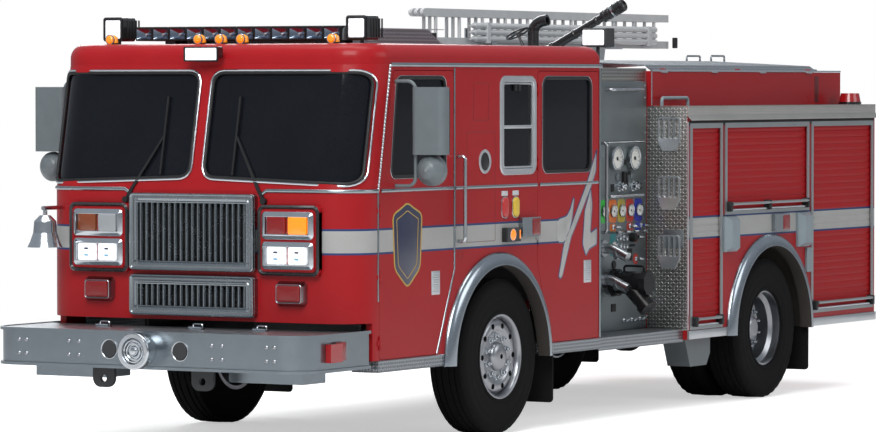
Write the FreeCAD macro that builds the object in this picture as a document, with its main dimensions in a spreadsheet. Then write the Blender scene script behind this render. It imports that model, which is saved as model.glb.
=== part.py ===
import FreeCAD, Part
import math
import os
import Sketcher
from FreeCAD import Placement, Rotation, Vector

# A custom-cab pumper fire engine with its doors, deck gun, light mast and wheels.
# Millimetres; +X is forward, +Y is the driver's side, +Z is up.
# The origin lies on the ground, in the middle of the engine's length and width.

SIZES = {
    # Stations along the vehicle, measured from the front axle
    "wheelbase": 4225,
    "cab_front_ahead": 1990,
    "cab_back_behind": 1445,
    "bumper_ahead": 610,
    "siren_proud": 144,
    "body_front_behind": 2815,
    "body_length": 3365,
    "ladder_overhang": 800,
    # Running clearances and seats
    "seat_gap": 0.3,
    "pin_gap": 0.05,
    "panel_gap": 4,
    "overrun": 20,
    # Wheels and tyres
    "tyre_radius": 540,
    "tyre_width": 290,
    "tyre_shoulder_round": 42,
    "bead_radius": 286,
    "rim_lip_radius": 302,
    "rim_lip_thick": 9,
    "rim_wall": 12,
    "rim_well_depth": 32,
    "wheel_face_half": 1225,
    "dual_gap": 60,
    "hub_bore": 42,
    "hub_radius": 92,
    "hub_cap_radius": 78,
    "hub_cap_proud": 46,
    "hand_hole_radius": 21,
    "hand_hole_circle": 222,
    "disc_thick": 16,
    "front_disc_inset": 42,
    # Frame
    "rail_half": 430,
    "rail_tall": 250,
    "rail_bottom": 700,
    "rail_flange": 85,
    "rail_thick": 9,
    "front_rail_drop": 165,
    "front_rail_tall": 221.7,
    "front_rail_lap": 700,
    "cross_tall": 170,
    "cross_thick": 60,
    "tow_eye_bore": 25,
    "tow_eye_half": 85,
    "tow_eye_thick": 25,
    "tow_eye_bottom": 420,
    "tow_eye_centre": 480,
    "tow_eye_round": 60,
    # Axles, springs and knuckles
    "beam_tall": 105,
    "beam_wide": 90,
    "beam_drop": 110,
    "kingpin_half": 840,
    "kingpin_radius": 24,
    "kingpin_boss": 45,
    "yoke_arm": 46,
    "knuckle_web": 40,
    "backing_plate_radius": 205,
    "backing_plate_thick": 14,
    "axle_tube_radius": 72,
    "drive_head_radius": 215,
    "drive_head_half": 190,
    "spring_half": 385,
    "spring_wide": 76,
    "spring_thick": 48,
    "spring_span": 1380,
    "hanger_wide": 70,
    # Engine and driveline
    "engine_half": 330,
    "engine_tall": 720,
    "engine_long": 1350,
    "engine_bottom": 640,
    "engine_front_ahead": 1150,
    "gearbox_radius": 210,
    "gearbox_long": 620,
    "shaft_radius": 52,
    "radiator_half": 400,
    "radiator_thick": 70,
    "radiator_tall": 600,
    "pump_front_behind": 1700,
    "pump_long": 600,
    "pump_tall": 620,
    "fuel_tank_behind": 660,
    "fuel_tank_long": 720,
    "fuel_tank_drop": 140,
    "fuel_tank_round": 60,
    "air_tank_radius": 120,
    "air_tank_long": 760,
    # Cab
    "cab_half": 1245,
    "cab_wall": 50,
    "cab_bottom": 600,
    "cab_front_bottom": 850,
    "belt_height": 1718,
    "gutter_height": 2550,
    "front_lean": 170,
    "front_round": 270,
    "back_round": 45,
    "floor_height": 940,
    "floor_thick": 40,
    "roof_height": 2690,
    "roof_round": 95,
    "roof_wall": 45,
    "tunnel_half": 470,
    "tunnel_top": 1600,
    "tunnel_back_behind": 1000,
    "tunnel_wall": 25,
    # Wheel arches
    "arch_ahead": 85,
    "arch_height": 515,
    "arch_cut_radius": 660,
    "arch_ring_radius": 752,
    "arch_ring_proud": 52,
    "arch_ring_wall": 5,
    "tub_radius": 800,
    "tub_wall": 20,
    "tub_inner_half": 560,
    # Cab doors and windows
    "front_door_front_ahead": 1690,
    "front_door_top_ahead": 1500,
    "front_door_back_ahead": 702,
    "front_door_foot_ahead": 944,
    "door_kink_height": 1171,
    "front_door_bend_height": 1742,
    "door_top": 2510,
    "door_foot": 606,
    "crew_door_front_behind": 487,
    "crew_door_foot_behind": 690,
    "crew_door_back_behind": 1396,
    "door_round": 30,
    "window_round": 60,
    "window_bottom": 1806,
    "window_top": 2465,
    "front_window_top_ahead": 1461,
    "front_window_foot_ahead": 1541,
    "front_window_back_ahead": 815,
    "mid_window_front_ahead": 48,
    "mid_window_back_behind": 445,
    "crew_window_front_behind": 560,
    "crew_window_back_behind": 1281,
    "port_ahead": 272,
    "port_height": 1891,
    "port_radius": 72,
    "glass_thick": 6,
    "glass_inset": 12,
    "screen_inner_half": 52,
    "screen_outer_half": 1212,
    "screen_foot_inner": 1800,
    "screen_foot_outer": 1758,
    "screen_top": 2500,
    "screen_round": 70,
    "door_hinge_radius": 6,
    "door_pin_radius": 3,
    "door_hinge_long": 90,
    "door_leaf_long": 24,
    # Grille and lamps
    "grille_half": 492,
    "grille_top": 1695,
    "grille_foot": 1178,
    "low_grille_top": 1151,
    "low_grille_foot": 878,
    "grille_frame": 36,
    "grille_proud": 55,
    "grille_round": 28,
    "grille_bar_wide": 20,
    "grille_bar_deep": 42,
    "cluster_centre": 750,
    "cluster_half": 238,
    "cluster_foot": 1160,
    "cluster_top": 1625,
    "cluster_proud": 38,
    "cluster_round": 34,
    "bezel_inset": 34,
    "bezel_frame": 14,
    "lens_gap": 10,
    "red_lamp_half": 100,
    "red_lamp_foot": 978,
    "red_lamp_top": 1107,
    "red_lamp_centre": 758,
    "red_lamp_proud": 48,
    # Bumper
    "bumper_half": 1228,
    "bumper_foot": 555,
    "bumper_top": 805,
    "bumper_round": 200,
    "bumper_wall": 8,
    "bumper_lip": 20,
    "bumper_lip_proud": 18,
    "bumper_leg_ahead": 1795,
    "deck_thick": 6,
    "siren_radius": 121,
    "siren_height": 680,
    "horn_radius": 66,
    "horn_half": 277,
    "under_box_inner": 480,
    "under_box_outer": 1050,
    "under_box_foot": 470,
    "under_box_long": 280,
    "under_box_inset": 270,
    # Bell
    "bell_radius": 120,
    "bell_tall": 215,
    "bell_wall": 9,
    "bell_mouth_height": 1322,
    "bell_ahead": 2165,
    "bell_half": 1090,
    "bell_arm_radius": 14,
    # Wipers
    "wiper_pivot_half": 545,
    "wiper_pivot_drop": 70,
    "wiper_pivot_proud": 30,
    "wiper_reach": 360,
    "wiper_sweep": 260,
    "wiper_blade_long": 520,
    "wiper_thick": 14,
    # Mirrors
    "mirror_ahead": 1480,
    "mirror_centre_half": 1510,
    "mirror_head_wide": 250,
    "mirror_head_tall": 446,
    "mirror_head_thick": 90,
    "mirror_head_foot": 1955,
    "mirror_tube_radius": 12,
    "mirror_tube_half": 1400,
    "mirror_tube_foot": 1748,
    "mirror_tube_top": 2440,
    "convex_tall": 205,
    "convex_foot": 1748,
    "rail_tube_radius": 13,
    "rail_stand": 60,
    "hand_rail_foot": 1357,
    "hand_rail_top": 1931,
    "hand_rail_ahead": 651,
    # Seats and dashboard
    "seat_wide": 500,
    "seat_deep": 480,
    "seat_height": 1360,
    "seat_cushion": 140,
    "seat_back_tall": 820,
    "dash_deep": 330,
    "dash_top": 1720,
    "steering_wheel_radius": 230,
    "steering_rim_radius": 15,
    "steering_lean": 35,
    # Roof fittings
    "light_bar_half": 830,
    "light_bar_ahead": 1300,
    "light_bar_wide": 300,
    "light_bar_tall": 92,
    "light_bar_foot": 2715,
    "light_bar_end": 80,
    "spot_half": 970,
    "spot_ahead": 1370,
    "spot_size": 165,
    "spot_deep": 150,
    "spot_foot": 2712,
    "roof_lamp_radius": 38,
    "roof_lamp_tall": 62,
    "roof_lamp_ahead": 1660,
    "roof_lamp_inner": 170,
    "roof_lamp_outer": 880,
    "brow_lamp_half": 135,
    "brow_lamp_tall": 80,
    "brow_lamp_foot": 2590,
    "brow_lamp_deep": 95,
    "roof_box_half": 700,
    "roof_box_front_ahead": 1120,
    "roof_box_back_behind": 110,
    "roof_box_slant": 220,
    "roof_box_top": 2800,
    # Body
    "body_half": 1245,
    "body_foot": 517,
    "body_top": 2258,
    "body_wall": 25,
    "bed_half": 940,
    "bed_wall": 22,
    "bed_top": 2520,
    "bed_floor": 1550,
    "deep_locker_inner": 640,
    "upper_locker_inner": 975,
    "frame_slot_half": 520,
    "rear_tub_radius": 715,
    "locker_front_gap": 55,
    "locker_post": 78,
    "front_locker_long": 509,
    "middle_locker_long": 1455,
    "middle_locker_foot": 1452,
    "locker_top": 2110,
    "front_locker_foot": 605,
    "back_locker_foot": 640,
    "shutter_frame": 38,
    "shutter_inset": 12,
    "shutter_thick": 9,
    "shutter_frame_proud": 7,
    "slat_ridge": 5,
    "lift_bar_radius": 11,
    "lift_bar_stand": 45,
    "drip_rail_foot": 2150,
    "drip_rail_proud": 34,
    "fitting_front_behind": 3408,
    "fitting_second_behind": 4701,
    "fitting_wide": 202,
    "fitting_foot": 1152,
    "fitting_tall": 268,
    "fitting_proud": 62,
    "fitting_slant": 46,
    "fitting_plate_behind": 4868,
    "fitting_plate_wide": 84,
    "fitting_plate_foot": 950,
    "fitting_plate_tall": 190,
    "fitting_plate_proud": 18,
    "corner_rail_half": 1000,
    "corner_rail_long": 430,
    "corner_rail_inset": 60,
    "rub_rail_foot": 520,
    "rub_rail_tall": 62,
    "rub_rail_proud": 14,
    # Hosebed covers
    "cover_hinge_half": 928,
    "cover_shoulder_half": 872,
    "cover_shoulder_height": 2566,
    "cover_ridge_height": 2608,
    "cover_thick": 8,
    "cover_long": 2900,
    "cover_handle_long": 240,
    "cover_handle_tall": 50,
    "cover_handle_radius": 8,
    "cover_handle_half": 110,
    "cover_handle_behind": 2800,
    "hinge_pin_radius": 6,
    "hinge_barrel_radius": 10,
    "hinge_lug_long": 90,
    # Pump house and its panels
    "pump_gap": 30,
    "pump_half": 900,
    "pump_foot": 590,
    "pump_top": 2440,
    "pump_wall": 20,
    "pump_lip_top": 2540,
    "panel_thick": 12,
    "gauge_radius": 88,
    "gauge_deep": 34,
    "gauge_height": 1872,
    "gauge_front_behind": 2274,
    "gauge_pitch": 281,
    "small_gauge_radius": 46,
    "small_gauge_height": 1485,
    "small_gauge_first_behind": 2116,
    "small_gauge_pitch": 136,
    "handle_height": 1330,
    "handle_radius": 9,
    "handle_reach": 90,
    "outlet_radius": 44,
    "outlet_reach": 175,
    "outlet_behind": 2090,
    "outlet_high": 1215,
    "outlet_low": 985,
    "outlet_drop": 35,
    "intake_radius": 85,
    "intake_reach": 296,
    "intake_behind": 2268,
    "intake_height": 960,
    "intake_lug_radius": 100,
    "intake_cap_deep": 46,
    "intake_leg_long": 262,
    "intake_leg_lean": 45,
    "upright_behind": 2042,
    "upright_foot": 1334,
    "upright_top": 1989,
    "rail_half_span": 250,
    # Steps and boards
    "board_outer_half": 1210,
    "board_top": 596,
    "board_thick": 10,
    "board_skirt": 95,
    "cab_step_foot": 520,
    "rear_step_deep": 190,
    "rear_step_half": 1060,
    "rear_step_top": 560,
    "folding_step_wide": 178,
    "folding_step_tall": 250,
    "folding_step_reach": 40,
    "folding_step_bar": 7,
    "folding_step_middle": 1097,
    "folding_step_low": 1045,
    "folding_step_pitch": 440,
    # Mud flaps and chocks
    "flap_thick": 10,
    "flap_foot": 175,
    "flap_gap": 30,
    "chock_long": 420,
    "chock_tall": 150,
    "chock_wide": 190,
    "chock_foot": 300,
    "chock_half": 1050,
    # Lamps behind the cab
    "beacon_radius": 92,
    "beacon_tall": 70,
    "beacon_base": 20,
    "beacon_inset": 150,
    "rear_lamp_wide": 130,
    "rear_lamp_tall": 160,
    "rear_lamp_foot": 1010,
    "rear_lamp_half": 1130,
    "rear_lamp_proud": 34,
    "marker_long": 150,
    "marker_tall": 120,
    "marker_proud": 40,
    "body_marker_foot": 1285,
    "body_marker_inset": 1662,
    "cab_marker_behind": 210,
    "cab_marker_long": 255,
    "cab_marker_foot": 1363,
    "cab_marker_tall": 133,
    "amber_lamp_behind": 178,
    "amber_lamp_long": 206,
    "amber_lamp_foot": 1332,
    "amber_lamp_tall": 98,
    "bumper_marker_ahead": 2190,
    # Ladders on their rack
    "ladder_front_behind": 2790,
    "ladder_beam_tall": 62,
    "ladder_beam_thick": 28,
    "ladder_foot": 2722,
    "ladder_tall": 285,
    "ladder_rung_radius": 14,
    "ladder_inner": 1030,
    "ladder_pitch": 72,
    "pole_tube_radius": 24,
    "pole_tube_half": 985,
    "pole_tube_foot": 2752,
    "pole_tube_pitch": 51,
    "pole_front_behind": 3540,
    "pole_back_behind": 6640,
    "rack_post_half": 1120,
    "rack_bar_tall": 40,
    "rack_plate_thick": 10,
    # Deck gun
    "gun_behind": 2430,
    "gun_side": 255,
    "gun_pivot_height": 2662,
    "gun_base_radius": 70,
    "gun_flange_radius": 105,
    "gun_flange_thick": 22,
    "gun_elbow_radius": 42,
    "gun_elbow_rise": 215,
    "gun_yoke_half": 62,
    "gun_yoke_thick": 16,
    "gun_reach": 750,
    "gun_barrel_radius": 34,
    "gun_nozzle_radius": 46,
    "gun_nozzle_long": 210,
    "gun_trunnion_radius": 16,
    "gun_rest_lift": 28,
    "gun_wheel_radius": 88,
    "gun_wheel_bar": 7,
    "gun_wheel_stem": 260,
    "gun_wheel_lean": 28,
    # Light mast
    "mast_behind": 1690,
    "mast_half": 1085,
    "mast_radius": 20,
    "mast_inner_radius": 13,
    "mast_foot": 1500,
    "mast_top": 2560,
    "mast_head_foot": 2690,
    "mast_head_tall": 135,
    "mast_head_wide": 190,
    "mast_head_deep": 150,
}


class Size:
    """A length or angle: its value and the sheet expression that gives it."""

    def __init__(self, value, text):
        self.value = value
        self.text = text

    def __add__(self, other):
        return combine(self, "+", other)

    def __radd__(self, other):
        return combine(other, "+", self)

    def __sub__(self, other):
        return combine(self, "-", other)

    def __rsub__(self, other):
        return combine(other, "-", self)

    def __mul__(self, other):
        return combine(self, "*", other)

    def __rmul__(self, other):
        return combine(other, "*", self)

    def __truediv__(self, other):
        return combine(self, "/", other)

    def __neg__(self):
        return Size(-self.value, f"(-1 * {self.text})")


def number(item):
    return item.value if isinstance(item, Size) else item


def text(item):
    return item.text if isinstance(item, Size) else repr(item)


def combine(first, sign, second):
    """Join two sizes, or a size and a plain number, by one of the four signs."""
    one, two = number(first), number(second)
    if sign == "+":
        value = one + two
    elif sign == "-":
        value = one - two
    elif sign == "*":
        value = one * two
    else:
        value = one / two
    return Size(value, f"({text(first)} {sign} {text(second)})")


def root(item):
    return Size(math.sqrt(number(item)), f"sqrt({text(item)})")


class SizeTable:
    """Gives each named size of the sheet as an attribute."""

    def __getattr__(self, name):
        return Size(SIZES[name], f"Sizes.{name}")


doc = FreeCAD.newDocument("PumperFireEngine")
sheet = doc.addObject("Spreadsheet::Sheet", "Sizes")
for row, (size_name, size_value) in enumerate(SIZES.items(), start=1):
    sheet.set(f"A{row}", size_name)
    sheet.set(f"B{row}", str(size_value))
    sheet.setAlias(f"B{row}", size_name)
doc.recompute()

d = SizeTable()
nodes = []

# The three drawing planes: turn, extrusion direction and the offset's axis
PLANES = {
    "top": (Rotation(), Vector(0, 0, 1), "z"),
    "side": (Rotation(Vector(1, 0, 0), 90), Vector(0, 1, 0), "y"),
    "front": (Rotation(Vector(1, 1, 1), 120), Vector(1, 0, 0), "x"),
}
AXIS_TURNS = {
    "x": Rotation(Vector(0, 1, 0), 90),
    "y": Rotation(Vector(1, 0, 0), -90),
    "z": Rotation(),
}
NORMALS = {"x": Vector(1, 0, 0), "y": Vector(0, 1, 0), "z": Vector(0, 0, 1)}


def bind(thing, prop, item):
    """Set one property from a size, or from a plain zero."""
    if isinstance(item, Size):
        thing.setExpression(prop, item.text)
    elif item:
        raise ValueError(f"{thing.Name}.{prop} is a bare number")


def place(thing, turn, base):
    thing.Placement = Placement(Vector(*[number(item) for item in base]), turn)
    for axis, item in zip("xyz", base):
        bind(thing, f"Placement.Base.{axis}", item)


def rounded_corner(before, here, after, radius):
    """Tangent points and centre of the arc that rounds one corner."""
    sides = []
    for other in (before, after):
        run = (other[0] - here[0], other[1] - here[1])
        span = root(run[0] * run[0] + run[1] * run[1])
        sides.append((run[0] / span, run[1] / span))
    one, two = sides
    cosine = one[0] * two[0] + one[1] * two[1]
    reach = radius * root((1 + cosine) / (1 - cosine))
    start = (here[0] + one[0] * reach, here[1] + one[1] * reach)
    end = (here[0] + two[0] * reach, here[1] + two[1] * reach)
    middle = [number(one[k]) + number(two[k]) for k in (0, 1)]
    length = math.hypot(*middle)
    depth = number(radius) / math.sqrt((1 - number(cosine)) / 2)
    centre = [number(here[k]) + middle[k] / length * depth for k in (0, 1)]
    return start, end, centre


def pin_point(sketch, edge, spot, point):
    """Hold one point of a sketch at two sizes from the sketch's origin."""
    for kind, item in (("DistanceX", point[0]), ("DistanceY", point[1])):
        if not isinstance(item, Size) and item:
            raise ValueError(f"{sketch.Name} has a bare number")
        rule = sketch.addConstraint(Sketcher.Constraint(kind, -1, 1, edge, spot, number(item)))
        if isinstance(item, Size):
            sketch.setExpression(f"Constraints[{rule}]", item.text)


def hold_radius(sketch, edge, radius):
    rule = sketch.addConstraint(Sketcher.Constraint("Radius", edge, number(radius)))
    sketch.setExpression(f"Constraints[{rule}]", radius.text)


def draw_loop(sketch, corners, closed=True):
    """Draw a run of lines; a corner with a third value is rounded by it."""
    count = len(corners)
    stops = []
    for index, corner in enumerate(corners):
        ends = not closed and index in (0, count - 1)
        if len(corner) == 3 and not ends:
            before, after = corners[index - 1], corners[(index + 1) % count]
            stops.append(rounded_corner(before, corner, after, corner[2]))
        else:
            stops.append((corner[:2], corner[:2], None))
    edges = []
    for index in range(count):
        start, end, centre = stops[index]
        if centre is not None:
            angles = [math.atan2(number(p[1]) - centre[1], number(p[0]) - centre[0]) for p in (start, end)]
            radius = corners[index][2]
            anticlockwise = (angles[1] - angles[0]) % (2 * math.pi) < math.pi
            if not anticlockwise:
                angles.reverse()
            circle = Part.Circle(Vector(centre[0], centre[1], 0), Vector(0, 0, 1), number(radius))
            edge = sketch.addGeometry(Part.ArcOfCircle(circle, angles[0], angles[1]))
            spots = (1, 2) if anticlockwise else (2, 1)
            pin_point(sketch, edge, spots[0], start)
            pin_point(sketch, edge, spots[1], end)
            hold_radius(sketch, edge, radius)
            edges.append((edge, spots, True))
        if closed or index < count - 1:
            following = stops[(index + 1) % count][0]
            points = [Vector(number(p[0]), number(p[1]), 0) for p in (end, following)]
            edge = sketch.addGeometry(Part.LineSegment(*points))
            edges.append((edge, (1, 2), False))
    total = len(edges) if closed else len(edges) - 1
    for index in range(total):
        this, after = edges[index], edges[(index + 1) % len(edges)]
        sketch.addConstraint(Sketcher.Constraint("Coincident", this[0], this[1][1], after[0], after[1][0]))
        if not this[2] and not after[2]:
            corner = next(s for s in stops if close_to(sketch, this, s[0]))
            pin_point(sketch, after[0], after[1][0], corner[0])
    if not closed:
        first, last = edges[0], edges[-1]
        pin_point(sketch, first[0], first[1][0], stops[0][0])
        pin_point(sketch, last[0], last[1][1], stops[-1][0])


def close_to(sketch, edge, point):
    end = sketch.getPoint(edge[0], edge[1][1])
    return math.hypot(end.x - number(point[0]), end.y - number(point[1])) < 1e-6


def outline(plane, corners, at=0, closed=True, name="Outline"):
    """A sketch of its own on a plane at an offset."""
    turn, direction, axis = PLANES[plane]
    sketch = doc.addObject("Sketcher::SketchObject", name)
    base = [at if axis == letter else 0 for letter in "xyz"]
    place(sketch, turn, base)
    draw_loop(sketch, corners, closed)
    return sketch


def prism(plane, corners, start, end, name="Prism"):
    """A closed outline carried from one offset to another."""
    sketch = outline(plane, corners, start)
    solid = doc.addObject("Part::Extrusion", name)
    solid.Base = sketch
    solid.DirMode = "Custom"
    solid.Dir = PLANES[plane][1]
    solid.setExpression("LengthFwd", (end - start).text)
    solid.Solid = True
    return solid


def box(x, y, z, name="Box"):
    solid = doc.addObject("Part::Box", name)
    for prop, pair in (("Length", x), ("Width", y), ("Height", z)):
        solid.setExpression(prop, (pair[1] - pair[0]).text)
    place(solid, Rotation(), (x[0], y[0], z[0]))
    return solid


def cylinder(axis, radius, start, length, name="Cylinder"):
    """A round bar from a start point along one axis."""
    solid = doc.addObject("Part::Cylinder", name)
    solid.setExpression("Radius", radius.text)
    solid.setExpression("Height", length.text)
    place(solid, AXIS_TURNS[axis], start)
    return solid


def cone(axis, first, second, start, length, name="Cone"):
    solid = doc.addObject("Part::Cone", name)
    bind(solid, "Radius1", first)
    solid.Radius2 = number(second)
    bind(solid, "Radius2", second)
    solid.setExpression("Height", length.text)
    place(solid, AXIS_TURNS[axis], start)
    return solid


def torus(axis, ring, bar, centre, name="Torus"):
    solid = doc.addObject("Part::Torus", name)
    solid.setExpression("Radius1", ring.text)
    solid.setExpression("Radius2", bar.text)
    place(solid, AXIS_TURNS[axis], centre)
    return solid


def turned(plane, corners, axis, centre=(0, 0, 0), name="Turned"):
    """A profile turned a full circle about an axis through the origin, then placed."""
    sketch = outline(plane, corners)
    solid = doc.addObject("Part::Revolution", name)
    solid.Source = sketch
    solid.Axis = NORMALS[axis]
    solid.Angle = 360
    solid.Solid = True
    place(solid, Rotation(), centre)
    return solid


def pipe(plane, path, radius, at=0, name="Pipe"):
    """A round tube along an open path whose first run lies along an axis."""
    spine = outline(plane, path, at, closed=False, name="Spine")
    turn, direction, level = PLANES[plane]
    first = [number(path[1][k]) - number(path[0][k]) for k in (0, 1)]
    heading = turn.multVec(Vector(first[0], first[1], 0).normalize())
    ring = doc.addObject("Part::Circle", "Ring")
    ring.setExpression("Radius", radius.text)
    in_plane = {"top": (0, 1, None), "side": (0, None, 1), "front": (None, 0, 1)}[plane]
    base = [at if slot is None else path[0][slot] for slot in in_plane]
    place(ring, Rotation(Vector(0, 0, 1), heading), base)
    solid = doc.addObject("Part::Sweep", name)
    solid.Sections = [ring]
    doc.recompute()
    solid.Spine = (spine, [f"Edge{k + 1}" for k in range(len(spine.Shape.Edges))])
    solid.Solid = True
    solid.Frenet = False
    return solid


def loft(lower, upper, name="Loft"):
    solid = doc.addObject("Part::Loft", name)
    solid.Sections = [lower, upper]
    solid.Solid = True
    solid.Ruled = True
    return solid


def fuse(parts, name="Union"):
    if len(parts) == 1:
        return parts[0]
    solid = doc.addObject("Part::MultiFuse", name)
    solid.Shapes = parts
    solid.Refine = True
    return solid


def cut(base, tools, name="Cut"):
    solid = doc.addObject("Part::Cut", name)
    solid.Base = base
    solid.Tool = fuse(tools) if isinstance(tools, list) else tools
    solid.Refine = True
    return solid


def common(first, second, name="Common"):
    solid = doc.addObject("Part::MultiCommon", name)
    solid.Shapes = [first, second]
    solid.Refine = True
    return solid


def mirror(source, axis="y", name="Mirror"):
    solid = doc.addObject("Part::Mirroring", name)
    solid.Source = source
    solid.Normal = NORMALS[axis]
    return solid


def both_sides(source):
    return [source, mirror(source)]


def group(parts, name="Group"):
    solid = doc.addObject("Part::Compound", name)
    solid.Links = parts
    return solid


def moved(source, base, turn=Rotation(), name="Moved"):
    """A copy of a piece at another place."""
    solid = doc.addObject("Part::Compound", name)
    solid.Links = [source]
    place(solid, turn, base)
    return solid


def node(label, piece):
    """Name a finished sub-part, which goes to a file of that name."""
    piece.Label = label
    nodes.append(piece)
    return piece


# Driving stations
front_reach = d.cab_front_ahead + d.bumper_ahead + d.siren_proud
rear_reach = d.body_front_behind + d.body_length + d.ladder_overhang
axle_x = (rear_reach - front_reach) / 2
rear_axle_x = axle_x - d.wheelbase
cab_front = axle_x + d.cab_front_ahead
cab_back = axle_x - d.cab_back_behind
bumper_face = cab_front + d.bumper_ahead
body_front = axle_x - d.body_front_behind
body_back = body_front - d.body_length


# Frame: two channel rails, cross members and the front towing eyes
def channel(low, high):
    """The section of one rail, open towards the middle."""
    inside = d.rail_half - d.rail_thick
    lip = d.rail_half - d.rail_flange
    return [
        (d.rail_half, low),
        (d.rail_half, high),
        (lip, high),
        (lip, high - d.rail_thick),
        (inside, high - d.rail_thick),
        (inside, low + d.rail_thick),
        (lip, low + d.rail_thick),
        (lip, low),
    ]


rail_top = d.rail_bottom + d.rail_tall
front_rail_end = bumper_face - d.bumper_wall - d.tow_eye_thick - d.rail_flange


def frame():
    inside = d.rail_half - d.rail_thick
    low_top = rail_top - d.front_rail_drop
    low_bottom = low_top - d.front_rail_tall
    main_end = cab_front - d.cab_wall - d.overrun
    main = prism(
        "front",
        channel(d.rail_bottom, rail_top),
        body_back + d.rail_flange,
        main_end,
        "FrameRail",
    )
    horn_start = main_end - d.front_rail_lap
    horn = prism("front", channel(low_bottom, low_top), horn_start, front_rail_end, "FrontRail")
    parts = both_sides(main) + both_sides(horn)
    cross_shares = (0.03, 0.14, 0.28, 0.42, 0.86)
    span = front_rail_end - body_back
    cross_top = rail_top - d.rail_thick
    for share in cross_shares:
        start = body_back + d.rail_flange * 2 + span * share
        parts.append(
            box(
                (start, start + d.cross_thick),
                (-inside, inside),
                (cross_top - d.cross_tall, cross_top),
                "CrossMember",
            )
        )
    member_x = (front_rail_end - d.cross_thick, front_rail_end)
    parts.append(box(member_x, (-inside, inside), (low_bottom, low_top), "FrontMember"))
    eye_middle = d.rail_half - d.tow_eye_half / 2
    eye_top = low_top - d.rail_flange
    eye = prism(
        "front",
        [
            (eye_middle - d.tow_eye_half, eye_top),
            (eye_middle - d.tow_eye_half, d.tow_eye_bottom, d.tow_eye_round),
            (eye_middle + d.tow_eye_half, d.tow_eye_bottom, d.tow_eye_round),
            (eye_middle + d.tow_eye_half, eye_top),
        ],
        front_rail_end,
        front_rail_end + d.tow_eye_thick,
        "TowEye",
    )
    bore_start = (front_rail_end - d.overrun, eye_middle, d.tow_eye_centre)
    bore = cylinder("x", d.tow_eye_bore, bore_start, d.tow_eye_thick + d.overrun * 2, "EyeBore")
    parts += both_sides(cut(eye, bore, "BoredTowEye"))
    return fuse(parts, "Frame")


node("chassis_frame", frame())

# Axles: a dropped front beam, a rear housing with its drive head, and leaf springs
wheel_height = d.tyre_radius


def spring(middle, seat_low):
    """One leaf spring with its hangers and the seat that ties it to the axle."""
    half = d.spring_span / 2
    low = wheel_height + d.axle_tube_radius
    top = d.rail_bottom - d.spring_thick
    leaf = [
        (middle - half, top),
        (middle - half, top - d.spring_thick),
        (middle - half / 3, low, d.spring_span / 4),
        (middle + half / 3, low, d.spring_span / 4),
        (middle + half, top - d.spring_thick),
        (middle + half, top),
        (middle + half / 3, low + d.spring_thick, d.spring_span / 4),
        (middle - half / 3, low + d.spring_thick, d.spring_span / 4),
    ]
    near, far = d.spring_half - d.spring_wide / 2, d.spring_half + d.spring_wide / 2
    pieces = [prism("side", leaf, near, far, "LeafSpring")]
    for end in (middle - half, middle + half - d.hanger_wide):
        hanger = box(
            (end, end + d.hanger_wide),
            (near, far),
            (top - d.spring_thick, d.rail_bottom - d.seat_gap),
            "SpringHanger",
        )
        pieces.append(hanger)
    pad_top = low + d.spring_thick / 2
    pieces.append(
        box(
            (middle - d.hanger_wide, middle + d.hanger_wide),
            (near, far),
            (seat_low, pad_top),
            "SpringSeat",
        )
    )
    return pieces


def axles():
    beam_half = d.beam_tall / 2
    eye = d.kingpin_half - d.kingpin_boss
    low = wheel_height - d.beam_drop
    beam = prism(
        "front",
        [
            (-d.kingpin_half, wheel_height + beam_half),
            (-eye, wheel_height + beam_half),
            (-d.spring_half - d.spring_wide, low + beam_half * 2),
            (d.spring_half + d.spring_wide, low + beam_half * 2),
            (eye, wheel_height + beam_half),
            (d.kingpin_half, wheel_height + beam_half),
            (d.kingpin_half, wheel_height - beam_half),
            (eye, wheel_height - beam_half),
            (d.spring_half + d.spring_wide, low),
            (-d.spring_half - d.spring_wide, low),
            (-eye, wheel_height - beam_half),
            (-d.kingpin_half, wheel_height - beam_half),
        ],
        axle_x - d.beam_wide / 2,
        axle_x + d.beam_wide / 2,
        "FrontBeam",
    )
    parts = [beam]
    for side in (-1, 1):
        start = (axle_x, d.kingpin_half * side, wheel_height - beam_half)
        parts.append(cylinder("z", d.kingpin_boss, start, d.beam_tall, "BeamEye"))
    for piece in spring(axle_x, low + beam_half):
        parts += both_sides(piece)
    pins = []
    for side in (-1, 1):
        start = (axle_x, d.kingpin_half * side, wheel_height - beam_half - d.overrun)
        pins.append(
            cylinder("z", d.kingpin_radius + d.pin_gap, start, d.beam_tall + d.overrun * 2, "PinBore")
        )
    front_axle = cut(fuse(parts, "FrontAxleParts"), pins, "FrontAxle")
    tube_half = outer_middle - d.disc_thick
    tube = cylinder(
        "y",
        d.axle_tube_radius,
        (rear_axle_x, -spindle_root, wheel_height),
        spindle_root * 2,
        "AxleTube",
    )
    stub = cylinder("y", d.hub_bore, (rear_axle_x, -tube_half, wheel_height), tube_half * 2, "AxleStub")
    head = turned(
        "front",
        [
            (-d.drive_head_half, 0),
            (-d.drive_head_half, d.axle_tube_radius),
            (-d.drive_head_half / 3, d.drive_head_radius, d.axle_tube_radius),
            (d.drive_head_half / 3, d.drive_head_radius, d.axle_tube_radius),
            (d.drive_head_half, d.axle_tube_radius),
            (d.drive_head_half, 0),
        ],
        "y",
        (rear_axle_x, 0, wheel_height),
        "DriveHead",
    )
    rear = [tube, stub, head]
    for piece in spring(rear_axle_x, wheel_height):
        rear += both_sides(piece)
    return group([front_axle, fuse(rear, "RearAxle")], "Axles")


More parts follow.
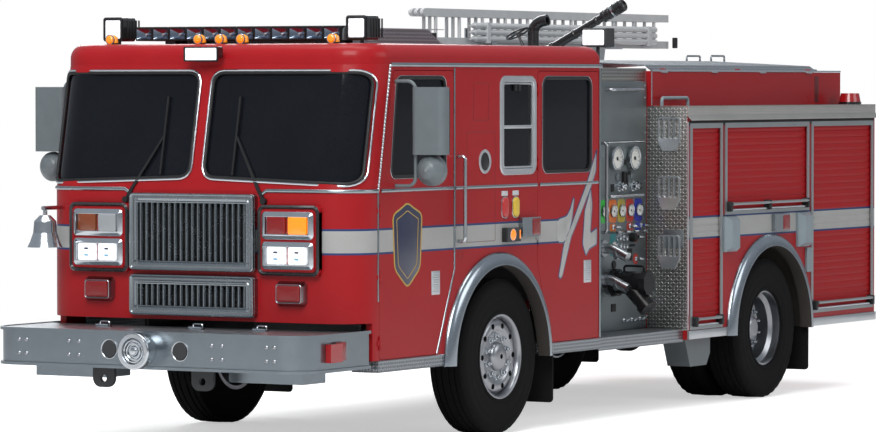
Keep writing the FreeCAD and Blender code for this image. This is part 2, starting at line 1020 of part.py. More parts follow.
# Wheels: the disc wheels with their hubs, and the tyres on them
bead_share = 0.38
rim_half = d.tyre_width * bead_share + d.seat_gap + d.rim_lip_thick
outer_middle = d.wheel_face_half - d.tyre_width / 2
inner_middle = outer_middle - d.tyre_width - d.dual_gap
face_offset = (d.tyre_width + d.dual_gap) / 2
well_radius = d.bead_radius - d.rim_well_depth
disc_edge_radius = well_radius - d.rim_wall / 2
spindle_root = inner_middle - rim_half - d.backing_plate_thick - d.seat_gap


def rim_barrel():
    lip_in = rim_half - d.rim_lip_thick
    inner_seat = d.bead_radius - d.rim_wall
    inner_well = well_radius - d.rim_wall
    return turned(
        "front",
        [
            (-rim_half, d.rim_lip_radius),
            (-lip_in, d.rim_lip_radius),
            (-lip_in, d.bead_radius),
            (rim_half * -0.6, d.bead_radius),
            (rim_half * -0.4, well_radius),
            (rim_half * 0.2, well_radius),
            (rim_half * 0.4, d.bead_radius),
            (lip_in, d.bead_radius),
            (lip_in, d.rim_lip_radius),
            (rim_half, d.rim_lip_radius),
            (rim_half, inner_seat),
            (rim_half * 0.5, inner_seat),
            (rim_half * 0.3, inner_well),
            (rim_half * -0.5, inner_well),
            (rim_half * -0.7, inner_seat),
            (-rim_half, inner_seat),
        ],
        "y",
        name="RimBarrel",
    )


def wheel_disc(edge, face, hub_end, hub_back, cap_radius):
    """The dished disc with its hub; every place is measured from the wheel's middle."""
    slope_radius = d.hand_hole_circle + d.hand_hole_radius
    flat_radius = d.hand_hole_circle - d.hand_hole_radius * 2
    disc = turned(
        "front",
        [
            (edge, disc_edge_radius),
            (edge + d.disc_thick, disc_edge_radius),
            (face + d.disc_thick, flat_radius),
            (face + d.disc_thick, cap_radius + d.disc_thick),
            (hub_end - d.disc_thick, cap_radius),
            (hub_end, cap_radius * 0.7),
            (hub_end, 0),
            (hub_end - d.disc_thick * 2, 0),
            (hub_end - d.disc_thick * 2, d.hub_bore + d.pin_gap),
            (hub_back, d.hub_bore + d.pin_gap),
            (hub_back, d.hub_radius),
            (face, d.hub_radius),
            (face, flat_radius),
        ],
        "y",
        name="WheelDisc",
    )
    holes = []
    low = edge if number(edge) < number(face) else face
    for index in range(10):
        angle = 2 * math.pi * (index + 0.5) / 10
        ring = d.hand_hole_circle
        start = (ring * math.sin(angle), low - d.overrun * 2, ring * math.cos(angle))
        holes.append(cylinder("y", d.hand_hole_radius, start, d.disc_thick * 4 + d.overrun * 4, "HandHole"))
    return cut(disc, holes, "HoledDisc")


def tyre():
    side = d.tyre_width / 2
    bead = d.bead_radius + d.seat_gap
    lip = d.rim_lip_radius + d.seat_gap
    bulge = bead + (d.tyre_radius - bead) * 0.42
    crown = d.tyre_width * 0.47
    return turned(
        "front",
        [
            (d.tyre_width * -bead_share, lip),
            (d.tyre_width * -bead_share, bead),
            (d.tyre_width * bead_share, bead),
            (d.tyre_width * bead_share, lip),
            (side, bulge, d.tyre_shoulder_round * 2),
            (crown, d.tyre_radius, d.tyre_shoulder_round),
            (-crown, d.tyre_radius, d.tyre_shoulder_round),
            (-side, bulge, d.tyre_shoulder_round * 2),
        ],
        "y",
        name="Tyre",
    )


front_face = rim_half - d.front_disc_inset
front_wheel = fuse(
    [
        rim_barrel(),
        wheel_disc(
            rim_half * 0.2,
            front_face,
            rim_half + d.hub_cap_proud / 3,
            -d.disc_thick,
            d.hub_cap_radius,
        ),
    ],
    "FrontWheel",
)
rear_wheel = fuse(
    [
        rim_barrel(),
        wheel_disc(
            rim_half * -0.5,
            -face_offset + d.seat_gap,
            rim_half * 0.3,
            -face_offset - d.hub_cap_proud,
            d.hub_radius,
        ),
    ],
    "RearWheel",
)
inner_disc = turned(
    "front",
    [
        (rim_half * 0.2, disc_edge_radius),
        (rim_half * 0.2 + d.disc_thick, disc_edge_radius),
        (face_offset - d.seat_gap, d.hand_hole_circle),
        (face_offset - d.seat_gap, d.hub_radius + d.seat_gap),
        (face_offset - d.disc_thick, d.hub_radius + d.seat_gap),
        (face_offset - d.disc_thick, d.hand_hole_circle - d.hand_hole_radius),
    ],
    "y",
    name="InnerDisc",
)
inner_wheel = fuse([rim_barrel(), inner_disc], "InnerWheel")
tyre_shape = tyre()

front_left = (axle_x, outer_middle, wheel_height)
rear_left = (rear_axle_x, outer_middle, wheel_height)
rear_left_inner = (rear_axle_x, inner_middle, wheel_height)

wheels_left = {
    "front_wheel_left": moved(front_wheel, front_left),
    "front_tyre_left": moved(tyre_shape, front_left),
    "rear_wheels_left": group([moved(rear_wheel, rear_left), moved(inner_wheel, rear_left_inner)]),
    "rear_tyres_left": group([moved(tyre_shape, rear_left), moved(tyre_shape, rear_left_inner)]),
}
for label, piece in wheels_left.items():
    node(label, piece)
    node(label.replace("left", "right"), mirror(piece))

node("axles", axles())


# Steering knuckles: a yoke round the beam's eye, the kingpin, the spindle and the brake plate
def knuckle():
    beam_half = d.beam_tall / 2
    arm_low = wheel_height - beam_half - d.seat_gap
    arm_high = wheel_height + beam_half + d.seat_gap
    web = d.kingpin_half + d.kingpin_boss + d.seat_gap * 4
    parts = []
    for low in (arm_low - d.yoke_arm, arm_high):
        start = (axle_x, d.kingpin_half, low)
        parts.append(cylinder("z", d.kingpin_boss, start, d.yoke_arm, "YokeArm"))
        side = d.kingpin_boss
        parts.append(
            box(
                (axle_x - side, axle_x + side),
                (d.kingpin_half, web + d.knuckle_web),
                (low, low + d.yoke_arm),
            )
        )
    side = d.kingpin_boss
    parts.append(
        box((axle_x - side, axle_x + side), (web, web + d.knuckle_web), (arm_low, arm_high), "YokeWeb")
    )
    pin_start = (axle_x, d.kingpin_half, arm_low - d.yoke_arm)
    parts.append(cylinder("z", d.kingpin_radius, pin_start, d.beam_tall + d.yoke_arm * 2, "Kingpin"))
    plate_start = (axle_x, web + d.knuckle_web, wheel_height)
    parts.append(cylinder("y", d.backing_plate_radius, plate_start, d.backing_plate_thick, "BrakePlate"))
    spindle_end = outer_middle + rim_half + d.hub_cap_proud / 3 - d.disc_thick * 2 - d.seat_gap
    parts.append(cylinder("y", d.hub_bore, plate_start, spindle_end - web - d.knuckle_web, "Spindle"))
    return fuse(parts, "Knuckle")


knuckle_left = node("steering_knuckle_left", knuckle())
node("steering_knuckle_right", mirror(knuckle_left))


# Door hinges: knuckles outside the skin at each door's front edge
hinge_y = d.cab_half + d.door_hinge_radius
hinge_reach_shares = (0.1, 0.5, 0.9)


def hinge_levels(low, high):
    return [low + (high - low) * share for share in hinge_reach_shares]


def fixed_knuckle(x, level):
    """The middle knuckle with its leaf on the door's post, bored for the pin."""
    half = d.door_hinge_long / 6
    ear = cylinder("z", d.door_hinge_radius, (x, hinge_y, level - half), half * 2, "FixedKnuckle")
    leaf_y = (d.cab_half - d.cab_wall / 2, hinge_y)
    leaf_x = (x + d.panel_gap / 2, x + d.door_leaf_long)
    leaf = box(leaf_x, leaf_y, (level - half, level + half), "FixedLeaf")
    tie = box(
        (x, x + d.panel_gap),
        (d.cab_half + d.seat_gap, hinge_y),
        (level - half, level + half),
        "FixedTie",
    )
    bore_start = (x, hinge_y, level - half - d.overrun)
    bore = cylinder("z", d.door_pin_radius + d.pin_gap, bore_start, half * 2 + d.overrun * 2, "KnuckleBore")
    return cut(fuse([ear, leaf, tie], "FixedHinge"), bore, "BoredHinge")


def door_knuckles(x, level):
    """The door's two knuckles with their leaves, and the pin through all three."""
    third = d.door_hinge_long / 3
    half = d.door_hinge_long / 2
    parts = [cylinder("z", d.door_pin_radius, (x, hinge_y, level - half), half * 2, "HingePin")]
    for low in (level - half, level + third / 2 + d.panel_gap / 4):
        tall = third - d.panel_gap / 4
        parts.append(cylinder("z", d.door_hinge_radius, (x, hinge_y, low), tall, "DoorKnuckle"))
        leaf_x = (x - d.door_leaf_long, x - d.panel_gap / 2)
        parts.append(box(leaf_x, (d.cab_half - d.cab_wall / 2, hinge_y), (low, low + tall), "DoorLeaf"))
        parts.append(
            box((x - d.panel_gap, x), (d.cab_half + d.seat_gap, hinge_y), (low, low + tall), "DoorTie")
        )
    return parts


# Cab: a hollow shell with rounded front corners that leans back above the belt
arch_x = axle_x + d.arch_ahead
screen_top_front = cab_front - d.front_lean


def cab_plan(front, inset, level):
    """The cab's outline seen from above, inset from its outer skin."""
    half = d.cab_half - inset
    corner = d.front_round - inset
    rear = d.back_round
    return outline(
        "top",
        [
            (front - inset, -half, corner),
            (front - inset, half, corner),
            (cab_back + inset, half, rear),
            (cab_back + inset, -half, rear),
        ],
        level,
        name="CabPlan",
    )


def cab_volume(inset, low, high):
    """The cab's full volume, inset from its outer skin, between two levels."""
    lower = doc.addObject("Part::Extrusion", "CabLower")
    lower.Base = cab_plan(cab_front, inset, low)
    lower.DirMode = "Custom"
    lower.Dir = Vector(0, 0, 1)
    lower.setExpression("LengthFwd", (d.belt_height - low).text)
    lower.Solid = True
    lean = d.front_lean * ((high - d.belt_height) / (d.gutter_height - d.belt_height))
    upper = loft(
        cab_plan(cab_front, inset, d.belt_height),
        cab_plan(cab_front - lean, inset, high),
        "CabUpper",
    )
    return fuse([lower, upper], "CabVolume")


def through(corners, near, far, plane="side"):
    """A cutter along one axis, the same on both sides of the vehicle."""
    return both_sides(prism(plane, corners, near, far, "Cutter"))


wall_in = d.cab_half - d.cab_wall
wall_out = d.cab_half + d.arch_ring_proud


def front_door_outline(grow):
    return [
        (axle_x + d.front_door_back_ahead - grow, d.door_top + grow, d.door_round),
        (axle_x + d.front_door_top_ahead + grow, d.door_top + grow, d.door_round),
        (axle_x + d.front_door_front_ahead + grow, d.front_door_bend_height),
        (axle_x + d.front_door_front_ahead + grow, d.door_foot - grow, d.door_round),
        (axle_x + d.front_door_foot_ahead - grow, d.door_foot - grow, d.door_round),
        (axle_x + d.front_door_back_ahead - grow, d.door_kink_height),
    ]


def crew_door_outline(grow):
    return [
        (axle_x - d.crew_door_back_behind - grow, d.door_top + grow, d.door_round),
        (axle_x - d.crew_door_front_behind + grow, d.door_top + grow, d.door_round),
        (axle_x - d.crew_door_front_behind + grow, d.door_kink_height),
        (axle_x - d.crew_door_foot_behind + grow, d.door_foot - grow, d.door_round),
        (axle_x - d.crew_door_back_behind - grow, d.door_foot - grow, d.door_round),
    ]


def front_window_outline(grow):
    return [
        (axle_x + d.front_window_back_ahead - grow, d.window_top + grow, d.window_round),
        (axle_x + d.front_window_top_ahead + grow, d.window_top + grow, d.window_round),
        (axle_x + d.front_window_foot_ahead + grow, d.window_bottom - grow, d.window_round),
        (axle_x + d.front_window_back_ahead - grow, d.window_bottom - grow, d.window_round),
    ]


def square_window(back, front, grow):
    return [
        (back - grow, d.window_top + grow, d.window_round),
        (front + grow, d.window_top + grow, d.window_round),
        (front + grow, d.window_bottom - grow, d.window_round),
        (back - grow, d.window_bottom - grow, d.window_round),
    ]


def mid_window_outline(grow):
    return square_window(axle_x - d.mid_window_back_behind, axle_x + d.mid_window_front_ahead, grow)


def crew_window_outline(grow):
    return square_window(axle_x - d.crew_window_back_behind, axle_x - d.crew_window_front_behind, grow)


def screen_outline(grow):
    """One half of the windscreen, seen from the front."""
    return [
        (d.screen_inner_half - grow, d.screen_top + grow, d.screen_round),
        (d.screen_outer_half + grow, d.screen_top + grow, d.screen_round),
        (d.screen_outer_half + grow, d.screen_foot_outer - grow, d.screen_round),
        (d.screen_inner_half - grow, d.screen_foot_inner - grow, d.screen_round),
    ]


screen_back = screen_top_front - d.front_round


def arch_cut(x, radius, near, far, name="ArchCut"):
    bar = cylinder("y", radius, (x, near, d.arch_height), far - near, name)
    return [bar, mirror(bar)]


# Each door's hinge line: its station, and the lowest and highest level of its knuckles
hinge_margin = d.door_hinge_long / 2
front_hinge = (
    axle_x + d.front_door_front_ahead + d.panel_gap / 2,
    d.door_foot,
    d.front_door_bend_height - hinge_margin,
)
crew_hinge = (
    axle_x - d.crew_door_front_behind + d.panel_gap / 2,
    d.door_kink_height + hinge_margin,
    d.door_top,
)
tunnel_front = cab_front - d.cab_wall
tunnel_back = axle_x - d.tunnel_back_behind


def frame_slot():
    """The room over the frame rails under the rear of the cab."""
    slot_y = (-d.tunnel_half + d.tunnel_wall, d.tunnel_half - d.tunnel_wall)
    slot_x = (cab_back - d.overrun, tunnel_back + d.tunnel_wall)
    return box(slot_x, slot_y, (d.cab_bottom - d.overrun, rail_top + d.seat_gap), "FrameSlot")


def nose_gap(back, front):
    """The space under the nose, above the bumper deck."""
    return box(
        (back, front),
        (-wall_out, wall_out),
        (d.cab_bottom - d.overrun, d.cab_front_bottom),
        "NoseGap",
    )


def cab_shell():
    walls = cut(
        cab_volume(0, d.cab_bottom, d.gutter_height),
        cab_volume(d.cab_wall, d.cab_bottom, d.gutter_height),
        "CabWalls",
    )
    cutters = [frame_slot(), nose_gap(cab_front - d.front_round + d.cab_wall, cab_front + d.overrun)]
    cutters += arch_cut(arch_x, d.arch_cut_radius, wall_in - d.overrun, wall_out)
    inside_frame = d.grille_half - d.grille_frame
    for low, high in ((d.grille_foot, d.grille_top), (d.low_grille_foot, d.low_grille_top)):
        opening_z = (low + d.grille_frame, high - d.grille_frame)
        top_z = (
            opening_z[0],
            opening_z[1] if number(opening_z[1]) < number(d.tunnel_top) else d.tunnel_top,
        )
        cutters.append(
            box((tunnel_front - d.overrun, cab_front + d.overrun), (-inside_frame, inside_frame), top_z)
        )
    cutters += through(front_door_outline(d.panel_gap), wall_in - d.overrun, wall_out)
    cutters += through(crew_door_outline(d.panel_gap), wall_in - d.overrun, wall_out)
    cutters += through(mid_window_outline(0), wall_in - d.overrun, wall_out)
    port = cylinder(
        "y",
        d.port_radius,
        (axle_x + d.port_ahead, wall_in - d.overrun, d.port_height),
        d.cab_wall + d.overrun * 2,
    )
    cutters += both_sides(port)
    cutters += through(screen_outline(0), screen_back, cab_front + d.overrun, "front")
    shell = cut(walls, cutters, "CabShell")
    knuckles = []
    for x, low, high in (front_hinge, crew_hinge):
        for level in hinge_levels(low, high):
            knuckles += both_sides(fixed_knuckle(x, level))
    return fuse([shell] + knuckles, "CabShellWithHinges")


def cab_floor():
    """The floor, the engine tunnel and the wheel tubs, standing just inside the walls."""
    floor_x = (cab_back + d.cab_wall + d.seat_gap, cab_front - d.cab_wall / 2 - d.front_round)
    floor_y = (-wall_in + d.seat_gap, wall_in - d.seat_gap)
    floor_z = (d.floor_height - d.floor_thick, d.floor_height)
    tub = cylinder(
        "y",
        d.tub_radius,
        (arch_x, d.tub_inner_half, d.arch_height),
        wall_in - d.seat_gap - d.tub_inner_half,
    )
    above = box(
        (arch_x - d.tub_radius * 2, arch_x + d.tub_radius * 2),
        (-d.cab_half, d.cab_half),
        (d.floor_height - d.floor_thick, d.gutter_height),
    )
    tubs = [common(piece, above, "WheelTub") for piece in both_sides(tub)]
    tunnel = box(
        (tunnel_back, tunnel_front - d.seat_gap),
        (-d.tunnel_half, d.tunnel_half),
        (d.floor_height - d.floor_thick, d.tunnel_top),
        "EngineTunnel",
    )
    low_tunnel = box(
        (floor_x[0], tunnel_back + d.tunnel_wall),
        (-d.tunnel_half, d.tunnel_half),
        (d.floor_height - d.floor_thick, rail_top + d.tunnel_wall),
        "LowTunnel",
    )
    nose_wall = box(
        (floor_x[1] - d.cab_wall, floor_x[1]),
        floor_y,
        (d.floor_height - d.floor_thick, d.tunnel_top),
        "NoseWall",
    )
    plate = prism(
        "top",
        [
            (floor_x[0], floor_y[0], d.back_round),
            (floor_x[1], floor_y[0]),
            (floor_x[1], floor_y[1]),
            (floor_x[0], floor_y[1], d.back_round),
        ],
        floor_z[0],
        floor_z[1],
        "FloorPlate",
    )
    solid = fuse([plate, nose_wall, tunnel, low_tunnel] + tubs, "FloorSolid")
    cutters = [frame_slot()]
    hollow = d.tub_radius - d.tub_wall
    cutters += arch_cut(arch_x, hollow, d.tub_inner_half + d.tub_wall, wall_in)
    cutters.append(
        box(
            (tunnel_back + d.tunnel_wall, tunnel_front),
            (-d.tunnel_half + d.tunnel_wall, d.tunnel_half - d.tunnel_wall),
            (d.floor_height - d.floor_thick * 2, d.tunnel_top - d.tunnel_wall),
        )
    )
    return cut(solid, cutters, "CabFloor")


node("cab_floor", cab_floor())
node("cab_shell", cab_shell())


def cab_roof():
    """A shallow dome over the gutter: a pad with rounded shoulders, hollowed from below."""
    body = doc.addObject("PartDesign::Body", "RoofBody")
    sketch = body_sketch(body, "XY_Plane")
    half = d.cab_half
    front = screen_top_front
    draw_loop(
        sketch,
        [
            (front, -half, d.front_round),
            (front, half, d.front_round),
            (cab_back, half, d.back_round),
            (cab_back, -half, d.back_round),
        ],
    )
    sketch.setExpression("AttachmentOffset.Base.z", (d.gutter_height + d.seat_gap).text)
    pad = body.newObject("PartDesign::Pad", "RoofPad")
    pad.Profile = sketch
    pad.setExpression("Length", (d.roof_height - d.gutter_height - d.seat_gap).text)
    doc.recompute()
    top_edges = [
        f"Edge{index + 1}"
        for index, edge in enumerate(pad.Shape.Edges)
        if edge.BoundBox.ZMin > number(d.roof_height) - 1
    ]
    shoulder = body.newObject("PartDesign::Fillet", "RoofShoulder")
    shoulder.Base = (pad, top_edges)
    shoulder.setExpression("Radius", d.roof_round.text)
    doc.recompute()
    inner = body_sketch(body, "XY_Plane")
    inset = d.cab_wall + d.roof_wall
    draw_loop(
        inner,
        [
            (front - inset, -half + inset, d.front_round - inset),
            (front - inset, half - inset, d.front_round - inset),
            (cab_back + inset, half - inset),
            (cab_back + inset, -half + inset),
        ],
    )
    inner.setExpression("AttachmentOffset.Base.z", (d.gutter_height + d.seat_gap).text)
    hollow = body.newObject("PartDesign::Pocket", "RoofHollow")
    hollow.Profile = inner
    hollow.Reversed = True
    hollow.setExpression("Length", (d.roof_height - d.gutter_height - d.seat_gap - d.roof_wall).text)
    return body


def body_sketch(body, role):
    """A sketch on one of a body's own origin planes."""
    sketch = body.newObject("Sketcher::SketchObject", "Profile")
    plane = next(item for item in body.Origin.OriginFeatures if item.Role == role)
    sketch.AttachmentSupport = [(plane, "")]
    sketch.MapMode = "FlatFace"
    return sketch


node("cab_roof", cab_roof())


# Doors: as thick as the walls beside them, each with its window cut through and its glass
def door(panel, window, hinge):
    blank = prism("side", panel(0), wall_in, d.cab_half, "DoorPanel")
    opening = prism("side", window(0), wall_in - d.overrun, wall_out, "DoorWindow")
    ring_room = arch_cut(arch_x, d.arch_ring_radius + d.panel_gap, wall_in - d.overrun, wall_out)[0]
    parts = [cut(blank, [opening, ring_room], "DoorPlate")]
    x, low, high = hinge
    for level in hinge_levels(low, high):
        parts += door_knuckles(x, level)
    return fuse(parts, "Door")


def pane(window):
    face = d.cab_half - d.glass_inset
    return prism("side", window(-d.seat_gap), face - d.glass_thick, face, "Pane")


front_door_left = node("front_door_left", door(front_door_outline, front_window_outline, front_hinge))
node("front_door_right", mirror(front_door_left))
crew_door_left = node("crew_door_left", door(crew_door_outline, crew_window_outline, crew_hinge))
node("crew_door_right", mirror(crew_door_left))
front_glass = node("front_door_glass_left", pane(front_window_outline))
node("front_door_glass_right", mirror(front_glass))
crew_glass = node("crew_door_glass_left", pane(crew_window_outline))
node("crew_door_glass_right", mirror(crew_glass))

def glass_band():
    """A thin layer of the cab's skin, just behind its outer face."""
    outer = cab_volume(d.glass_inset, d.cab_bottom, d.gutter_height)
    inner = cab_volume(d.glass_inset + d.glass_thick, d.cab_bottom, d.gutter_height)
    return cut(outer, inner, "GlassBand")


screen = common(
    glass_band(),
    prism("front", screen_outline(-d.seat_gap), screen_back, cab_front + d.overrun, "Screen"),
)
port_glass = cylinder(
    "y",
    d.port_radius - d.seat_gap,
    (axle_x + d.port_ahead, d.cab_half - d.glass_inset - d.glass_thick, d.port_height),
    d.glass_thick,
    "PortGlass",
)
node(
    "cab_glass",
    group(both_sides(screen) + both_sides(pane(mid_window_outline)) + both_sides(port_glass), "CabGlass"),
)


# Radiator grille: two moulded frames, each with a row of upright bars
def grille_section(foot, top):
    """One frame with its bars; the bars' front edges are rounded like the frame's."""
    back = cab_front + d.seat_gap
    front = back + d.grille_proud
    half, edge = d.grille_half, d.grille_frame
    corner = d.grille_round
    outer = [(-half, foot, corner), (half, foot, corner), (half, top, corner), (-half, top, corner)]
    body = doc.addObject("PartDesign::Body", "GrilleBody")
    sketch = body_sketch(body, "YZ_Plane")
    draw_loop(sketch, outer)
    sketch.setExpression("AttachmentOffset.Base.z", back.text)
    pad = body.newObject("PartDesign::Pad", "GrillePad")
    pad.Profile = sketch
    pad.setExpression("Length", d.grille_proud.text)
    doc.recompute()
    rim_edges = [
        f"Edge{index + 1}"
        for index, item in enumerate(pad.Shape.Edges)
        if item.BoundBox.XMin > number(front) - 1
    ]
    bevel = body.newObject("PartDesign::Chamfer", "GrilleBevel")
    bevel.Base = (pad, rim_edges)
    bevel.setExpression("Size", (edge / 3).text)
    inner = [
        (-half + edge, foot + edge, corner / 2),
        (half - edge, foot + edge, corner / 2),
        (half - edge, top - edge, corner / 2),
        (-half + edge, top - edge, corner / 2),
    ]
    opening = prism("front", inner, back - d.overrun, front + d.overrun, "GrilleOpening")
    parts = [cut(body, opening, "GrilleFrame")]
    count = 19
    pitch = (half - edge) * 2 / (count + 1)
    wide = d.grille_bar_wide / 2
    deep = d.grille_bar_deep
    for index in range(count):
        middle = -half + edge + pitch * (index + 1)
        bar = [
            (back, middle - wide),
            (back, middle + wide),
            (back + deep * 0.7, middle + wide),
            (back + deep, middle + wide / 3),
            (back + deep, middle - wide / 3),
            (back + deep * 0.7, middle - wide),
        ]
        parts.append(prism("top", bar, foot + edge / 2, top - edge / 2, "GrilleBar"))
    return fuse(parts, "GrilleSection")


node(
    "radiator_grille",
    group(
        [grille_section(d.grille_foot, d.grille_top), grille_section(d.low_grille_foot, d.low_grille_top)]
    ),
)


# Headlamp clusters: a dark surround, two bright bezels and two lenses in each
def lamp_cluster():
    back = cab_front + d.seat_gap
    front = back + d.cluster_proud
    low_y, high_y = d.cluster_centre - d.cluster_half, d.cluster_centre + d.cluster_half
    corner = d.cluster_round
    surround = prism(
        "front",
        [
            (low_y, d.cluster_foot, corner),
            (high_y, d.cluster_foot, corner),
            (high_y, d.cluster_top, corner),
            (low_y, d.cluster_top, corner),
        ],
        back,
        front,
        "LampSurround",
    )
    middle = (d.cluster_foot + d.cluster_top) / 2
    inset = d.bezel_inset
    rows = [
        (d.cluster_foot + inset, middle - d.lens_gap / 2),
        (middle + d.lens_gap / 2, d.cluster_top - inset),
    ]
    parts = []
    pockets = []
    for low, high in rows:
        edge = d.bezel_frame
        ring = [
            (low_y + inset, low, corner / 2),
            (high_y - inset, low, corner / 2),
            (high_y - inset, high, corner / 2),
            (low_y + inset, high, corner / 2),
        ]
        bezel = prism("front", ring, front - edge, front + edge / 2, "Bezel")
        pockets.append(prism("front", ring, front - edge, front + d.overrun, "BezelSeat"))
        windows = []
        start = low_y + inset + edge
        wide = (d.cluster_centre - d.lens_gap / 2) - start
        for left in (start, d.cluster_centre + d.lens_gap / 2):
            windows.append(
                box(
                    (front - edge * 2, front + edge),
                    (left, left + wide),
                    (low + edge, high - edge),
                    "LensOpening",
                )
            )
            gap = d.seat_gap
            lens_y = (left + gap, left + wide - gap)
            lens = box(
                (front - edge, front + edge / 4),
                lens_y,
                (low + edge + gap, high - edge - gap),
                "Lens",
            )
            parts.append(lens)
        parts.append(cut(bezel, windows, "OpenBezel"))
    parts.append(cut(surround, pockets, "Surround"))
    return parts


def red_lamp():
    back = cab_front + d.seat_gap
    half = d.red_lamp_half
    housing = prism(
        "front",
        [
            (d.red_lamp_centre - half, d.red_lamp_foot, d.cluster_round / 2),
            (d.red_lamp_centre + half, d.red_lamp_foot, d.cluster_round / 2),
            (d.red_lamp_centre + half, d.red_lamp_top, d.cluster_round / 2),
            (d.red_lamp_centre - half, d.red_lamp_top, d.cluster_round / 2),
        ],
        back,
        back + d.red_lamp_proud,
        "RedLamp",
    )
    return housing


cluster = []
for piece in lamp_cluster():
    cluster += both_sides(piece)
node("headlamp_clusters", group(cluster, "HeadlampClusters"))


# Front bumper: a deep channel that wraps round the corners, with rolled lips


def bumper_ring(front, half, corner, back, low, high, name):
    corners = [
        (front, -half, corner),
        (front, half, corner),
        (back, half),
        (back, -half),
    ]
    return prism("top", corners, low, high, name)


def bumper():
    back = axle_x + d.bumper_leg_ahead
    lip = d.bumper_lip_proud
    parts = [
        bumper_ring(
            bumper_face,
            d.bumper_half,
            d.bumper_round,
            back,
            d.bumper_foot,
            d.bumper_top,
            "BumperFace",
        ),
    ]
    for low in (d.bumper_foot, d.bumper_top - d.bumper_lip):
        ring = bumper_ring(
            bumper_face + lip, d.bumper_half + lip, d.bumper_round + lip, back, low, low + d.bumper_lip, "BumperLip"
        )
        parts.append(ring)
    hollow = bumper_ring(
        bumper_face - d.bumper_wall,
        d.bumper_half - d.bumper_wall,
        d.bumper_round - d.bumper_wall,
        back - d.overrun,
        d.bumper_foot - d.overrun,
        d.bumper_top + d.overrun,
        "BumperHollow",
    )
    inside = [
        bumper_face - d.bumper_wall / 2,
        d.bumper_half - d.bumper_wall / 2,
        d.bumper_round - d.bumper_wall / 2,
    ]
    pan = bumper_ring(*inside, back, d.bumper_foot, d.bumper_foot + d.bumper_wall, "BumperPan")
    box_x = (bumper_face - d.under_box_inset - d.under_box_long, bumper_face - d.under_box_inset)
    box_y = (d.under_box_inner, d.under_box_outer)
    under_boxes = both_sides(
        box(box_x, box_y, (d.under_box_foot, d.bumper_foot + d.bumper_wall / 2), "UnderBox")
    )
    eye_middle = d.rail_half - d.tow_eye_half / 2
    eye_reach = d.tow_eye_half + d.panel_gap
    eye_slot = box(
        (front_rail_end - d.panel_gap, front_rail_end + d.tow_eye_thick + d.panel_gap),
        (eye_middle - eye_reach, eye_middle + eye_reach),
        (d.bumper_foot - d.overrun, d.bumper_foot + d.overrun),
        "EyeSlot",
    )
    seats = both_sides(eye_slot) + [
        cylinder(
            "x",
            d.horn_radius,
            (bumper_face - d.overrun, d.horn_half * side, d.siren_height),
            d.overrun * 2,
        )
        for side in (-1, 1)
    ]
    shell = cut(fuse(parts, "BumperParts"), hollow, "BumperShell")
    return cut(fuse([shell, pan] + under_boxes, "BumperWithPan"), seats, "Bumper")


node("front_bumper", bumper())


# Siren and horns set in the bumper's face
def siren():
    front = d.siren_proud
    radius = d.siren_radius
    profile = [
        (d.seat_gap, 0),
        (d.seat_gap, radius * 0.8),
        (front * 0.55, radius * 0.92),
        (front * 0.6, radius),
        (front - d.bumper_lip / 2, radius),
        (front, radius - d.bumper_lip / 2),
        (front, radius * 0.72),
        (front - d.bumper_lip, radius * 0.66),
        (front - d.bumper_lip, radius * 0.3),
        (front - d.bumper_lip / 2, radius * 0.24),
        (front - d.bumper_lip / 2, 0),
    ]
    return turned("side", profile, "x", (bumper_face, 0, d.siren_height), "Siren")


def horn():
    radius = d.horn_radius - d.seat_gap
    deep = d.overrun * 2
    profile = [
        (-deep, 0),
        (-deep, radius * 0.3),
        (-d.bumper_wall, radius),
        (d.bumper_lip / 4, radius),
        (d.bumper_lip / 4, radius * 0.92),
        (-deep * 0.6, radius * 0.2),
        (-deep * 0.6, 0),
    ]
    return turned("side", profile, "x", (bumper_face, d.horn_half, d.siren_height), "Horn")


node("siren_and_horns", group([siren()] + both_sides(horn()), "SirenAndHorns"))


# Bell on a bracket at the cab's far front corner
def bell():
    radius, wall = d.bell_radius, d.bell_wall
    tall = d.bell_tall
    profile = [
        (radius, 0),
        (radius * 0.86, tall * 0.16),
        (radius * 0.68, tall * 0.45),
        (radius * 0.62, tall * 0.82, wall * 2),
        (radius * 0.3, tall),
        (radius * 0.12, tall),
        (radius * 0.12, tall * 1.16),
        (0, tall * 1.16),
        (0, tall - wall * 2),
        (radius * 0.3, tall - wall * 2),
        (radius * 0.62 - wall, tall * 0.8 - wall, wall),
        (radius * 0.68 - wall, tall * 0.45),
        (radius * 0.86 - wall, tall * 0.16),
        (radius - wall, 0),
    ]
    centre = (axle_x + d.bell_ahead, -d.bell_half, d.bell_mouth_height)
    shell = turned("side", profile, "z", centre, "Bell")
    arm_level = d.bell_mouth_height + tall * 1.16 + d.bell_arm_radius
    start = cab_front - d.front_round
    arm = cylinder(
        "x",
        d.bell_arm_radius,
        (start, -d.bell_half, arm_level),
        centre[0] - start + d.bell_arm_radius * 2,
        "BellArm",
    )
    clapper = cylinder(
        "z",
        d.bell_wall,
        (centre[0], centre[1], d.bell_mouth_height + d.bell_wall),
        tall - wall * 2,
        "Clapper",
    )
    arm_clear = cab_volume(-d.seat_gap, d.cab_bottom, d.gutter_height)
    return cut(fuse([shell, arm, clapper], "BellParts"), arm_clear, "BellAndArm")


node("warning_bell", bell())


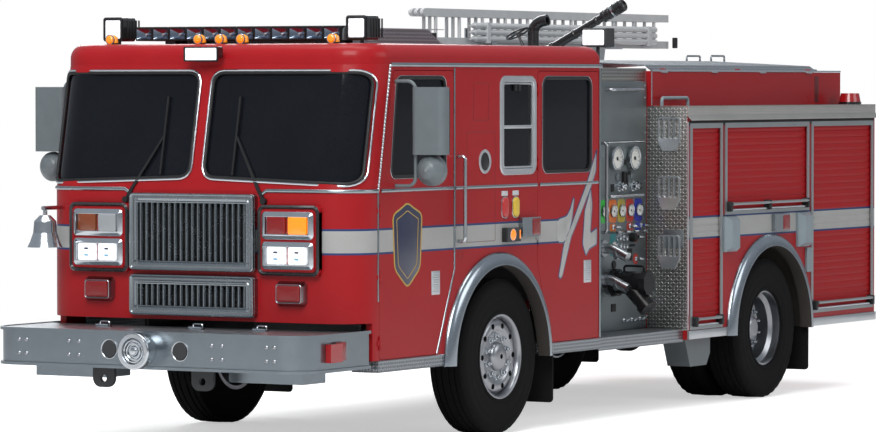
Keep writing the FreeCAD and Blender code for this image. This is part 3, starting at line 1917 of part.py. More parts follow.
# Mirrors: a bent tube on the front door that holds a tall head and a round one
def mirror_parts():
    x = axle_x + d.mirror_ahead
    door_face = d.cab_half + d.seat_gap
    bend = d.mirror_tube_radius * 5
    tube = pipe(
        "front",
        [
            (door_face, d.mirror_tube_foot),
            (d.mirror_tube_half, d.mirror_tube_foot, bend),
            (d.mirror_tube_half, d.mirror_tube_top, bend),
            (door_face, d.mirror_tube_top),
        ],
        d.mirror_tube_radius,
        x,
        "MirrorTube",
    )
    half = d.mirror_head_wide / 2
    low_y, high_y = d.mirror_centre_half - half, d.mirror_centre_half + half
    deep = (x - d.mirror_head_thick / 2, x + d.mirror_head_thick / 2)
    corner = d.mirror_head_thick / 4
    top = d.mirror_head_foot + d.mirror_head_tall
    head = prism(
        "top",
        [
            (deep[0], low_y, corner / 2),
            (deep[1], low_y, corner * 1.8),
            (deep[1], high_y, corner * 1.8),
            (deep[0], high_y, corner / 2),
        ],
        d.mirror_head_foot,
        top,
        "MirrorHead",
    )
    round_half = d.convex_tall / 2
    bowl = turned(
        "side",
        [
            (-round_half / 2, 0),
            (-round_half / 2, round_half),
            (0, round_half, round_half / 3),
            (round_half / 2, round_half * 0.55, round_half / 3),
            (round_half * 0.7, 0),
        ],
        "x",
        (x, d.mirror_centre_half, d.convex_foot + round_half),
        "ConvexMirror",
    )
    return fuse([tube, head, bowl], "MirrorParts")


mirror_left = node("mirror_left", mirror_parts())
node("mirror_right", mirror(mirror_left))


# Seats, dashboard and steering wheel
def seat(x, y, facing):
    """One seat; facing is 1 for forward and -1 for backward."""
    half = d.seat_wide / 2
    deep = d.seat_deep * facing
    back = d.seat_cushion * facing
    profile = [
        (x, d.seat_height - d.seat_cushion),
        (x + deep, d.seat_height - d.seat_cushion),
        (x + deep, d.seat_height),
        (x + back, d.seat_height),
        (x + back * 0.5, d.seat_height + d.seat_back_tall),
        (x, d.seat_height + d.seat_back_tall),
    ]
    cushion = prism("side", profile, y - half, y + half, "SeatCushion")
    foot_x = (x, x + deep) if facing > 0 else (x + deep, x)
    foot = box(
        foot_x,
        (y - half / 2, y + half / 2),
        (d.floor_height + d.seat_gap, d.seat_height - d.seat_cushion),
        "SeatBase",
    )
    return fuse([cushion, foot], "Seat")


def seats():
    side = (d.tunnel_half + wall_in) / 2 + d.seat_gap
    front = axle_x + d.arch_ahead + d.tub_radius + d.seat_gap * 2
    parts = []
    for y in (side, -side):
        parts.append(seat(front + d.overrun, y, 1))
        parts.append(seat(cab_back + d.cab_wall + d.overrun, y, 1))
    return group(parts, "Seats")


node("cab_seats", seats())


def dashboard():
    back = cab_front - d.front_round + d.cab_wall / 2
    face = back - d.dash_deep / 2
    top = d.dash_top
    side = wall_in - d.front_round / 2
    sill = d.tunnel_top + d.seat_gap
    panel = prism(
        "side",
        [
            (face, sill),
            (back, sill),
            (back, top),
            (face + d.cab_wall, top, d.overrun),
            (face, top - d.cab_wall * 1.5, d.overrun),
        ],
        -side,
        side,
        "DashPanel",
    )
    centre = (face - d.steering_wheel_radius * 0.6, (d.tunnel_half + wall_in) / 2, sill + d.cab_wall * 2)
    rim = torus("z", d.steering_wheel_radius, d.steering_rim_radius, (0, 0, 0), "SteeringRim")
    spokes = box(
        (-d.steering_rim_radius, d.steering_rim_radius),
        (-d.steering_wheel_radius, d.steering_wheel_radius),
        (-d.steering_rim_radius / 2, d.steering_rim_radius / 2),
        "SteeringSpoke",
    )
    hub = cylinder(
        "z",
        d.steering_rim_radius * 3,
        (0, 0, -d.steering_rim_radius),
        d.steering_rim_radius * 2,
        "SteeringHub",
    )
    column = cylinder(
        "z",
        d.steering_rim_radius,
        (0, 0, -d.steering_wheel_radius * 1.2),
        d.steering_wheel_radius * 1.2,
        "SteeringColumn",
    )
    wheel = moved(
        fuse([rim, spokes, hub, column]),
        centre,
        Rotation(Vector(0, -1, 0), number(d.steering_lean)),
        "SteeringWheel",
    )
    wheel.setExpression("Placement.Rotation.Angle", d.steering_lean.text)
    nose_back = cab_front - d.cab_wall * 1.5 - d.front_round - d.seat_gap
    column_y = (centre[1] - d.steering_rim_radius * 4, centre[1] + d.steering_rim_radius * 4)
    console = box(
        (face, nose_back),
        column_y,
        (sill - d.steering_wheel_radius * 0.8, sill + d.cab_wall),
        "SteeringConsole",
    )
    return fuse([panel, console, wheel], "Dashboard")


node("dashboard", dashboard())


# Roof fittings: light bar, spot lamps, marker lamps, brow lamp and the treadplate box
def light_bar():
    x = axle_x + d.light_bar_ahead
    half = d.light_bar_wide / 2
    low, top = d.light_bar_foot, d.light_bar_foot + d.light_bar_tall
    section = [
        (x - half, low),
        (x + half, low),
        (x + half, low + d.light_bar_tall * 0.35),
        (x + half * 0.9, top, d.light_bar_tall * 0.2),
        (x - half * 0.9, top, d.light_bar_tall * 0.2),
        (x - half, low + d.light_bar_tall * 0.35),
    ]
    parts = []
    inner = d.light_bar_half - d.light_bar_end
    count = 11
    pitch = inner * 2 / count
    for index in range(count):
        start = -inner + pitch * index
        parts.append(
            prism("side", section, start + d.lens_gap / 4, start + pitch - d.lens_gap / 4, "LightModule")
        )
    inset = d.lens_gap / 2
    core_section = [
        (x - half + inset, low),
        (x + half - inset, low),
        (x + half - inset, low + d.light_bar_tall * 0.3),
        (x + half * 0.85, top - inset * 2),
        (x - half * 0.85, top - inset * 2),
        (x - half + inset, low + d.light_bar_tall * 0.3),
    ]
    parts.append(prism("side", core_section, -inner, inner, "LightBarCore"))
    for start in (-d.light_bar_half, inner + d.lens_gap / 4):
        parts.append(prism("side", section, start, start + d.light_bar_end - d.lens_gap / 4, "LightBarEnd"))
    core_ends = prism(
        "side",
        core_section,
        -d.light_bar_half + d.lens_gap,
        d.light_bar_half - d.lens_gap,
        "LightBarSpine",
    )
    parts.append(core_ends)
    for side in (-1, 1):
        foot_y = inner * 0.8 * side
        foot = box(
            (x - half / 2, x + half / 2),
            (foot_y - d.light_bar_end / 2, foot_y + d.light_bar_end / 2),
            (d.roof_height + d.seat_gap, low + d.lens_gap),
            "LightBarFoot",
        )
        parts.append(foot)
    return fuse(parts, "LightBar")


node("light_bar", light_bar())


def spot_lamp():
    x = axle_x + d.spot_ahead
    half = d.spot_size / 2
    corner = d.spot_size / 8
    low = d.spot_foot
    housing = prism(
        "front",
        [
            (d.spot_half - half, low, corner),
            (d.spot_half + half, low, corner),
            (d.spot_half + half, low + d.spot_size, corner),
            (d.spot_half - half, low + d.spot_size, corner),
        ],
        x,
        x + d.spot_deep,
        "SpotHousing",
    )
    shell = cone(
        "x",
        half * 0.5,
        half,
        (x - d.spot_deep / 2, d.spot_half, low + half),
        d.spot_deep / 2,
        "SpotBack",
    )
    stem = cylinder(
        "z",
        d.rail_tube_radius,
        (x + d.spot_deep / 2, d.spot_half, d.roof_height + d.seat_gap),
        low - d.roof_height + corner,
        "SpotStem",
    )
    return fuse([housing, shell, stem], "SpotLamp")


def roof_lamp(y):
    radius = d.roof_lamp_radius
    profile = [
        (0, 0),
        (radius, 0),
        (radius, d.roof_lamp_tall * 0.3),
        (radius * 0.9, d.roof_lamp_tall * 0.75, radius / 4),
        (radius * 0.4, d.roof_lamp_tall),
        (0, d.roof_lamp_tall),
    ]
    return turned(
        "side",
        profile,
        "z",
        (axle_x + d.roof_lamp_ahead, y, d.roof_height + d.seat_gap),
        "RoofLamp",
    )


def brow_lamp():
    y = d.brow_lamp_half
    low = d.brow_lamp_foot
    back = screen_top_front + d.seat_gap
    lamp = prism(
        "front",
        [
            (-y, low, d.lens_gap),
            (y, low, d.lens_gap),
            (y, low + d.brow_lamp_tall, d.lens_gap),
            (-y, low + d.brow_lamp_tall, d.lens_gap),
        ],
        back + d.brow_lamp_deep * 0.4,
        back + d.brow_lamp_deep,
        "BrowLamp",
    )
    stem_high = d.roof_height - d.roof_round
    stem = box(
        (back, back + d.brow_lamp_deep * 0.5),
        (-y / 2, y / 2),
        (d.gutter_height + d.overrun, stem_high),
        "BrowStem",
    )
    return fuse([lamp, stem], "BrowLampParts")


def side_lamp(back, long, low, tall):
    """A lamp in its housing on the vehicle's flat side."""
    start = d.cab_half + d.seat_gap
    proud = d.marker_proud
    corner = d.lens_gap
    housing = prism(
        "top",
        [
            (back, start),
            (back + long, start),
            (back + long, start + proud, corner),
            (back, start + proud, corner),
        ],
        low,
        low + tall,
        "SideLamp",
    )
    return housing


def beacon():
    x = body_back + d.beacon_inset
    y = d.body_half - d.beacon_inset
    foot = d.body_top + d.seat_gap
    base = cylinder("z", d.beacon_radius, (x, y, foot), d.beacon_base, "BeaconBase")
    dome = cone(
        "z",
        d.beacon_radius * 0.95,
        d.beacon_radius * 0.8,
        (x, y, foot + d.beacon_base),
        d.beacon_tall,
        "BeaconDome",
    )
    return fuse([base, dome], "Beacon")


def rear_lamps():
    parts = []
    for row in range(3):
        low = d.rear_lamp_foot + (d.rear_lamp_tall + d.lens_gap) * row
        half = d.rear_lamp_wide / 2
        lamp = prism(
            "front",
            [
                (d.rear_lamp_half - half, low, d.lens_gap),
                (d.rear_lamp_half + half, low, d.lens_gap),
                (d.rear_lamp_half + half, low + d.rear_lamp_tall, d.lens_gap),
                (d.rear_lamp_half - half, low + d.rear_lamp_tall, d.lens_gap),
            ],
            body_back - d.rear_lamp_proud - d.seat_gap,
            body_back - d.seat_gap,
            "RearLamp",
        )
        parts.append(lamp)
    return parts


lamps = both_sides(red_lamp()) + both_sides(spot_lamp()) + [brow_lamp()] + both_sides(beacon())
for piece in rear_lamps():
    lamps += both_sides(piece)
for share in (-1, 0, 1):
    lamps.append(roof_lamp(d.roof_lamp_inner * share))
for share in (-1, 1):
    lamps.append(roof_lamp(d.roof_lamp_outer * share))
cab_marker = side_lamp(
    axle_x - d.cab_marker_behind - d.cab_marker_long, d.cab_marker_long, d.cab_marker_foot, d.cab_marker_tall
)
amber_marker = side_lamp(
    axle_x - d.amber_lamp_behind, d.amber_lamp_long, d.amber_lamp_foot, d.amber_lamp_tall
)
body_marker = side_lamp(
    body_back + d.body_marker_inset, d.cab_marker_long, d.body_marker_foot, d.cab_marker_tall
)
bumper_marker = box(
    (axle_x + d.bumper_marker_ahead, axle_x + d.bumper_marker_ahead + d.marker_long),
    (d.bumper_half + d.seat_gap, d.bumper_half + d.marker_proud),
    (d.siren_height - d.marker_tall / 2, d.siren_height + d.marker_tall / 2),
    "BumperMarker",
)
for piece in (cab_marker, body_marker, amber_marker, bumper_marker):
    lamps += both_sides(piece)
node("marker_and_warning_lamps", group(lamps, "Lamps"))


def roof_box():
    foot = d.roof_height + d.seat_gap
    top = d.roof_box_top
    front = axle_x + d.roof_box_front_ahead
    back = axle_x - d.roof_box_back_behind
    outer = prism(
        "side",
        [(back, foot), (front, foot), (front, top), (back + d.roof_box_slant, top)],
        -d.roof_box_half,
        d.roof_box_half,
        "RoofBox",
    )
    return outer


node("roof_treadplate_box", roof_box())


# Windscreen wipers: a pivot, an arm and a blade on each half
def wiper():
    """The arm and blade lie just ahead of the leaning glass."""
    foot = (d.wiper_pivot_half, d.belt_height - d.wiper_pivot_drop)
    slope = d.front_lean / (d.gutter_height - d.belt_height)
    tip = (foot[0] - d.wiper_sweep, d.belt_height + d.wiper_reach)
    thick = d.wiper_thick
    arm = prism(
        "front",
        [
            (foot[0] - thick, foot[1]),
            (foot[0] + thick, foot[1]),
            (tip[0] + thick / 2, tip[1]),
            (tip[0] - thick / 2, tip[1]),
        ],
        cab_front + d.seat_gap - d.front_lean,
        cab_front + d.wiper_pivot_proud,
        "WiperArmBlank",
    )
    blade_half = d.wiper_blade_long / 2
    blade = prism(
        "front",
        [
            (tip[0] - thick / 2, tip[1] - blade_half),
            (tip[0] + thick / 2, tip[1] - blade_half),
            (tip[0] + thick / 2, tip[1] + blade_half),
            (tip[0] - thick / 2, tip[1] + blade_half),
        ],
        cab_front + d.seat_gap - d.front_lean * 2,
        cab_front + d.wiper_pivot_proud,
        "WiperBladeBlank",
    )
    layer_out = cab_volume(-d.wiper_thick - d.seat_gap, d.cab_bottom, d.gutter_height)
    layer_in = cab_volume(-d.seat_gap, d.cab_bottom, d.gutter_height)
    swept = common(fuse([arm, blade]), cut(layer_out, layer_in), "WiperLayer")
    pivot = cylinder(
        "x",
        d.wiper_thick * 1.5,
        (cab_front + d.seat_gap, foot[0], foot[1]),
        d.wiper_pivot_proud,
        "WiperPivot",
    )
    return fuse([swept, pivot], "Wiper")


node("windscreen_wipers", group(both_sides(wiper()), "Wipers"))


frame_slot_top = rail_top + d.seat_gap

# Pumper body: lockers down both sides, an open hosebed between them and the rear wheel wells
front_locker = (body_front - d.locker_front_gap - d.front_locker_long, body_front - d.locker_front_gap)
middle_locker = (front_locker[0] - d.locker_post - d.middle_locker_long, front_locker[0] - d.locker_post)
back_locker = (body_back + d.locker_front_gap, middle_locker[0] - d.locker_post)
lockers = [
    (front_locker, d.front_locker_foot),
    (middle_locker, d.middle_locker_foot),
    (back_locker, d.back_locker_foot),
]


def pumper_body():
    outer = prism(
        "front",
        [
            (-d.body_half, d.body_foot),
            (d.body_half, d.body_foot),
            (d.body_half, d.body_top),
            (d.bed_half, d.body_top),
            (d.bed_half, d.bed_top),
            (-d.bed_half, d.bed_top),
            (-d.bed_half, d.body_top),
            (-d.body_half, d.body_top),
        ],
        body_back,
        body_front,
        "BodyBlank",
    )
    cutters = []
    for (low_x, high_x), foot in lockers:
        open_y = d.body_half + d.overrun
        low = box(
            (low_x, high_x),
            (d.deep_locker_inner, open_y),
            (foot, d.bed_floor - d.bed_wall),
            "LockerLow",
        )
        high = box((low_x, high_x), (d.upper_locker_inner, open_y), (foot, d.locker_top), "LockerHigh")
        cutters += both_sides(low) + both_sides(high)
    slot_y = (-d.frame_slot_half, d.frame_slot_half)
    ends = (body_back - d.overrun, body_front + d.overrun)
    cutters.append(box(ends, slot_y, (d.body_foot - d.overrun, frame_slot_top), "FrameSlot"))
    tank_x = (body_back + d.body_wall, body_front - d.body_wall)
    tank_z = (frame_slot_top + d.body_wall, d.bed_floor - d.body_wall)
    cutters.append(box(tank_x, slot_y, tank_z, "TankSpace"))
    bed_y = (-d.bed_half + d.bed_wall, d.bed_half - d.bed_wall)
    cutters.append(
        box((ends[0], body_front - d.body_wall), bed_y, (d.bed_floor, d.bed_top + d.overrun), "Hosebed")
    )
    wheel_x = rear_axle_x
    cutters += arch_cut(wheel_x, d.rear_tub_radius, d.frame_slot_half - d.overrun, d.body_half - d.cab_wall)
    cutters += arch_cut(wheel_x, d.arch_cut_radius, d.body_half - d.cab_wall - d.overrun, wall_out)
    return cut(outer, cutters, "PumperBody")


cover_span = (body_front - d.body_wall - d.cover_long, body_front - d.body_wall)
cover_hinge_z = d.bed_top + d.seat_gap + d.hinge_barrel_radius
hinge_shares = (0.06, 0.5, 0.94)


def cover_lug(share):
    """A hinge lug that stands on the bed's wall and takes the leaf's pin."""
    middle = cover_span[0] + d.cover_long * share
    half = d.hinge_lug_long / 2
    radius = d.hinge_barrel_radius
    y = d.cover_hinge_half
    ear = cylinder("x", radius, (middle - half, y, cover_hinge_z), half * 2, "LugEar")
    web = box(
        (middle - half, middle + half),
        (y - radius, y + radius),
        (d.bed_top, cover_hinge_z),
        "LugWeb",
    )
    start = middle - half - d.overrun
    bore = cylinder(
        "x",
        d.hinge_pin_radius + d.pin_gap,
        (start, y, cover_hinge_z),
        half * 2 + d.overrun * 2,
        "LugBore",
    )
    return cut(fuse([ear, web], "Lug"), bore, "BoredLug")


lugs = []
for share in hinge_shares:
    lugs += both_sides(cover_lug(share))
node("pumper_body", fuse([pumper_body()] + lugs, "BodyWithLugs"))


# Roller shutters: ribbed slats in bright frames, with lift bars, and the rails round the body
def shutter(low_x, high_x, foot, slats):
    face = d.body_half - d.shutter_inset
    frame = d.shutter_frame
    inner = (low_x + d.seat_gap, high_x - d.seat_gap)
    low, high = foot + d.seat_gap, d.locker_top - d.seat_gap
    pitch = (high - low) / slats
    corners = [(face - d.shutter_thick, high), (face - d.shutter_thick, low)]
    for index in range(slats):
        base = low + pitch * index
        corners.append((face - d.slat_ridge, base))
        corners.append((face, base + pitch * 0.35))
        corners.append((face, base + pitch * 0.85))
    corners.append((face - d.slat_ridge, high))
    curtain = prism("front", corners, inner[0], inner[1], "Curtain")
    ring = prism(
        "side",
        [
            (low_x - frame / 2, foot - frame / 2),
            (high_x + frame / 2, foot - frame / 2),
            (high_x + frame / 2, d.locker_top + frame / 2),
            (low_x - frame / 2, d.locker_top + frame / 2),
        ],
        d.body_half + d.seat_gap,
        d.body_half + d.seat_gap + d.shutter_frame_proud,
        "ShutterFrame",
    )
    opening = prism(
        "side",
        [
            (low_x + frame / 2, foot + frame / 2),
            (high_x - frame / 2, foot + frame / 2),
            (high_x - frame / 2, d.locker_top - frame / 2),
            (low_x + frame / 2, d.locker_top - frame / 2),
        ],
        d.body_half - d.overrun,
        wall_out,
        "ShutterOpening",
    )
    bar_y = face + d.lift_bar_stand
    bar_z = foot + frame * 1.6
    bar_x = (low_x + frame * 1.5, high_x - frame * 1.5)
    bar = cylinder("x", d.lift_bar_radius, (bar_x[0], bar_y, bar_z), bar_x[1] - bar_x[0], "LiftBar")
    stands = []
    for start in (bar_x[0] + frame / 2, bar_x[1] - frame):
        stands.append(
            box(
                (start, start + frame / 2),
                (face - d.slat_ridge, bar_y),
                (bar_z - frame / 3, bar_z + frame / 3),
            )
        )
    handle = fuse([curtain, bar] + stands, "ShutterWithBar")
    return [handle, cut(ring, opening, "OpenFrame")]


def body_rails():
    """The drip rail along the top edge and the rub rail below the lockers."""
    side = d.body_half + d.seat_gap
    drip = prism(
        "front",
        [
            (side, d.drip_rail_foot + d.drip_rail_proud),
            (side + d.drip_rail_proud, d.drip_rail_foot),
            (side + d.drip_rail_proud, d.drip_rail_foot + d.shutter_frame_proud),
            (side + d.shutter_frame_proud, d.drip_rail_foot + d.drip_rail_proud * 1.3),
            (side + d.shutter_frame_proud, d.body_top),
            (side, d.body_top),
        ],
        body_back,
        body_front,
        "DripRail",
    )
    rub_z = (d.rub_rail_foot, d.rub_rail_foot + d.rub_rail_tall)
    rub_y = (side, side + d.rub_rail_proud)
    front_rub = box((rear_axle_x + d.arch_ring_radius + d.panel_gap, body_front), rub_y, rub_z, "RubRail")
    back_rub = box((body_back, rear_axle_x - d.arch_ring_radius - d.panel_gap), rub_y, rub_z, "RubRail")
    return [drip, front_rub, back_rub]


shutters = []
for ((low_x, high_x), foot), slats in zip(lockers, (30, 13, 28)):
    for piece in shutter(low_x, high_x, foot, slats):
        shutters += both_sides(piece)
for piece in body_rails():
    shutters += both_sides(piece)
node("roller_shutters", group(shutters, "Shutters"))


# Hosebed covers: two sloped leaves hinged at their outer edges, each with a lift handle
def cover_leaf():
    start, end = cover_span
    hinge, shoulder = d.cover_hinge_half, d.cover_shoulder_half
    radius = d.hinge_barrel_radius
    thick = d.cover_thick
    centre = d.panel_gap
    section = [
        (hinge - radius, cover_hinge_z - thick / 2),
        (hinge, cover_hinge_z - thick / 2),
        (hinge, cover_hinge_z + thick / 2),
        (hinge - radius, cover_hinge_z + thick / 2),
        (shoulder, d.cover_shoulder_height),
        (centre, d.cover_ridge_height),
        (centre, d.cover_ridge_height - thick),
        (shoulder, d.cover_shoulder_height - thick),
    ]
    leaf = prism("front", section, start, end, "CoverLeaf")
    barrel = cylinder("x", radius, (start, hinge, cover_hinge_z), d.cover_long, "CoverBarrel")
    notches = []
    for share in hinge_shares:
        middle = start + d.cover_long * share
        half = d.hinge_lug_long / 2 + d.panel_gap / 4
        reach = radius * 2
        notches.append(
            box(
                (middle - half, middle + half),
                (hinge - reach, hinge + reach),
                (cover_hinge_z - reach, cover_hinge_z + reach),
            )
        )
    pin = cylinder("x", d.hinge_pin_radius, (start, hinge, cover_hinge_z), d.cover_long, "CoverPin")
    handle_x = body_front - d.cover_handle_behind
    foot = d.cover_ridge_height - thick
    top = foot + d.cover_handle_tall
    half = d.cover_handle_long / 2
    grip = pipe(
        "side",
        [
            (handle_x - half, foot),
            (handle_x - half, top, d.cover_handle_radius * 2),
            (handle_x + half, top, d.cover_handle_radius * 2),
            (handle_x + half, foot),
        ],
        d.cover_handle_radius,
        d.cover_handle_half,
        "CoverHandle",
    )
    notched = cut(fuse([leaf, barrel], "LeafAndBarrel"), notches, "NotchedLeaf")
    return fuse([notched, pin, grip], "Cover")


cover_left = node("hosebed_cover_left", cover_leaf())
node("hosebed_cover_right", mirror(cover_left))


# Pump house between the cab and the body, with an open tray on top
pump_back = body_front + d.seat_gap
pump_front = cab_back - d.pump_gap


def pump_house():
    shell = box(
        (pump_back, pump_front),
        (-d.pump_half, d.pump_half),
        (d.pump_foot, d.pump_lip_top),
        "PumpHouse",
    )
    wall = d.pump_wall
    inside_x = (pump_back + wall, pump_front - wall)
    inside_y = (-d.pump_half + wall, d.pump_half - wall)
    hollow = box(inside_x, inside_y, (d.pump_foot - d.overrun, d.pump_top - wall), "PumpHollow")
    tray = box(inside_x, inside_y, (d.pump_top, d.pump_lip_top + d.overrun), "PumpTray")
    slot_ends = (pump_back - d.overrun, pump_front + d.overrun)
    slot = box(
        slot_ends,
        (-d.frame_slot_half, d.frame_slot_half),
        (d.pump_foot - d.overrun, frame_slot_top),
        "PumpSlot",
    )
    return cut(shell, [hollow, tray, slot], "PumpHouseShell")


node("pump_housing", pump_house())


def pump_panel(with_gauges):
    """The upper and lower plates; the driver's side also carries the gauges."""
    face = d.pump_half + d.seat_gap
    edge = d.overrun
    seam = d.gauge_height + d.gauge_radius + edge * 2
    parts = []
    for low, high in ((d.pump_foot + edge, seam), (seam + edge / 4, d.pump_top)):
        parts.append(
            prism(
                "side",
                [
                    (pump_back + edge, low, edge / 2),
                    (pump_front - edge, low, edge / 2),
                    (pump_front - edge, high, edge / 2),
                    (pump_back + edge, high, edge / 2),
                ],
                face,
                face + d.panel_thick,
                "PumpPlate",
            )
        )
    front_face = face + d.panel_thick
    if with_gauges:
        for index in range(2):
            x = axle_x - d.gauge_front_behind - d.gauge_pitch * index
            parts.append(gauge(x, front_face, d.gauge_height, d.gauge_radius, d.gauge_deep))
        for index in range(5):
            x = axle_x - d.small_gauge_first_behind - d.small_gauge_pitch * index
            parts.append(gauge(x, front_face, d.small_gauge_height, d.small_gauge_radius, d.gauge_deep / 2))
    return fuse(parts, "PumpPanel")


def gauge(x, y, height, radius, deep):
    profile = [
        (0, 0),
        (radius * 0.94, 0),
        (radius, deep * 0.5),
        (radius, deep),
        (radius * 0.88, deep),
        (radius * 0.84, deep * 0.8),
        (0, deep * 0.8),
    ]
    return turned("top", profile, "y", (x, y, height), "Gauge")


node("pump_panels", group([pump_panel(True), mirror(pump_panel(False))], "PumpPanels"))


# Pump fittings: discharge outlets, the large intake, pull handles and grab rails
def outlet(x, height):
    """A short elbow that turns a little downward and ends in a coupling."""
    y = d.pump_half + d.panel_thick + d.seat_gap * 2
    reach, drop = d.outlet_reach, d.outlet_drop
    radius = d.outlet_radius
    flange = cylinder("y", radius * 1.45, (x, y, height), d.gun_flange_thick, "OutletFlange")
    body = pipe(
        "front",
        [(y, height), (y + reach * 0.45, height, radius * 2), (y + reach * 1.2, height - reach * 0.35)],
        radius * 0.85,
        x,
        "OutletElbow",
    )
    ring = cylinder("y", radius, (x, y + reach * 0.62, height - drop), d.gun_flange_thick, "OutletRing")
    return fuse([flange, body, ring], "Outlet")


def intake():
    """A capped barrel straight out of the panel, with a second leg that leaves it downward."""
    x = axle_x - d.intake_behind
    y = d.pump_half + d.panel_thick + d.seat_gap * 2
    radius = d.intake_radius
    height = d.intake_height
    flange = cylinder("y", d.intake_lug_radius, (x, y, height), d.intake_cap_deep, "IntakeFlange")
    barrel = cylinder("y", radius, (x, y, height), d.intake_reach * 0.6, "IntakeBarrel")
    neck = cylinder("y", radius * 0.84, (x, y, height), d.intake_reach, "IntakeNeck")
    cap = capped_end(radius, x, height, y + d.intake_reach - d.intake_cap_deep, "IntakeCap")
    leg = cylinder("z", radius * 0.72, (0, 0, -d.intake_leg_long), d.intake_leg_long, "IntakeLeg")
    leg_cap = cylinder("z", radius * 0.86, (0, 0, -d.intake_leg_long), d.intake_cap_deep, "IntakeLegCap")
    root = (x, y + d.intake_reach * 0.35, height)
    lowered = moved(
        fuse([leg, leg_cap]),
        root,
        Rotation(Vector(1, 0, 0), number(d.intake_leg_lean)),
        "LoweredLeg",
    )
    lowered.setExpression("Placement.Rotation.Angle", d.intake_leg_lean.text)
    grip_top = height + radius * 1.45
    handle = pipe(
        "front",
        [
            (y + d.intake_reach * 0.3, height + radius * 0.6),
            (y + d.intake_reach * 0.3, grip_top, d.handle_radius * 2),
            (y + d.intake_reach * 0.85, grip_top, d.handle_radius * 2),
            (y + d.intake_reach * 0.85, height + radius * 0.6),
        ],
        d.handle_radius,
        x,
        "IntakeHandle",
    )
    return fuse([flange, barrel, neck, cap, lowered, handle], "Intake")


def capped_end(radius, x, height, start, name):
    """An eight-sided cap, as turned by a spanner, at the end of a barrel."""
    corners = []
    for index in range(8):
        turn = math.radians(45 * index + 22.5)
        corners.append((x + radius * 1.1 * math.cos(turn), height + radius * 1.1 * math.sin(turn)))
    return prism("side", corners, start, start + d.intake_cap_deep, name)


def pull_handle(x, height):
    y = d.pump_half + d.panel_thick + d.seat_gap * 2
    stem = cylinder("y", d.handle_radius, (x, y, height), d.handle_reach, "HandleStem")
    grip = cylinder(
        "x",
        d.handle_radius * 1.3,
        (x - d.handle_reach / 3, y + d.handle_reach, height),
        d.handle_reach / 1.5,
    )
    return fuse([stem, grip], "PullHandle")


def grab_rail(middle, height, half_span, y):
    path = [
        (middle - half_span, y),
        (middle - half_span, y + d.rail_stand, d.rail_tube_radius * 2),
        (middle + half_span, y + d.rail_stand, d.rail_tube_radius * 2),
        (middle + half_span, y),
    ]
    return pipe("top", path, d.rail_tube_radius, height, "GrabRail")


def upright_rail():
    """The long rail that stands beside the gauges."""
    foot, out = rail_y, rail_y + d.rail_stand
    bend = d.rail_tube_radius * 2
    path = [
        (foot, d.upright_foot),
        (out, d.upright_foot, bend),
        (out, d.upright_top, bend),
        (foot, d.upright_top),
    ]
    return pipe("front", path, d.rail_tube_radius, axle_x - d.upright_behind, "UprightRail")


rail_middle = (pump_back + pump_front) / 2
rail_y = d.pump_half + d.panel_thick + d.seat_gap * 2
fittings = []
for height in (d.outlet_high, d.outlet_low):
    fittings += both_sides(outlet(axle_x - d.outlet_behind, height))
fittings += both_sides(intake())
for index in range(4):
    handle_x = axle_x - d.small_gauge_first_behind - d.small_gauge_pitch * (index + 0.5)
    fittings.append(pull_handle(handle_x, d.handle_height))
for height in (d.pump_top - d.rail_stand, d.small_gauge_height + d.small_gauge_radius * 2.4):
    fittings += both_sides(grab_rail(rail_middle - d.rail_half_span, height, d.rail_half_span, rail_y))
fittings += both_sides(upright_rail())
node("pump_fittings", group(fittings, "PumpFittings"))


# Body side fittings: two bevelled housings, a plate by the wheel arch and the front corner's rail
def side_housing(behind):
    """A housing whose ends and outer edges slope back to the wall."""
    start = axle_x - behind - d.fitting_wide
    end = axle_x - behind
    wall = d.body_half + d.seat_gap
    slant = d.fitting_slant
    low, top = d.fitting_foot, d.fitting_foot + d.fitting_tall
    from_above = prism(
        "top",
        [
            (start, wall),
            (end, wall),
            (end, wall + d.fitting_proud / 3, d.lens_gap),
            (end - slant, wall + d.fitting_proud, d.lens_gap),
            (start + slant / 2, wall + d.fitting_proud, d.lens_gap),
            (start, wall + d.fitting_proud / 3, d.lens_gap),
        ],
        low,
        top,
        "HousingPlan",
    )
    outer = wall + d.fitting_proud + d.overrun
    from_side = prism(
        "front",
        [
            (wall - d.overrun, low),
            (wall + d.fitting_proud / 3, low),
            (outer, low + slant),
            (outer, top - slant),
            (wall + d.fitting_proud / 3, top),
            (wall - d.overrun, top),
        ],
        start - d.overrun,
        end + d.overrun,
        "HousingSide",
    )
    return common(from_above, from_side, "SideHousing")


def fitting_plate():
    end = axle_x - d.fitting_plate_behind
    wall = d.body_half + d.seat_gap
    corner = d.lens_gap / 2
    low, top = d.fitting_plate_foot, d.fitting_plate_foot + d.fitting_plate_tall
    outline_corners = [
        (end - d.fitting_plate_wide, low, corner),
        (end, low, corner),
        (end, top, corner),
        (end - d.fitting_plate_wide, top, corner),
    ]
    return prism("side", outline_corners, wall, wall + d.fitting_plate_proud, "FittingPlate")


def corner_rail():
    foot = d.body_top + d.seat_gap
    top = foot + d.rail_stand
    end = body_front - d.corner_rail_inset
    start = end - d.corner_rail_long
    bend = d.rail_tube_radius * 2
    path = [(start, foot), (start, top, bend), (end, top, bend), (end, foot)]
    return pipe("side", path, d.rail_tube_radius, d.corner_rail_half, "CornerRail")


side_fittings = []
for behind in (d.fitting_front_behind, d.fitting_second_behind):
    side_fittings += both_sides(side_housing(behind))
side_fittings += both_sides(fitting_plate())
side_fittings += both_sides(corner_rail())
node("body_side_fittings", group(side_fittings, "BodySideFittings"))


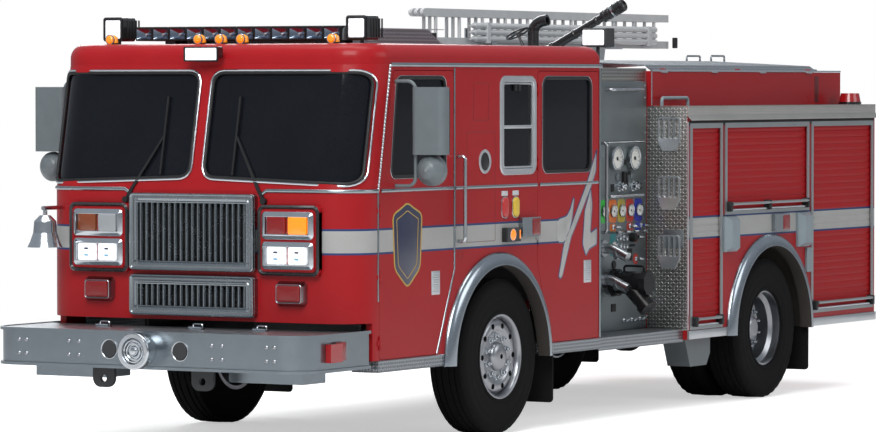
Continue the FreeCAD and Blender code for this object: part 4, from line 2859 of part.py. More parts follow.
# Steps and boards: running boards, cab steps, folding steps, the bumper deck and the rear step
def folding_step(height):
    x = body_front + d.seat_gap
    half = d.folding_step_wide / 2
    middle = d.folding_step_middle
    bar = d.folding_step_bar
    tall = d.folding_step_tall
    reach = d.folding_step_reach
    outer = [
        (middle - half * 0.6, height),
        (middle + half * 0.6, height),
        (middle + half, height + tall * 0.3, bar * 2),
        (middle + half, height + tall, bar * 3),
        (middle - half, height + tall, bar * 3),
        (middle - half, height + tall * 0.3, bar * 2),
    ]
    frame_plate = prism("front", outer, x, x + reach / 2, "FoldingStep")
    slots = []
    gap = (half * 2 - bar * 5) / 4
    for index in range(4):
        left = middle - half + bar + (gap + bar) * index
        slots.append(
            prism(
                "front",
                [
                    (left, height + tall * 0.36, gap * 0.4),
                    (left + gap, height + tall * 0.36, gap * 0.4),
                    (left + gap, height + tall - bar * 1.5, gap * 0.4),
                    (left, height + tall - bar * 1.5, gap * 0.4),
                ],
                x - d.overrun,
                x + reach,
                "StepSlot",
            )
        )
    return cut(frame_plate, slots, "FoldingStepFrame")


def steps():
    inner = d.pump_half + d.seat_gap
    outer = d.board_outer_half
    board = prism(
        "front",
        [
            (inner, d.board_top - d.board_thick),
            (outer - d.board_thick, d.board_top - d.board_thick),
            (outer - d.board_thick, d.board_top - d.board_skirt),
            (outer, d.board_top - d.board_skirt),
            (outer, d.board_top, d.board_thick / 2),
            (inner, d.board_top),
        ],
        pump_back,
        pump_front,
        "RunningBoard",
    )
    parts = both_sides(board)
    ring = d.arch_ring_radius + d.panel_gap
    step_top = d.cab_bottom - d.seat_gap
    front_step = (arch_x + ring, axle_x + d.front_door_front_ahead + d.overrun)
    back_step = (cab_back + d.overrun, arch_x - ring)
    for pair in (front_step, back_step):
        step = prism(
            "front",
            [
                (wall_in - d.cab_wall * 3, d.cab_step_foot),
                (d.cab_half - d.seat_gap, d.cab_step_foot),
                (d.cab_half + d.panel_gap, d.cab_step_foot + d.panel_gap),
                (d.cab_half + d.panel_gap, step_top - d.panel_gap),
                (d.cab_half - d.seat_gap, step_top),
                (wall_in - d.cab_wall * 3, step_top),
            ],
            pair[0],
            pair[1],
            "CabStep",
        )
        parts += both_sides(step)
    deck = bumper_ring(
        bumper_face - d.bumper_wall - d.seat_gap,
        d.bumper_half - d.bumper_wall - d.seat_gap,
        d.bumper_round - d.bumper_wall - d.seat_gap,
        cab_front - d.cab_wall - d.overrun + d.panel_gap,
        d.bumper_top - d.deck_thick * 2,
        d.bumper_top - d.deck_thick,
        "BumperDeck",
    )
    parts.append(deck)
    rear = prism(
        "top",
        [
            (body_back - d.seat_gap, -d.rear_step_half),
            (body_back - d.seat_gap, d.rear_step_half),
            (body_back - d.rear_step_deep, d.rear_step_half - d.rear_step_deep / 2),
            (body_back - d.rear_step_deep, -d.rear_step_half + d.rear_step_deep / 2),
        ],
        d.rear_step_top - d.rub_rail_tall / 2,
        d.rear_step_top,
        "RearStep",
    )
    parts.append(rear)
    for index in range(3):
        parts += both_sides(folding_step(d.folding_step_low + d.folding_step_pitch * index))
    return group(parts, "Steps")


node("steps_and_running_boards", steps())


# Bright rings round the wheel arches
def arch_ring(x):
    """Half of a turned band whose section swells out from the body's side."""
    side = d.cab_half + d.seat_gap
    outer, inner = d.arch_ring_radius, d.arch_cut_radius
    proud = d.arch_ring_proud
    wall = d.arch_ring_wall
    middle = (outer + inner) / 2
    section = [
        (outer, side),
        (outer - wall, side + proud * 0.6, wall * 2),
        (middle, side + proud, wall * 3),
        (inner, side + proud * 0.8, wall),
        (inner, side),
        (inner + wall, side),
        (inner + wall, side + proud * 0.8 - wall),
        (middle, side + proud - wall * 1.4),
        (outer - wall * 2.4, side + proud * 0.6 - wall),
        (outer - wall, side),
    ]
    band = turned("top", section, "y", (x, 0, d.arch_height), "ArchBand")
    keep = box(
        (x - outer - d.overrun, x + outer + d.overrun),
        (side - d.overrun, side + proud + d.overrun),
        (d.arch_height, d.arch_height + outer + d.overrun),
        "ArchKeep",
    )
    return common(band, keep, "ArchRing")


rings = both_sides(arch_ring(arch_x)) + both_sides(arch_ring(rear_axle_x))
node("wheel_arch_rings", group(rings, "ArchRings"))


# Mud flaps behind each wheel
def mud_flaps():
    parts = []
    front_x = axle_x - d.tub_radius + d.arch_ahead - d.flap_gap
    back_x = rear_axle_x - d.rear_tub_radius - d.flap_gap
    front_inner = d.wheel_face_half - d.tyre_width
    for x, inner, top in (
        (front_x, front_inner, d.cab_step_foot),
        (back_x, d.deep_locker_inner, d.body_foot),
    ):
        flap = prism(
            "front",
            [
                (inner, d.flap_foot, d.flap_gap),
                (d.wheel_face_half, d.flap_foot, d.flap_gap),
                (d.wheel_face_half, top - d.seat_gap),
                (inner, top - d.seat_gap),
            ],
            x - d.flap_thick,
            x,
            "MudFlap",
        )
        parts += both_sides(flap)
    return group(parts, "MudFlaps")


node("mud_flaps", mud_flaps())


# Wheel chocks in their holder under the front locker
def chocks():
    start = front_locker[0] - d.overrun
    half = d.chock_wide / 2
    foot = d.chock_foot
    wedge = [
        (start + d.chock_long * 0.15, foot),
        (start + d.chock_long * 0.8, foot),
        (start + d.chock_long, d.body_foot - d.overrun),
        (start + d.chock_long, d.body_foot - d.seat_gap),
        (start, d.body_foot - d.seat_gap),
        (start, foot + d.chock_tall * 0.6),
    ]
    solid = prism("side", wedge, d.chock_half - half, d.chock_half + half, "ChockHolder")
    return group(both_sides(solid), "Chocks")


node("wheel_chocks", chocks())


# Ladders and pole tubes on a rack over the far-side lockers
ladder_front = axle_x - d.ladder_front_behind
ladder_back = body_back - d.ladder_overhang


def ladder(inner, front, back):
    """A ladder stored on edge: two beams, one above the other, and the rungs between."""
    thick, tall = d.ladder_beam_thick, d.ladder_beam_tall
    levels = (d.ladder_foot, d.ladder_foot + d.ladder_tall - tall)
    parts = []
    for low in levels:
        beam = [
            (back, low),
            (front - tall, low),
            (front, low + tall * 0.5, tall / 3),
            (front - tall, low + tall),
            (back, low + tall),
        ]
        parts.append(prism("side", beam, -inner - thick, -inner, "LadderBeam"))
    count = 11
    pitch = (front - back - tall * 2) / count
    start_z = d.ladder_foot + tall / 2
    for index in range(count):
        x = back + tall + pitch * (index + 0.5)
        rung = cylinder(
            "z",
            d.ladder_rung_radius,
            (x, -inner - thick / 2, start_z),
            d.ladder_tall - tall,
            "Rung",
        )
        parts.append(rung)
    return fuse(parts, "Ladder")


def pole_tubes():
    front = axle_x - d.pole_front_behind
    back = axle_x - d.pole_back_behind
    parts = []
    for index in range(3):
        level = d.pole_tube_foot + d.pole_tube_radius + d.pole_tube_pitch * index
        tube = cylinder("x", d.pole_tube_radius, (back, -d.pole_tube_half, level), front - back, "PoleTube")
        tip = cone(
            "x",
            d.pole_tube_radius * 0.8,
            d.pole_tube_radius * 0.4,
            (front, -d.pole_tube_half, level),
            d.ladder_beam_tall,
        )
        parts += [tube, tip]
    clamp_y = (-d.pole_tube_half - d.pole_tube_radius * 1.4, -d.pole_tube_half + d.pole_tube_radius * 1.4)
    clamp_z = (d.pole_tube_foot - d.pole_tube_radius * 0.4, d.pole_tube_foot + d.pole_tube_pitch * 3)
    for share in (0.05, 0.94):
        x = back + (front - back) * share
        parts.append(box((x - d.pole_tube_radius, x + d.pole_tube_radius), clamp_y, clamp_z, "PoleClamp"))
    return fuse(parts, "PoleTubes")


ladder_parts = []
for index in range(3):
    shift = d.ladder_pitch * index * 0.5
    piece = ladder(d.ladder_inner + d.ladder_pitch * index, ladder_front - shift, ladder_back + shift)
    ladder_parts.append(piece)
node("ladders", group(ladder_parts + [pole_tubes()], "Ladders"))


def ladder_rack():
    """Two tapered posts from the body top, each with a cross bar under the ladders."""
    foot = d.body_top + d.seat_gap
    top = d.ladder_foot - d.seat_gap
    bar = d.rack_bar_tall
    near = d.pole_tube_half - d.pole_tube_radius
    far = d.ladder_inner + d.ladder_pitch * 2 + d.ladder_beam_thick
    parts = []
    for share in (0.3, 0.9):
        x = body_front - d.body_length * share
        post = prism(
            "side",
            [
                (x - bar, foot),
                (x + bar, foot),
                (x + bar * 4, top),
                (x - bar * 4, top),
            ],
            -d.rack_post_half - d.rack_plate_thick,
            -d.rack_post_half,
            "RackPost",
        )
        shelf = box((x - bar * 4, x + bar * 4), (-far, -near), (top - d.rack_plate_thick, top), "RackShelf")
        stop_y = (-far - d.rack_plate_thick - d.seat_gap, -far - d.seat_gap)
        stop = box(
            (x - bar, x + bar),
            stop_y,
            (top - d.rack_plate_thick, top + d.ladder_tall / 2),
            "RackStop",
        )
        tie = box((x - bar, x + bar), (stop_y[0], -far), (top - d.rack_plate_thick, top), "RackTie")
        foot_plate = box(
            (x - bar * 2, x + bar * 2),
            (-d.rack_post_half - bar, -d.rack_post_half + bar),
            (foot, foot + d.rack_plate_thick),
            "RackFoot",
        )
        pole_rest = box(
            (x - bar, x + bar),
            (-d.pole_tube_half - d.pole_tube_radius, -d.pole_tube_half + d.pole_tube_radius),
            (top - d.rack_plate_thick, d.pole_tube_foot - d.seat_gap),
            "PoleRest",
        )
        parts += [post, shelf, stop, tie, foot_plate, pole_rest]
    return fuse(parts, "LadderRack")


node("ladder_rack", ladder_rack())

# Deck gun: a fixed base, a swivelling elbow with its yoke, and the barrel that tips
gun_x = axle_x - d.gun_behind
gun_y = d.gun_side
gun_z = d.gun_pivot_height


def gun_base():
    foot = d.pump_top + d.seat_gap
    swivel = gun_z - d.gun_barrel_radius * 3
    profile = [
        (0, foot),
        (d.gun_flange_radius, foot),
        (d.gun_flange_radius, foot + d.gun_flange_thick),
        (d.gun_base_radius, foot + d.gun_flange_thick),
        (d.gun_base_radius, swivel - d.gun_flange_thick),
        (d.gun_base_radius * 1.2, swivel - d.gun_flange_thick),
        (d.gun_base_radius * 1.2, swivel),
        (0, swivel),
    ]
    return turned("side", profile, "z", (gun_x, gun_y, 0), "GunBase")


def gun_swivel():
    """The turntable with two yoke cheeks, the waterway elbow beside them and the handwheel."""
    swivel = gun_z - d.gun_barrel_radius * 3 + d.seat_gap
    half, thick = d.gun_yoke_half, d.gun_yoke_thick
    radius = d.gun_elbow_radius
    table = cylinder("z", d.gun_base_radius, (gun_x, gun_y, swivel), thick, "GunTable")
    cheeks = []
    for start in (gun_x - half - thick, gun_x + half):
        cheek = prism(
            "front",
            [
                (gun_y - half, swivel),
                (gun_y + half, swivel),
                (gun_y + half * 0.6, gun_z + half * 0.6, half / 3),
                (gun_y - half * 0.6, gun_z + half * 0.6, half / 3),
            ],
            start,
            start + thick,
            "GunCheek",
        )
        bore_start = (start - d.overrun, gun_y, gun_z)
        bore = cylinder(
            "x",
            d.gun_trunnion_radius + d.pin_gap,
            bore_start,
            thick + d.overrun * 2,
            "TrunnionBore",
        )
        cheeks.append(cut(cheek, bore, "BoredCheek"))
    elbow_x = gun_x + half + thick + radius
    elbow_y = gun_y - radius
    plate = box(
        (gun_x - half - thick, elbow_x + radius),
        (gun_y - half, gun_y + half),
        (swivel, swivel + thick),
        "GunPlate",
    )
    bend = radius * 2.2
    rise = gun_z + d.gun_elbow_rise
    route = [
        (elbow_y, swivel + thick / 2),
        (elbow_y, rise, bend),
        (elbow_y + bend * 1.3, rise + radius / 2),
    ]
    outer = pipe("front", route, radius, elbow_x, "GunElbow")
    mouth = cylinder(
        "y",
        radius * 0.75,
        (elbow_x, elbow_y + bend * 0.8, rise + radius / 3),
        bend,
        "ElbowMouth",
    )
    elbow = cut(outer, mouth, "OpenElbow")
    turn = Rotation(Vector(1, 0, 0), number(d.gun_wheel_lean))
    wheel_radius, bar = d.gun_wheel_radius, d.gun_wheel_bar
    stem_long = d.gun_wheel_stem
    rim = torus("z", wheel_radius, bar, (0, 0, stem_long), "WheelRim")
    level = (stem_long - bar * 0.8, stem_long + bar * 0.8)
    spokes = [
        box((-wheel_radius, wheel_radius), (-bar, bar), level, "WheelSpoke"),
        box((-bar, bar), (-wheel_radius, wheel_radius), level, "WheelSpoke"),
    ]
    stem = cylinder("z", bar * 1.4, (0, 0, 0), stem_long, "WheelStem")
    wheel = fuse([rim, stem] + spokes, "HandWheel")
    wheel_base = (elbow_x + radius, gun_y - half / 2, swivel + thick / 2)
    hand_wheel = moved(wheel, wheel_base, turn, "TiltedHandWheel")
    hand_wheel.setExpression("Placement.Rotation.Angle", d.gun_wheel_lean.text)
    stem_foot = box(
        (elbow_x, wheel_base[0] + bar * 2),
        (wheel_base[1] - bar * 2, wheel_base[1] + bar * 2),
        (swivel, swivel + thick),
        "StemFoot",
    )
    return fuse([table, plate, elbow, hand_wheel, stem_foot] + cheeks, "GunSwivel")


def gun_barrel():
    """Drawn level along +Y about the trunnion, then tipped up to its rest angle."""
    radius = d.gun_barrel_radius
    reach = d.gun_reach
    nozzle = d.gun_nozzle_radius
    start = -radius * 1.2
    tip = reach
    base = reach - d.gun_nozzle_long
    profile = [
        (0, start),
        (radius * 1.15, start),
        (radius * 1.15, radius),
        (radius, radius * 1.3),
        (radius * 0.86, base),
    ]
    ridges = 5
    step = (tip - base) / ridges
    for index in range(ridges):
        at = base + step * index
        profile += [
            (nozzle * 0.86, at + step * 0.1),
            (nozzle, at + step * 0.25),
            (nozzle, at + step * 0.75),
            (nozzle * 0.86, at + step * 0.9),
        ]
    profile += [(nozzle * 0.7, tip), (nozzle * 0.7, tip - radius), (0, tip - radius)]
    tube = turned("top", profile, "y", name="GunTube")
    half = d.gun_yoke_half + d.gun_yoke_thick
    trunnion = cylinder("x", d.gun_trunnion_radius, (-half, 0, 0), half * 2, "Trunnion")
    blank = fuse([tube, trunnion], "GunBarrelBlank")
    turn = Rotation(Vector(1, 0, 0), number(d.gun_rest_lift))
    barrel = moved(blank, (gun_x, gun_y, gun_z), turn, "GunBarrel")
    barrel.setExpression("Placement.Rotation.Angle", d.gun_rest_lift.text)
    return barrel


node("deck_gun_base", gun_base())
node("deck_gun_swivel", gun_swivel())
node("deck_gun_barrel", gun_barrel())

# Light mast: a fixed tube at the pump house's front corner and a lamp on a sliding pole
mast_x = axle_x - d.mast_behind
mast_y = d.mast_half


def mast_tube():
    tube = cylinder("z", d.mast_radius, (mast_x, mast_y, d.mast_foot), d.mast_top - d.mast_foot, "MastTube")
    parts = [tube]
    face = d.pump_half + d.panel_thick + d.seat_gap * 2
    bracket_shares = (0.06, 0.82)
    for share in bracket_shares:
        low = d.mast_foot + (d.mast_top - d.mast_foot) * share
        half = d.mast_radius
        bracket = box(
            (mast_x - half, mast_x + half),
            (face, mast_y),
            (low, low + d.mast_radius),
            "MastBracket",
        )
        parts.append(bracket)
    bore = cylinder(
        "z",
        d.mast_inner_radius + d.pin_gap,
        (mast_x, mast_y, d.mast_foot + d.overrun),
        d.mast_top - d.mast_foot,
        "MastBore",
    )
    return cut(fuse(parts, "MastParts"), bore, "Mast")


def mast_head():
    foot = d.mast_foot + d.overrun + d.seat_gap
    pole = cylinder(
        "z",
        d.mast_inner_radius,
        (mast_x, mast_y, foot),
        d.mast_head_foot - foot + d.mast_head_tall / 2,
        "MastPole",
    )
    half = d.mast_head_wide / 2
    top = d.mast_head_foot + d.mast_head_tall
    lamp = prism(
        "side",
        [
            (mast_x - d.mast_head_deep / 2, d.mast_head_foot, d.lens_gap),
            (mast_x + d.mast_head_deep / 2, d.mast_head_foot, d.lens_gap),
            (mast_x + d.mast_head_deep / 3, top, d.lens_gap),
            (mast_x - d.mast_head_deep / 2, top, d.lens_gap),
        ],
        mast_y - half,
        mast_y + half,
        "MastLamp",
    )
    return fuse([pole, lamp], "MastHead")


node("light_mast_tube", mast_tube())
node("light_mast_head", mast_head())


# Engine with its radiator, and the gearbox, shafts and tanks seen from below
def engine():
    front = axle_x + d.engine_front_ahead
    block = box(
        (front - d.engine_long, front),
        (-d.engine_half, d.engine_half),
        (d.engine_bottom, d.engine_bottom + d.engine_tall),
        "EngineBlock",
    )
    core_foot = d.rail_bottom + d.rail_tall + d.seat_gap
    core = box(
        (tunnel_front - d.radiator_thick * 2, tunnel_front - d.radiator_thick),
        (-d.radiator_half, d.radiator_half),
        (core_foot, core_foot + d.radiator_tall),
        "RadiatorCore",
    )
    link = cylinder(
        "x",
        d.shaft_radius,
        (front, 0, d.engine_bottom + d.engine_tall / 2),
        tunnel_front - d.radiator_thick * 2 - front,
        "FanShaft",
    )
    return fuse([block, core, link], "Engine")


node("engine_block", engine())


def driveline():
    """Gearbox and rear shaft, the pump between the rails, the fuel tank and an air tank."""
    start = axle_x + d.engine_front_ahead - d.engine_long - d.seat_gap
    height = d.engine_bottom + d.gearbox_radius
    gear_back = start - d.gearbox_long
    gearbox = cone(
        "x",
        d.gearbox_radius * 0.7,
        d.gearbox_radius,
        (gear_back, 0, height),
        d.gearbox_long,
        "Gearbox",
    )
    shaft_end = rear_axle_x + d.drive_head_radius + d.shaft_radius / 8
    span = gear_back - shaft_end
    rise = height - wheel_height
    shaft = cylinder("x", d.shaft_radius, (0, 0, 0), root(span * span + rise * rise), "ShaftBar")
    slope = Size(math.degrees(math.atan2(number(rise), number(span))), f"atan({text(rise)} / {text(span)})")
    drive_shaft = moved(
        shaft,
        (shaft_end, 0, wheel_height),
        Rotation(Vector(0, -1, 0), slope.value),
        "DriveShaft",
    )
    drive_shaft.setExpression("Placement.Rotation.Angle", slope.text)
    between = d.rail_half - d.rail_flange - d.seat_gap
    rail_middle = d.rail_bottom + d.rail_tall / 2
    pump = box(
        (axle_x - d.pump_front_behind - d.pump_long, axle_x - d.pump_front_behind),
        (-between, between),
        (rail_middle + d.shaft_radius, rail_middle + d.shaft_radius + d.pump_tall),
        "MidshipPump",
    )
    tank_low = d.rail_bottom - d.fuel_tank_drop
    tank = prism(
        "front",
        [
            (-between, tank_low, d.fuel_tank_round),
            (between, tank_low, d.fuel_tank_round),
            (between, rail_middle, d.fuel_tank_round),
            (-between, rail_middle, d.fuel_tank_round),
        ],
        rear_axle_x - d.fuel_tank_behind - d.fuel_tank_long,
        rear_axle_x - d.fuel_tank_behind,
        "FuelTank",
    )
    air_y = d.rail_half + d.air_tank_radius + d.seat_gap
    air = cylinder(
        "x",
        d.air_tank_radius,
        (body_front + d.overrun * 2, air_y, rail_middle),
        d.air_tank_long,
        "AirTank",
    )
    return group([fuse([gearbox, drive_shaft], "GearboxAndShaft"), pump, tank, air], "Driveline")


node("driveline_and_tanks", driveline())


# Grab handles on the doors
def door_handle(x):
    half = (d.hand_rail_top - d.hand_rail_foot) / 2
    middle = (d.hand_rail_top + d.hand_rail_foot) / 2
    y = d.cab_half + d.seat_gap
    path = [
        (y, middle - half),
        (y + d.rail_stand, middle - half, d.rail_tube_radius * 2),
        (y + d.rail_stand, middle + half, d.rail_tube_radius * 2),
        (y, middle + half),
    ]
    return pipe("front", path, d.rail_tube_radius, x, "DoorRail")


rails = both_sides(door_handle(axle_x + d.hand_rail_ahead))
node("cab_handrails", group(rails, "CabHandrails"))


# Every object is checked before anything is written
doc.recompute()
for thing in doc.Objects:
    if "Invalid" in thing.State or "Error" in thing.State:
        raise RuntimeError(f"{thing.Label} failed: {thing.State}")
for piece in nodes:
    if piece.Shape.isNull() or not piece.Shape.isValid():
        raise RuntimeError(f"{piece.Label} has no valid shape")

os.makedirs("parts", exist_ok=True)
for piece in nodes:
    piece.Shape.exportStep(f"parts/{piece.Label}.step")
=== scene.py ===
import math

import bmesh
import bpy
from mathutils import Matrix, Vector


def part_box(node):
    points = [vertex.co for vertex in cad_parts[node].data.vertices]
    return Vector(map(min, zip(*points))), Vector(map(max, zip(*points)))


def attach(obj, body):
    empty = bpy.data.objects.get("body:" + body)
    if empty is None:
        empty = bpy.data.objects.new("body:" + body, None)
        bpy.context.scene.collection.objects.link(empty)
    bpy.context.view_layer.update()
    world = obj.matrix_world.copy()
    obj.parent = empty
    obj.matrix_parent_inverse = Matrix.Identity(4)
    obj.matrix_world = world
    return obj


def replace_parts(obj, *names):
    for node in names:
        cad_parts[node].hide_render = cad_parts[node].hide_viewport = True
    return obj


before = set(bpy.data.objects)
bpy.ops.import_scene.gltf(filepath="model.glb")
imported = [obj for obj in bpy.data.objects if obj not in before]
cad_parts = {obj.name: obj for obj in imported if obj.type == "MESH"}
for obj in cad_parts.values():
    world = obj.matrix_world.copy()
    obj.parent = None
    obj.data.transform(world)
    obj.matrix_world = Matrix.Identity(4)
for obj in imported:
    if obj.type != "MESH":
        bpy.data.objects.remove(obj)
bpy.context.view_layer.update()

# Lengths are in metres, with X forward, Y to the left and Z up.
AXLE = 2.118
REAR_AXLE = -2.107
WHEEL_Z = 0.540
ARCHES = (2.203, REAR_AXLE)
ARCH_FOOT = 0.515
WELL_RADIUS = 0.83
HALF = 1.245              # half the width of cab and body
SIDE = HALF + 0.0004      # just outside the cab's and the body's skin
CAB_FRONT = 4.108
CAB_BACK = 0.673
CORNER = 0.27             # the radius of the cab's front corners
BELT = 1.718
GUTTER = 2.550
BODY_FRONT = -0.697
BODY_BACK = -4.062
PANEL = 0.9125            # the pump panel's face
LAMP_FACE = 4.1498
OUT = (0, 1, 0)

# The camera that matches the photo, fitted to the ground line, the axles and the cab's edges
CAMERA_PLACE = (29.205, 16.271, 2.414)
CAMERA_YAW, CAMERA_PITCH = math.radians(29.86), math.radians(1.67)
CAMERA_LENS = 184.52

RED = (0.30, 0.008, 0.011)
WHITE = (0.33, 0.33, 0.32)
BLUE = (0.02, 0.04, 0.13)
BLACK = (0.012, 0.012, 0.013)
LAMP_RED = (0.30, 0.004, 0.006)
WELL_DARK = (0.040, 0.035, 0.031)


# Node trees

class Term:
    """A value in a node tree; a sign between terms makes a math node."""

    def __init__(self, tree, socket):
        self.tree, self.socket = tree, socket

    def __abs__(self):
        return self.tree.math("ABSOLUTE", self)

    def __add__(self, other):
        return self.tree.math("ADD", self, other)

    def __sub__(self, other):
        return self.tree.math("SUBTRACT", self, other)

    def __rsub__(self, other):
        return self.tree.math("SUBTRACT", other, self)

    def __mul__(self, other):
        return self.tree.math("MULTIPLY", self, other)

    def __truediv__(self, other):
        return self.tree.math("DIVIDE", self, other)

    def __mod__(self, other):
        return self.tree.math("FLOORED_MODULO", self, other)

    def __or__(self, other):
        return self.tree.math("MAXIMUM", self, other)

    def __gt__(self, other):
        return self.tree.math("GREATER_THAN", self, other)

    def __lt__(self, other):
        return self.tree.math("LESS_THAN", self, other)


class Tree:
    """Short names for making and joining the nodes of one tree."""

    def __init__(self, tree):
        self.tree = tree

    def feed(self, socket, value):
        if isinstance(value, Term):
            value = value.socket
        if isinstance(value, bpy.types.NodeSocket):
            self.tree.links.new(value, socket)
        elif isinstance(value, tuple) and len(value) == 3 and socket.type == "RGBA":
            socket.default_value = (*value, 1)
        elif value is not None:
            socket.default_value = value

    def node(self, kind, *inputs, named=None, **settings):
        made = self.tree.nodes.new("ShaderNode" + kind)
        for key, value in settings.items():
            setattr(made, key, value)
        for index, value in enumerate(inputs):
            self.feed(made.inputs[index], value)
        for key, value in (named or {}).items():
            self.feed(made.inputs[key], value)
        return made

    def out(self, kind, *inputs, pick=0, **settings):
        return Term(self, self.node(kind, *inputs, **settings).outputs[pick])

    def math(self, kind, *values):
        return self.out("Math", *values, operation=kind)


# Camera, light and floor

def link(made):
    bpy.context.collection.objects.link(made)
    return made


def make_camera():
    data = bpy.data.cameras.new("camera")
    data.sensor_width, data.lens, data.clip_end = 36, CAMERA_LENS, 300
    camera = link(bpy.data.objects.new("camera", data))
    level = math.cos(CAMERA_PITCH)
    look = Vector((-level * math.cos(CAMERA_YAW), -level * math.sin(CAMERA_YAW), -math.sin(CAMERA_PITCH)))
    camera.location = CAMERA_PLACE
    camera.rotation_euler = look.to_track_quat("-Z", "Y").to_euler()
    bpy.context.scene.camera = camera
    bpy.context.scene.view_settings.view_transform = "Standard"


def area_light(name, place, target, size, power):
    data = bpy.data.lights.new(name, "AREA")
    data.shape, data.energy = "RECTANGLE", power
    data.size, data.size_y = size
    lamp = link(bpy.data.objects.new(name, data))
    lamp.location = place
    lamp.rotation_euler = (Vector(target) - Vector(place)).to_track_quat("-Z", "Y").to_euler()


def make_light():
    """A white background, a soft fill, darker reflections near the ground, and four lamps."""
    world = bpy.data.worlds.new("studio")
    bpy.context.scene.world = world
    world.use_nodes = True
    world.node_tree.nodes.clear()
    tree = Tree(world.node_tree)
    height = tree.out("SeparateXYZ", tree.out("TexCoord", pick="Generated"), pick="Z")
    ramp = tree.node("ValToRGB", tree.out("MapRange", height, -1, 1))
    ground, sky = ramp.color_ramp.elements
    ground.position, ground.color = 0.38, (0.07, 0.07, 0.075, 1)
    sky.position, sky.color = 0.62, (0.36, 0.39, 0.43, 1)
    seen = tree.out("Background", (1, 1, 1), 1.0)
    fill = tree.out("Background", (0.93, 0.96, 1.0), 0.46)
    path = tree.node("LightPath").outputs
    lit = tree.out("MixShader", path["Is Glossy Ray"], fill, tree.out("Background", ramp.outputs[0]))
    straight = tree.math("MAXIMUM", path["Is Camera Ray"], path["Is Transmission Ray"])
    tree.node("OutputWorld", tree.out("MixShader", straight, lit, seen))
    area_light("key", (15, 4, 12), (1, 0, 1.2), (9, 9), 2200)
    area_light("side", (-3, 14, 8), (-1, 0, 1.2), (9, 6), 380)
    area_light("back", (-10, -9, 9), (0, 0, 1.2), (8, 6), 900)
    area_light("above", (3, 0, 14), (0.5, 0, 1.2), (12, 6), 800)


def make_floor():
    """A pale floor that takes shadows near the vehicle and fades into white further out."""
    size = 400
    mesh = bpy.data.meshes.new("floor")
    mesh.from_pydata([(-size, -size, 0), (size, -size, 0), (size, size, 0), (-size, size, 0)], [], [(0, 1, 2, 3)])
    look = bpy.data.materials.new("floor")
    look.use_nodes = True
    look.node_tree.nodes.clear()
    tree = Tree(look.node_tree)
    pale = tree.out("BsdfDiffuse", (0.80, 0.80, 0.80))
    lifted = tree.out("AddShader", pale, tree.out("Emission", (1, 1, 1), 0.52))
    camera = tree.out("LightPath", pick="Is Camera Ray")
    reach = tree.out("VectorMath", tree.out("TexCoord", pick="Object"), operation="LENGTH", pick="Value")
    far = tree.out("MapRange", reach, 5.5, 13)
    near = tree.out("MixShader", camera, pale, lifted)
    tree.node("OutputMaterial", tree.out("MixShader", far * camera, near, tree.out("Emission", (1, 1, 1))))
    mesh.materials.append(look)
    link(bpy.data.objects.new("floor", mesh))


# Materials

def shade(colour, factor):
    return tuple(min(1.0, channel * factor) for channel in colour)


def square(a, b):
    return a * a + b * b


class Look(Tree):
    """A procedural material on one Principled shader."""

    def __init__(self, name, colour, rough, metal=0.0, coat=0.0, gloss=None, glow=None):
        self.material = bpy.data.materials.new(name)
        self.material.use_nodes = True
        super().__init__(self.material.node_tree)
        self.shader = self.tree.nodes["Principled BSDF"].inputs
        self.set(("Metallic", metal), ("IOR", 1.5), ("Coat Weight", coat), ("Coat Roughness", 0.06),
                 ("Specular IOR Level", gloss))
        if glow:
            self.set(("Emission Color", colour), ("Emission Strength", glow))
        self.colour, self.rough, self.height = colour, rough, None
        self.place = self.out("TexCoord", pick="Object")
        self.x, self.y, self.z = (Term(self, axis) for axis in self.node("SeparateXYZ", self.place).outputs)

    def set(self, *pairs):
        for key, value in pairs:
            self.feed(self.shader[key], value)

    def noise(self, scale, detail=3.0, stretch=None):
        source = self.place
        if stretch:
            source = self.out("VectorMath", source, stretch, operation="MULTIPLY")
        return self.out("TexNoise", named={"Vector": source, "Scale": scale, "Detail": detail}, pick="Fac")

    def mix(self, factor, a, b):
        made = self.node("Mix", factor, data_type="RGBA")
        self.feed(made.inputs[6], a)
        self.feed(made.inputs[7], b)
        return Term(self, made.outputs[2])

    def step(self, value, low, high):
        """0 below low, 1 above high, and smooth between them."""
        return self.out("MapRange", value, low, high, interpolation_type="SMOOTHSTEP")

    def within(self, value, low, high, soft=0.0008):
        return self.step(value, low - soft, low + soft) - self.step(value, high - soft, high + soft)

    def span(self, value, low, high):
        return self.out("MapRange", value, named={"To Min": low, "To Max": high})

    def raise_by(self, height, depth):
        """Adds a bump of the given depth."""
        scaled = height * depth
        self.height = scaled if self.height is None else self.height + scaled

    def flat_place(self):
        """Two coordinates that lie in whichever plane the surface is nearest to."""
        normal = self.node("SeparateXYZ", self.out("NewGeometry", pick="True Normal")).outputs
        across, up = (abs(Term(self, normal[axis])) > least for axis, least in ((0, 0.7), (2, 0.6)))
        return self.out("Mix", across, None, self.x, self.y), self.out("Mix", up, None, self.z, self.y)

    def done(self, vary=0.06, grain=9.0, rough_vary=0.08):
        """Mottles colour and roughness, joins the bump, and returns the material."""
        both = self.noise(grain, 4.0) * 0.7 + self.noise(grain * 14, 2.0) * 0.3
        if isinstance(self.colour, tuple):
            tone = self.mix(both, shade(self.colour, 1 - vary * 2), shade(self.colour, 1 + vary * 2))
        else:
            scale = self.span(both, 1 - vary * 2, 1 + vary * 2)
            tone = self.out("VectorMath", self.colour, operation="SCALE", named={"Scale": scale})
        low, high = max(0.02, self.rough - rough_vary), min(1.0, self.rough + rough_vary)
        self.set(("Base Color", tone), ("Roughness", self.span(both, low, high)))
        if self.height is not None:
            bump = self.out("Bump", named={"Strength": 1.0, "Distance": 1.0, "Height": self.height})
            self.set(("Normal", bump))
        return self.material


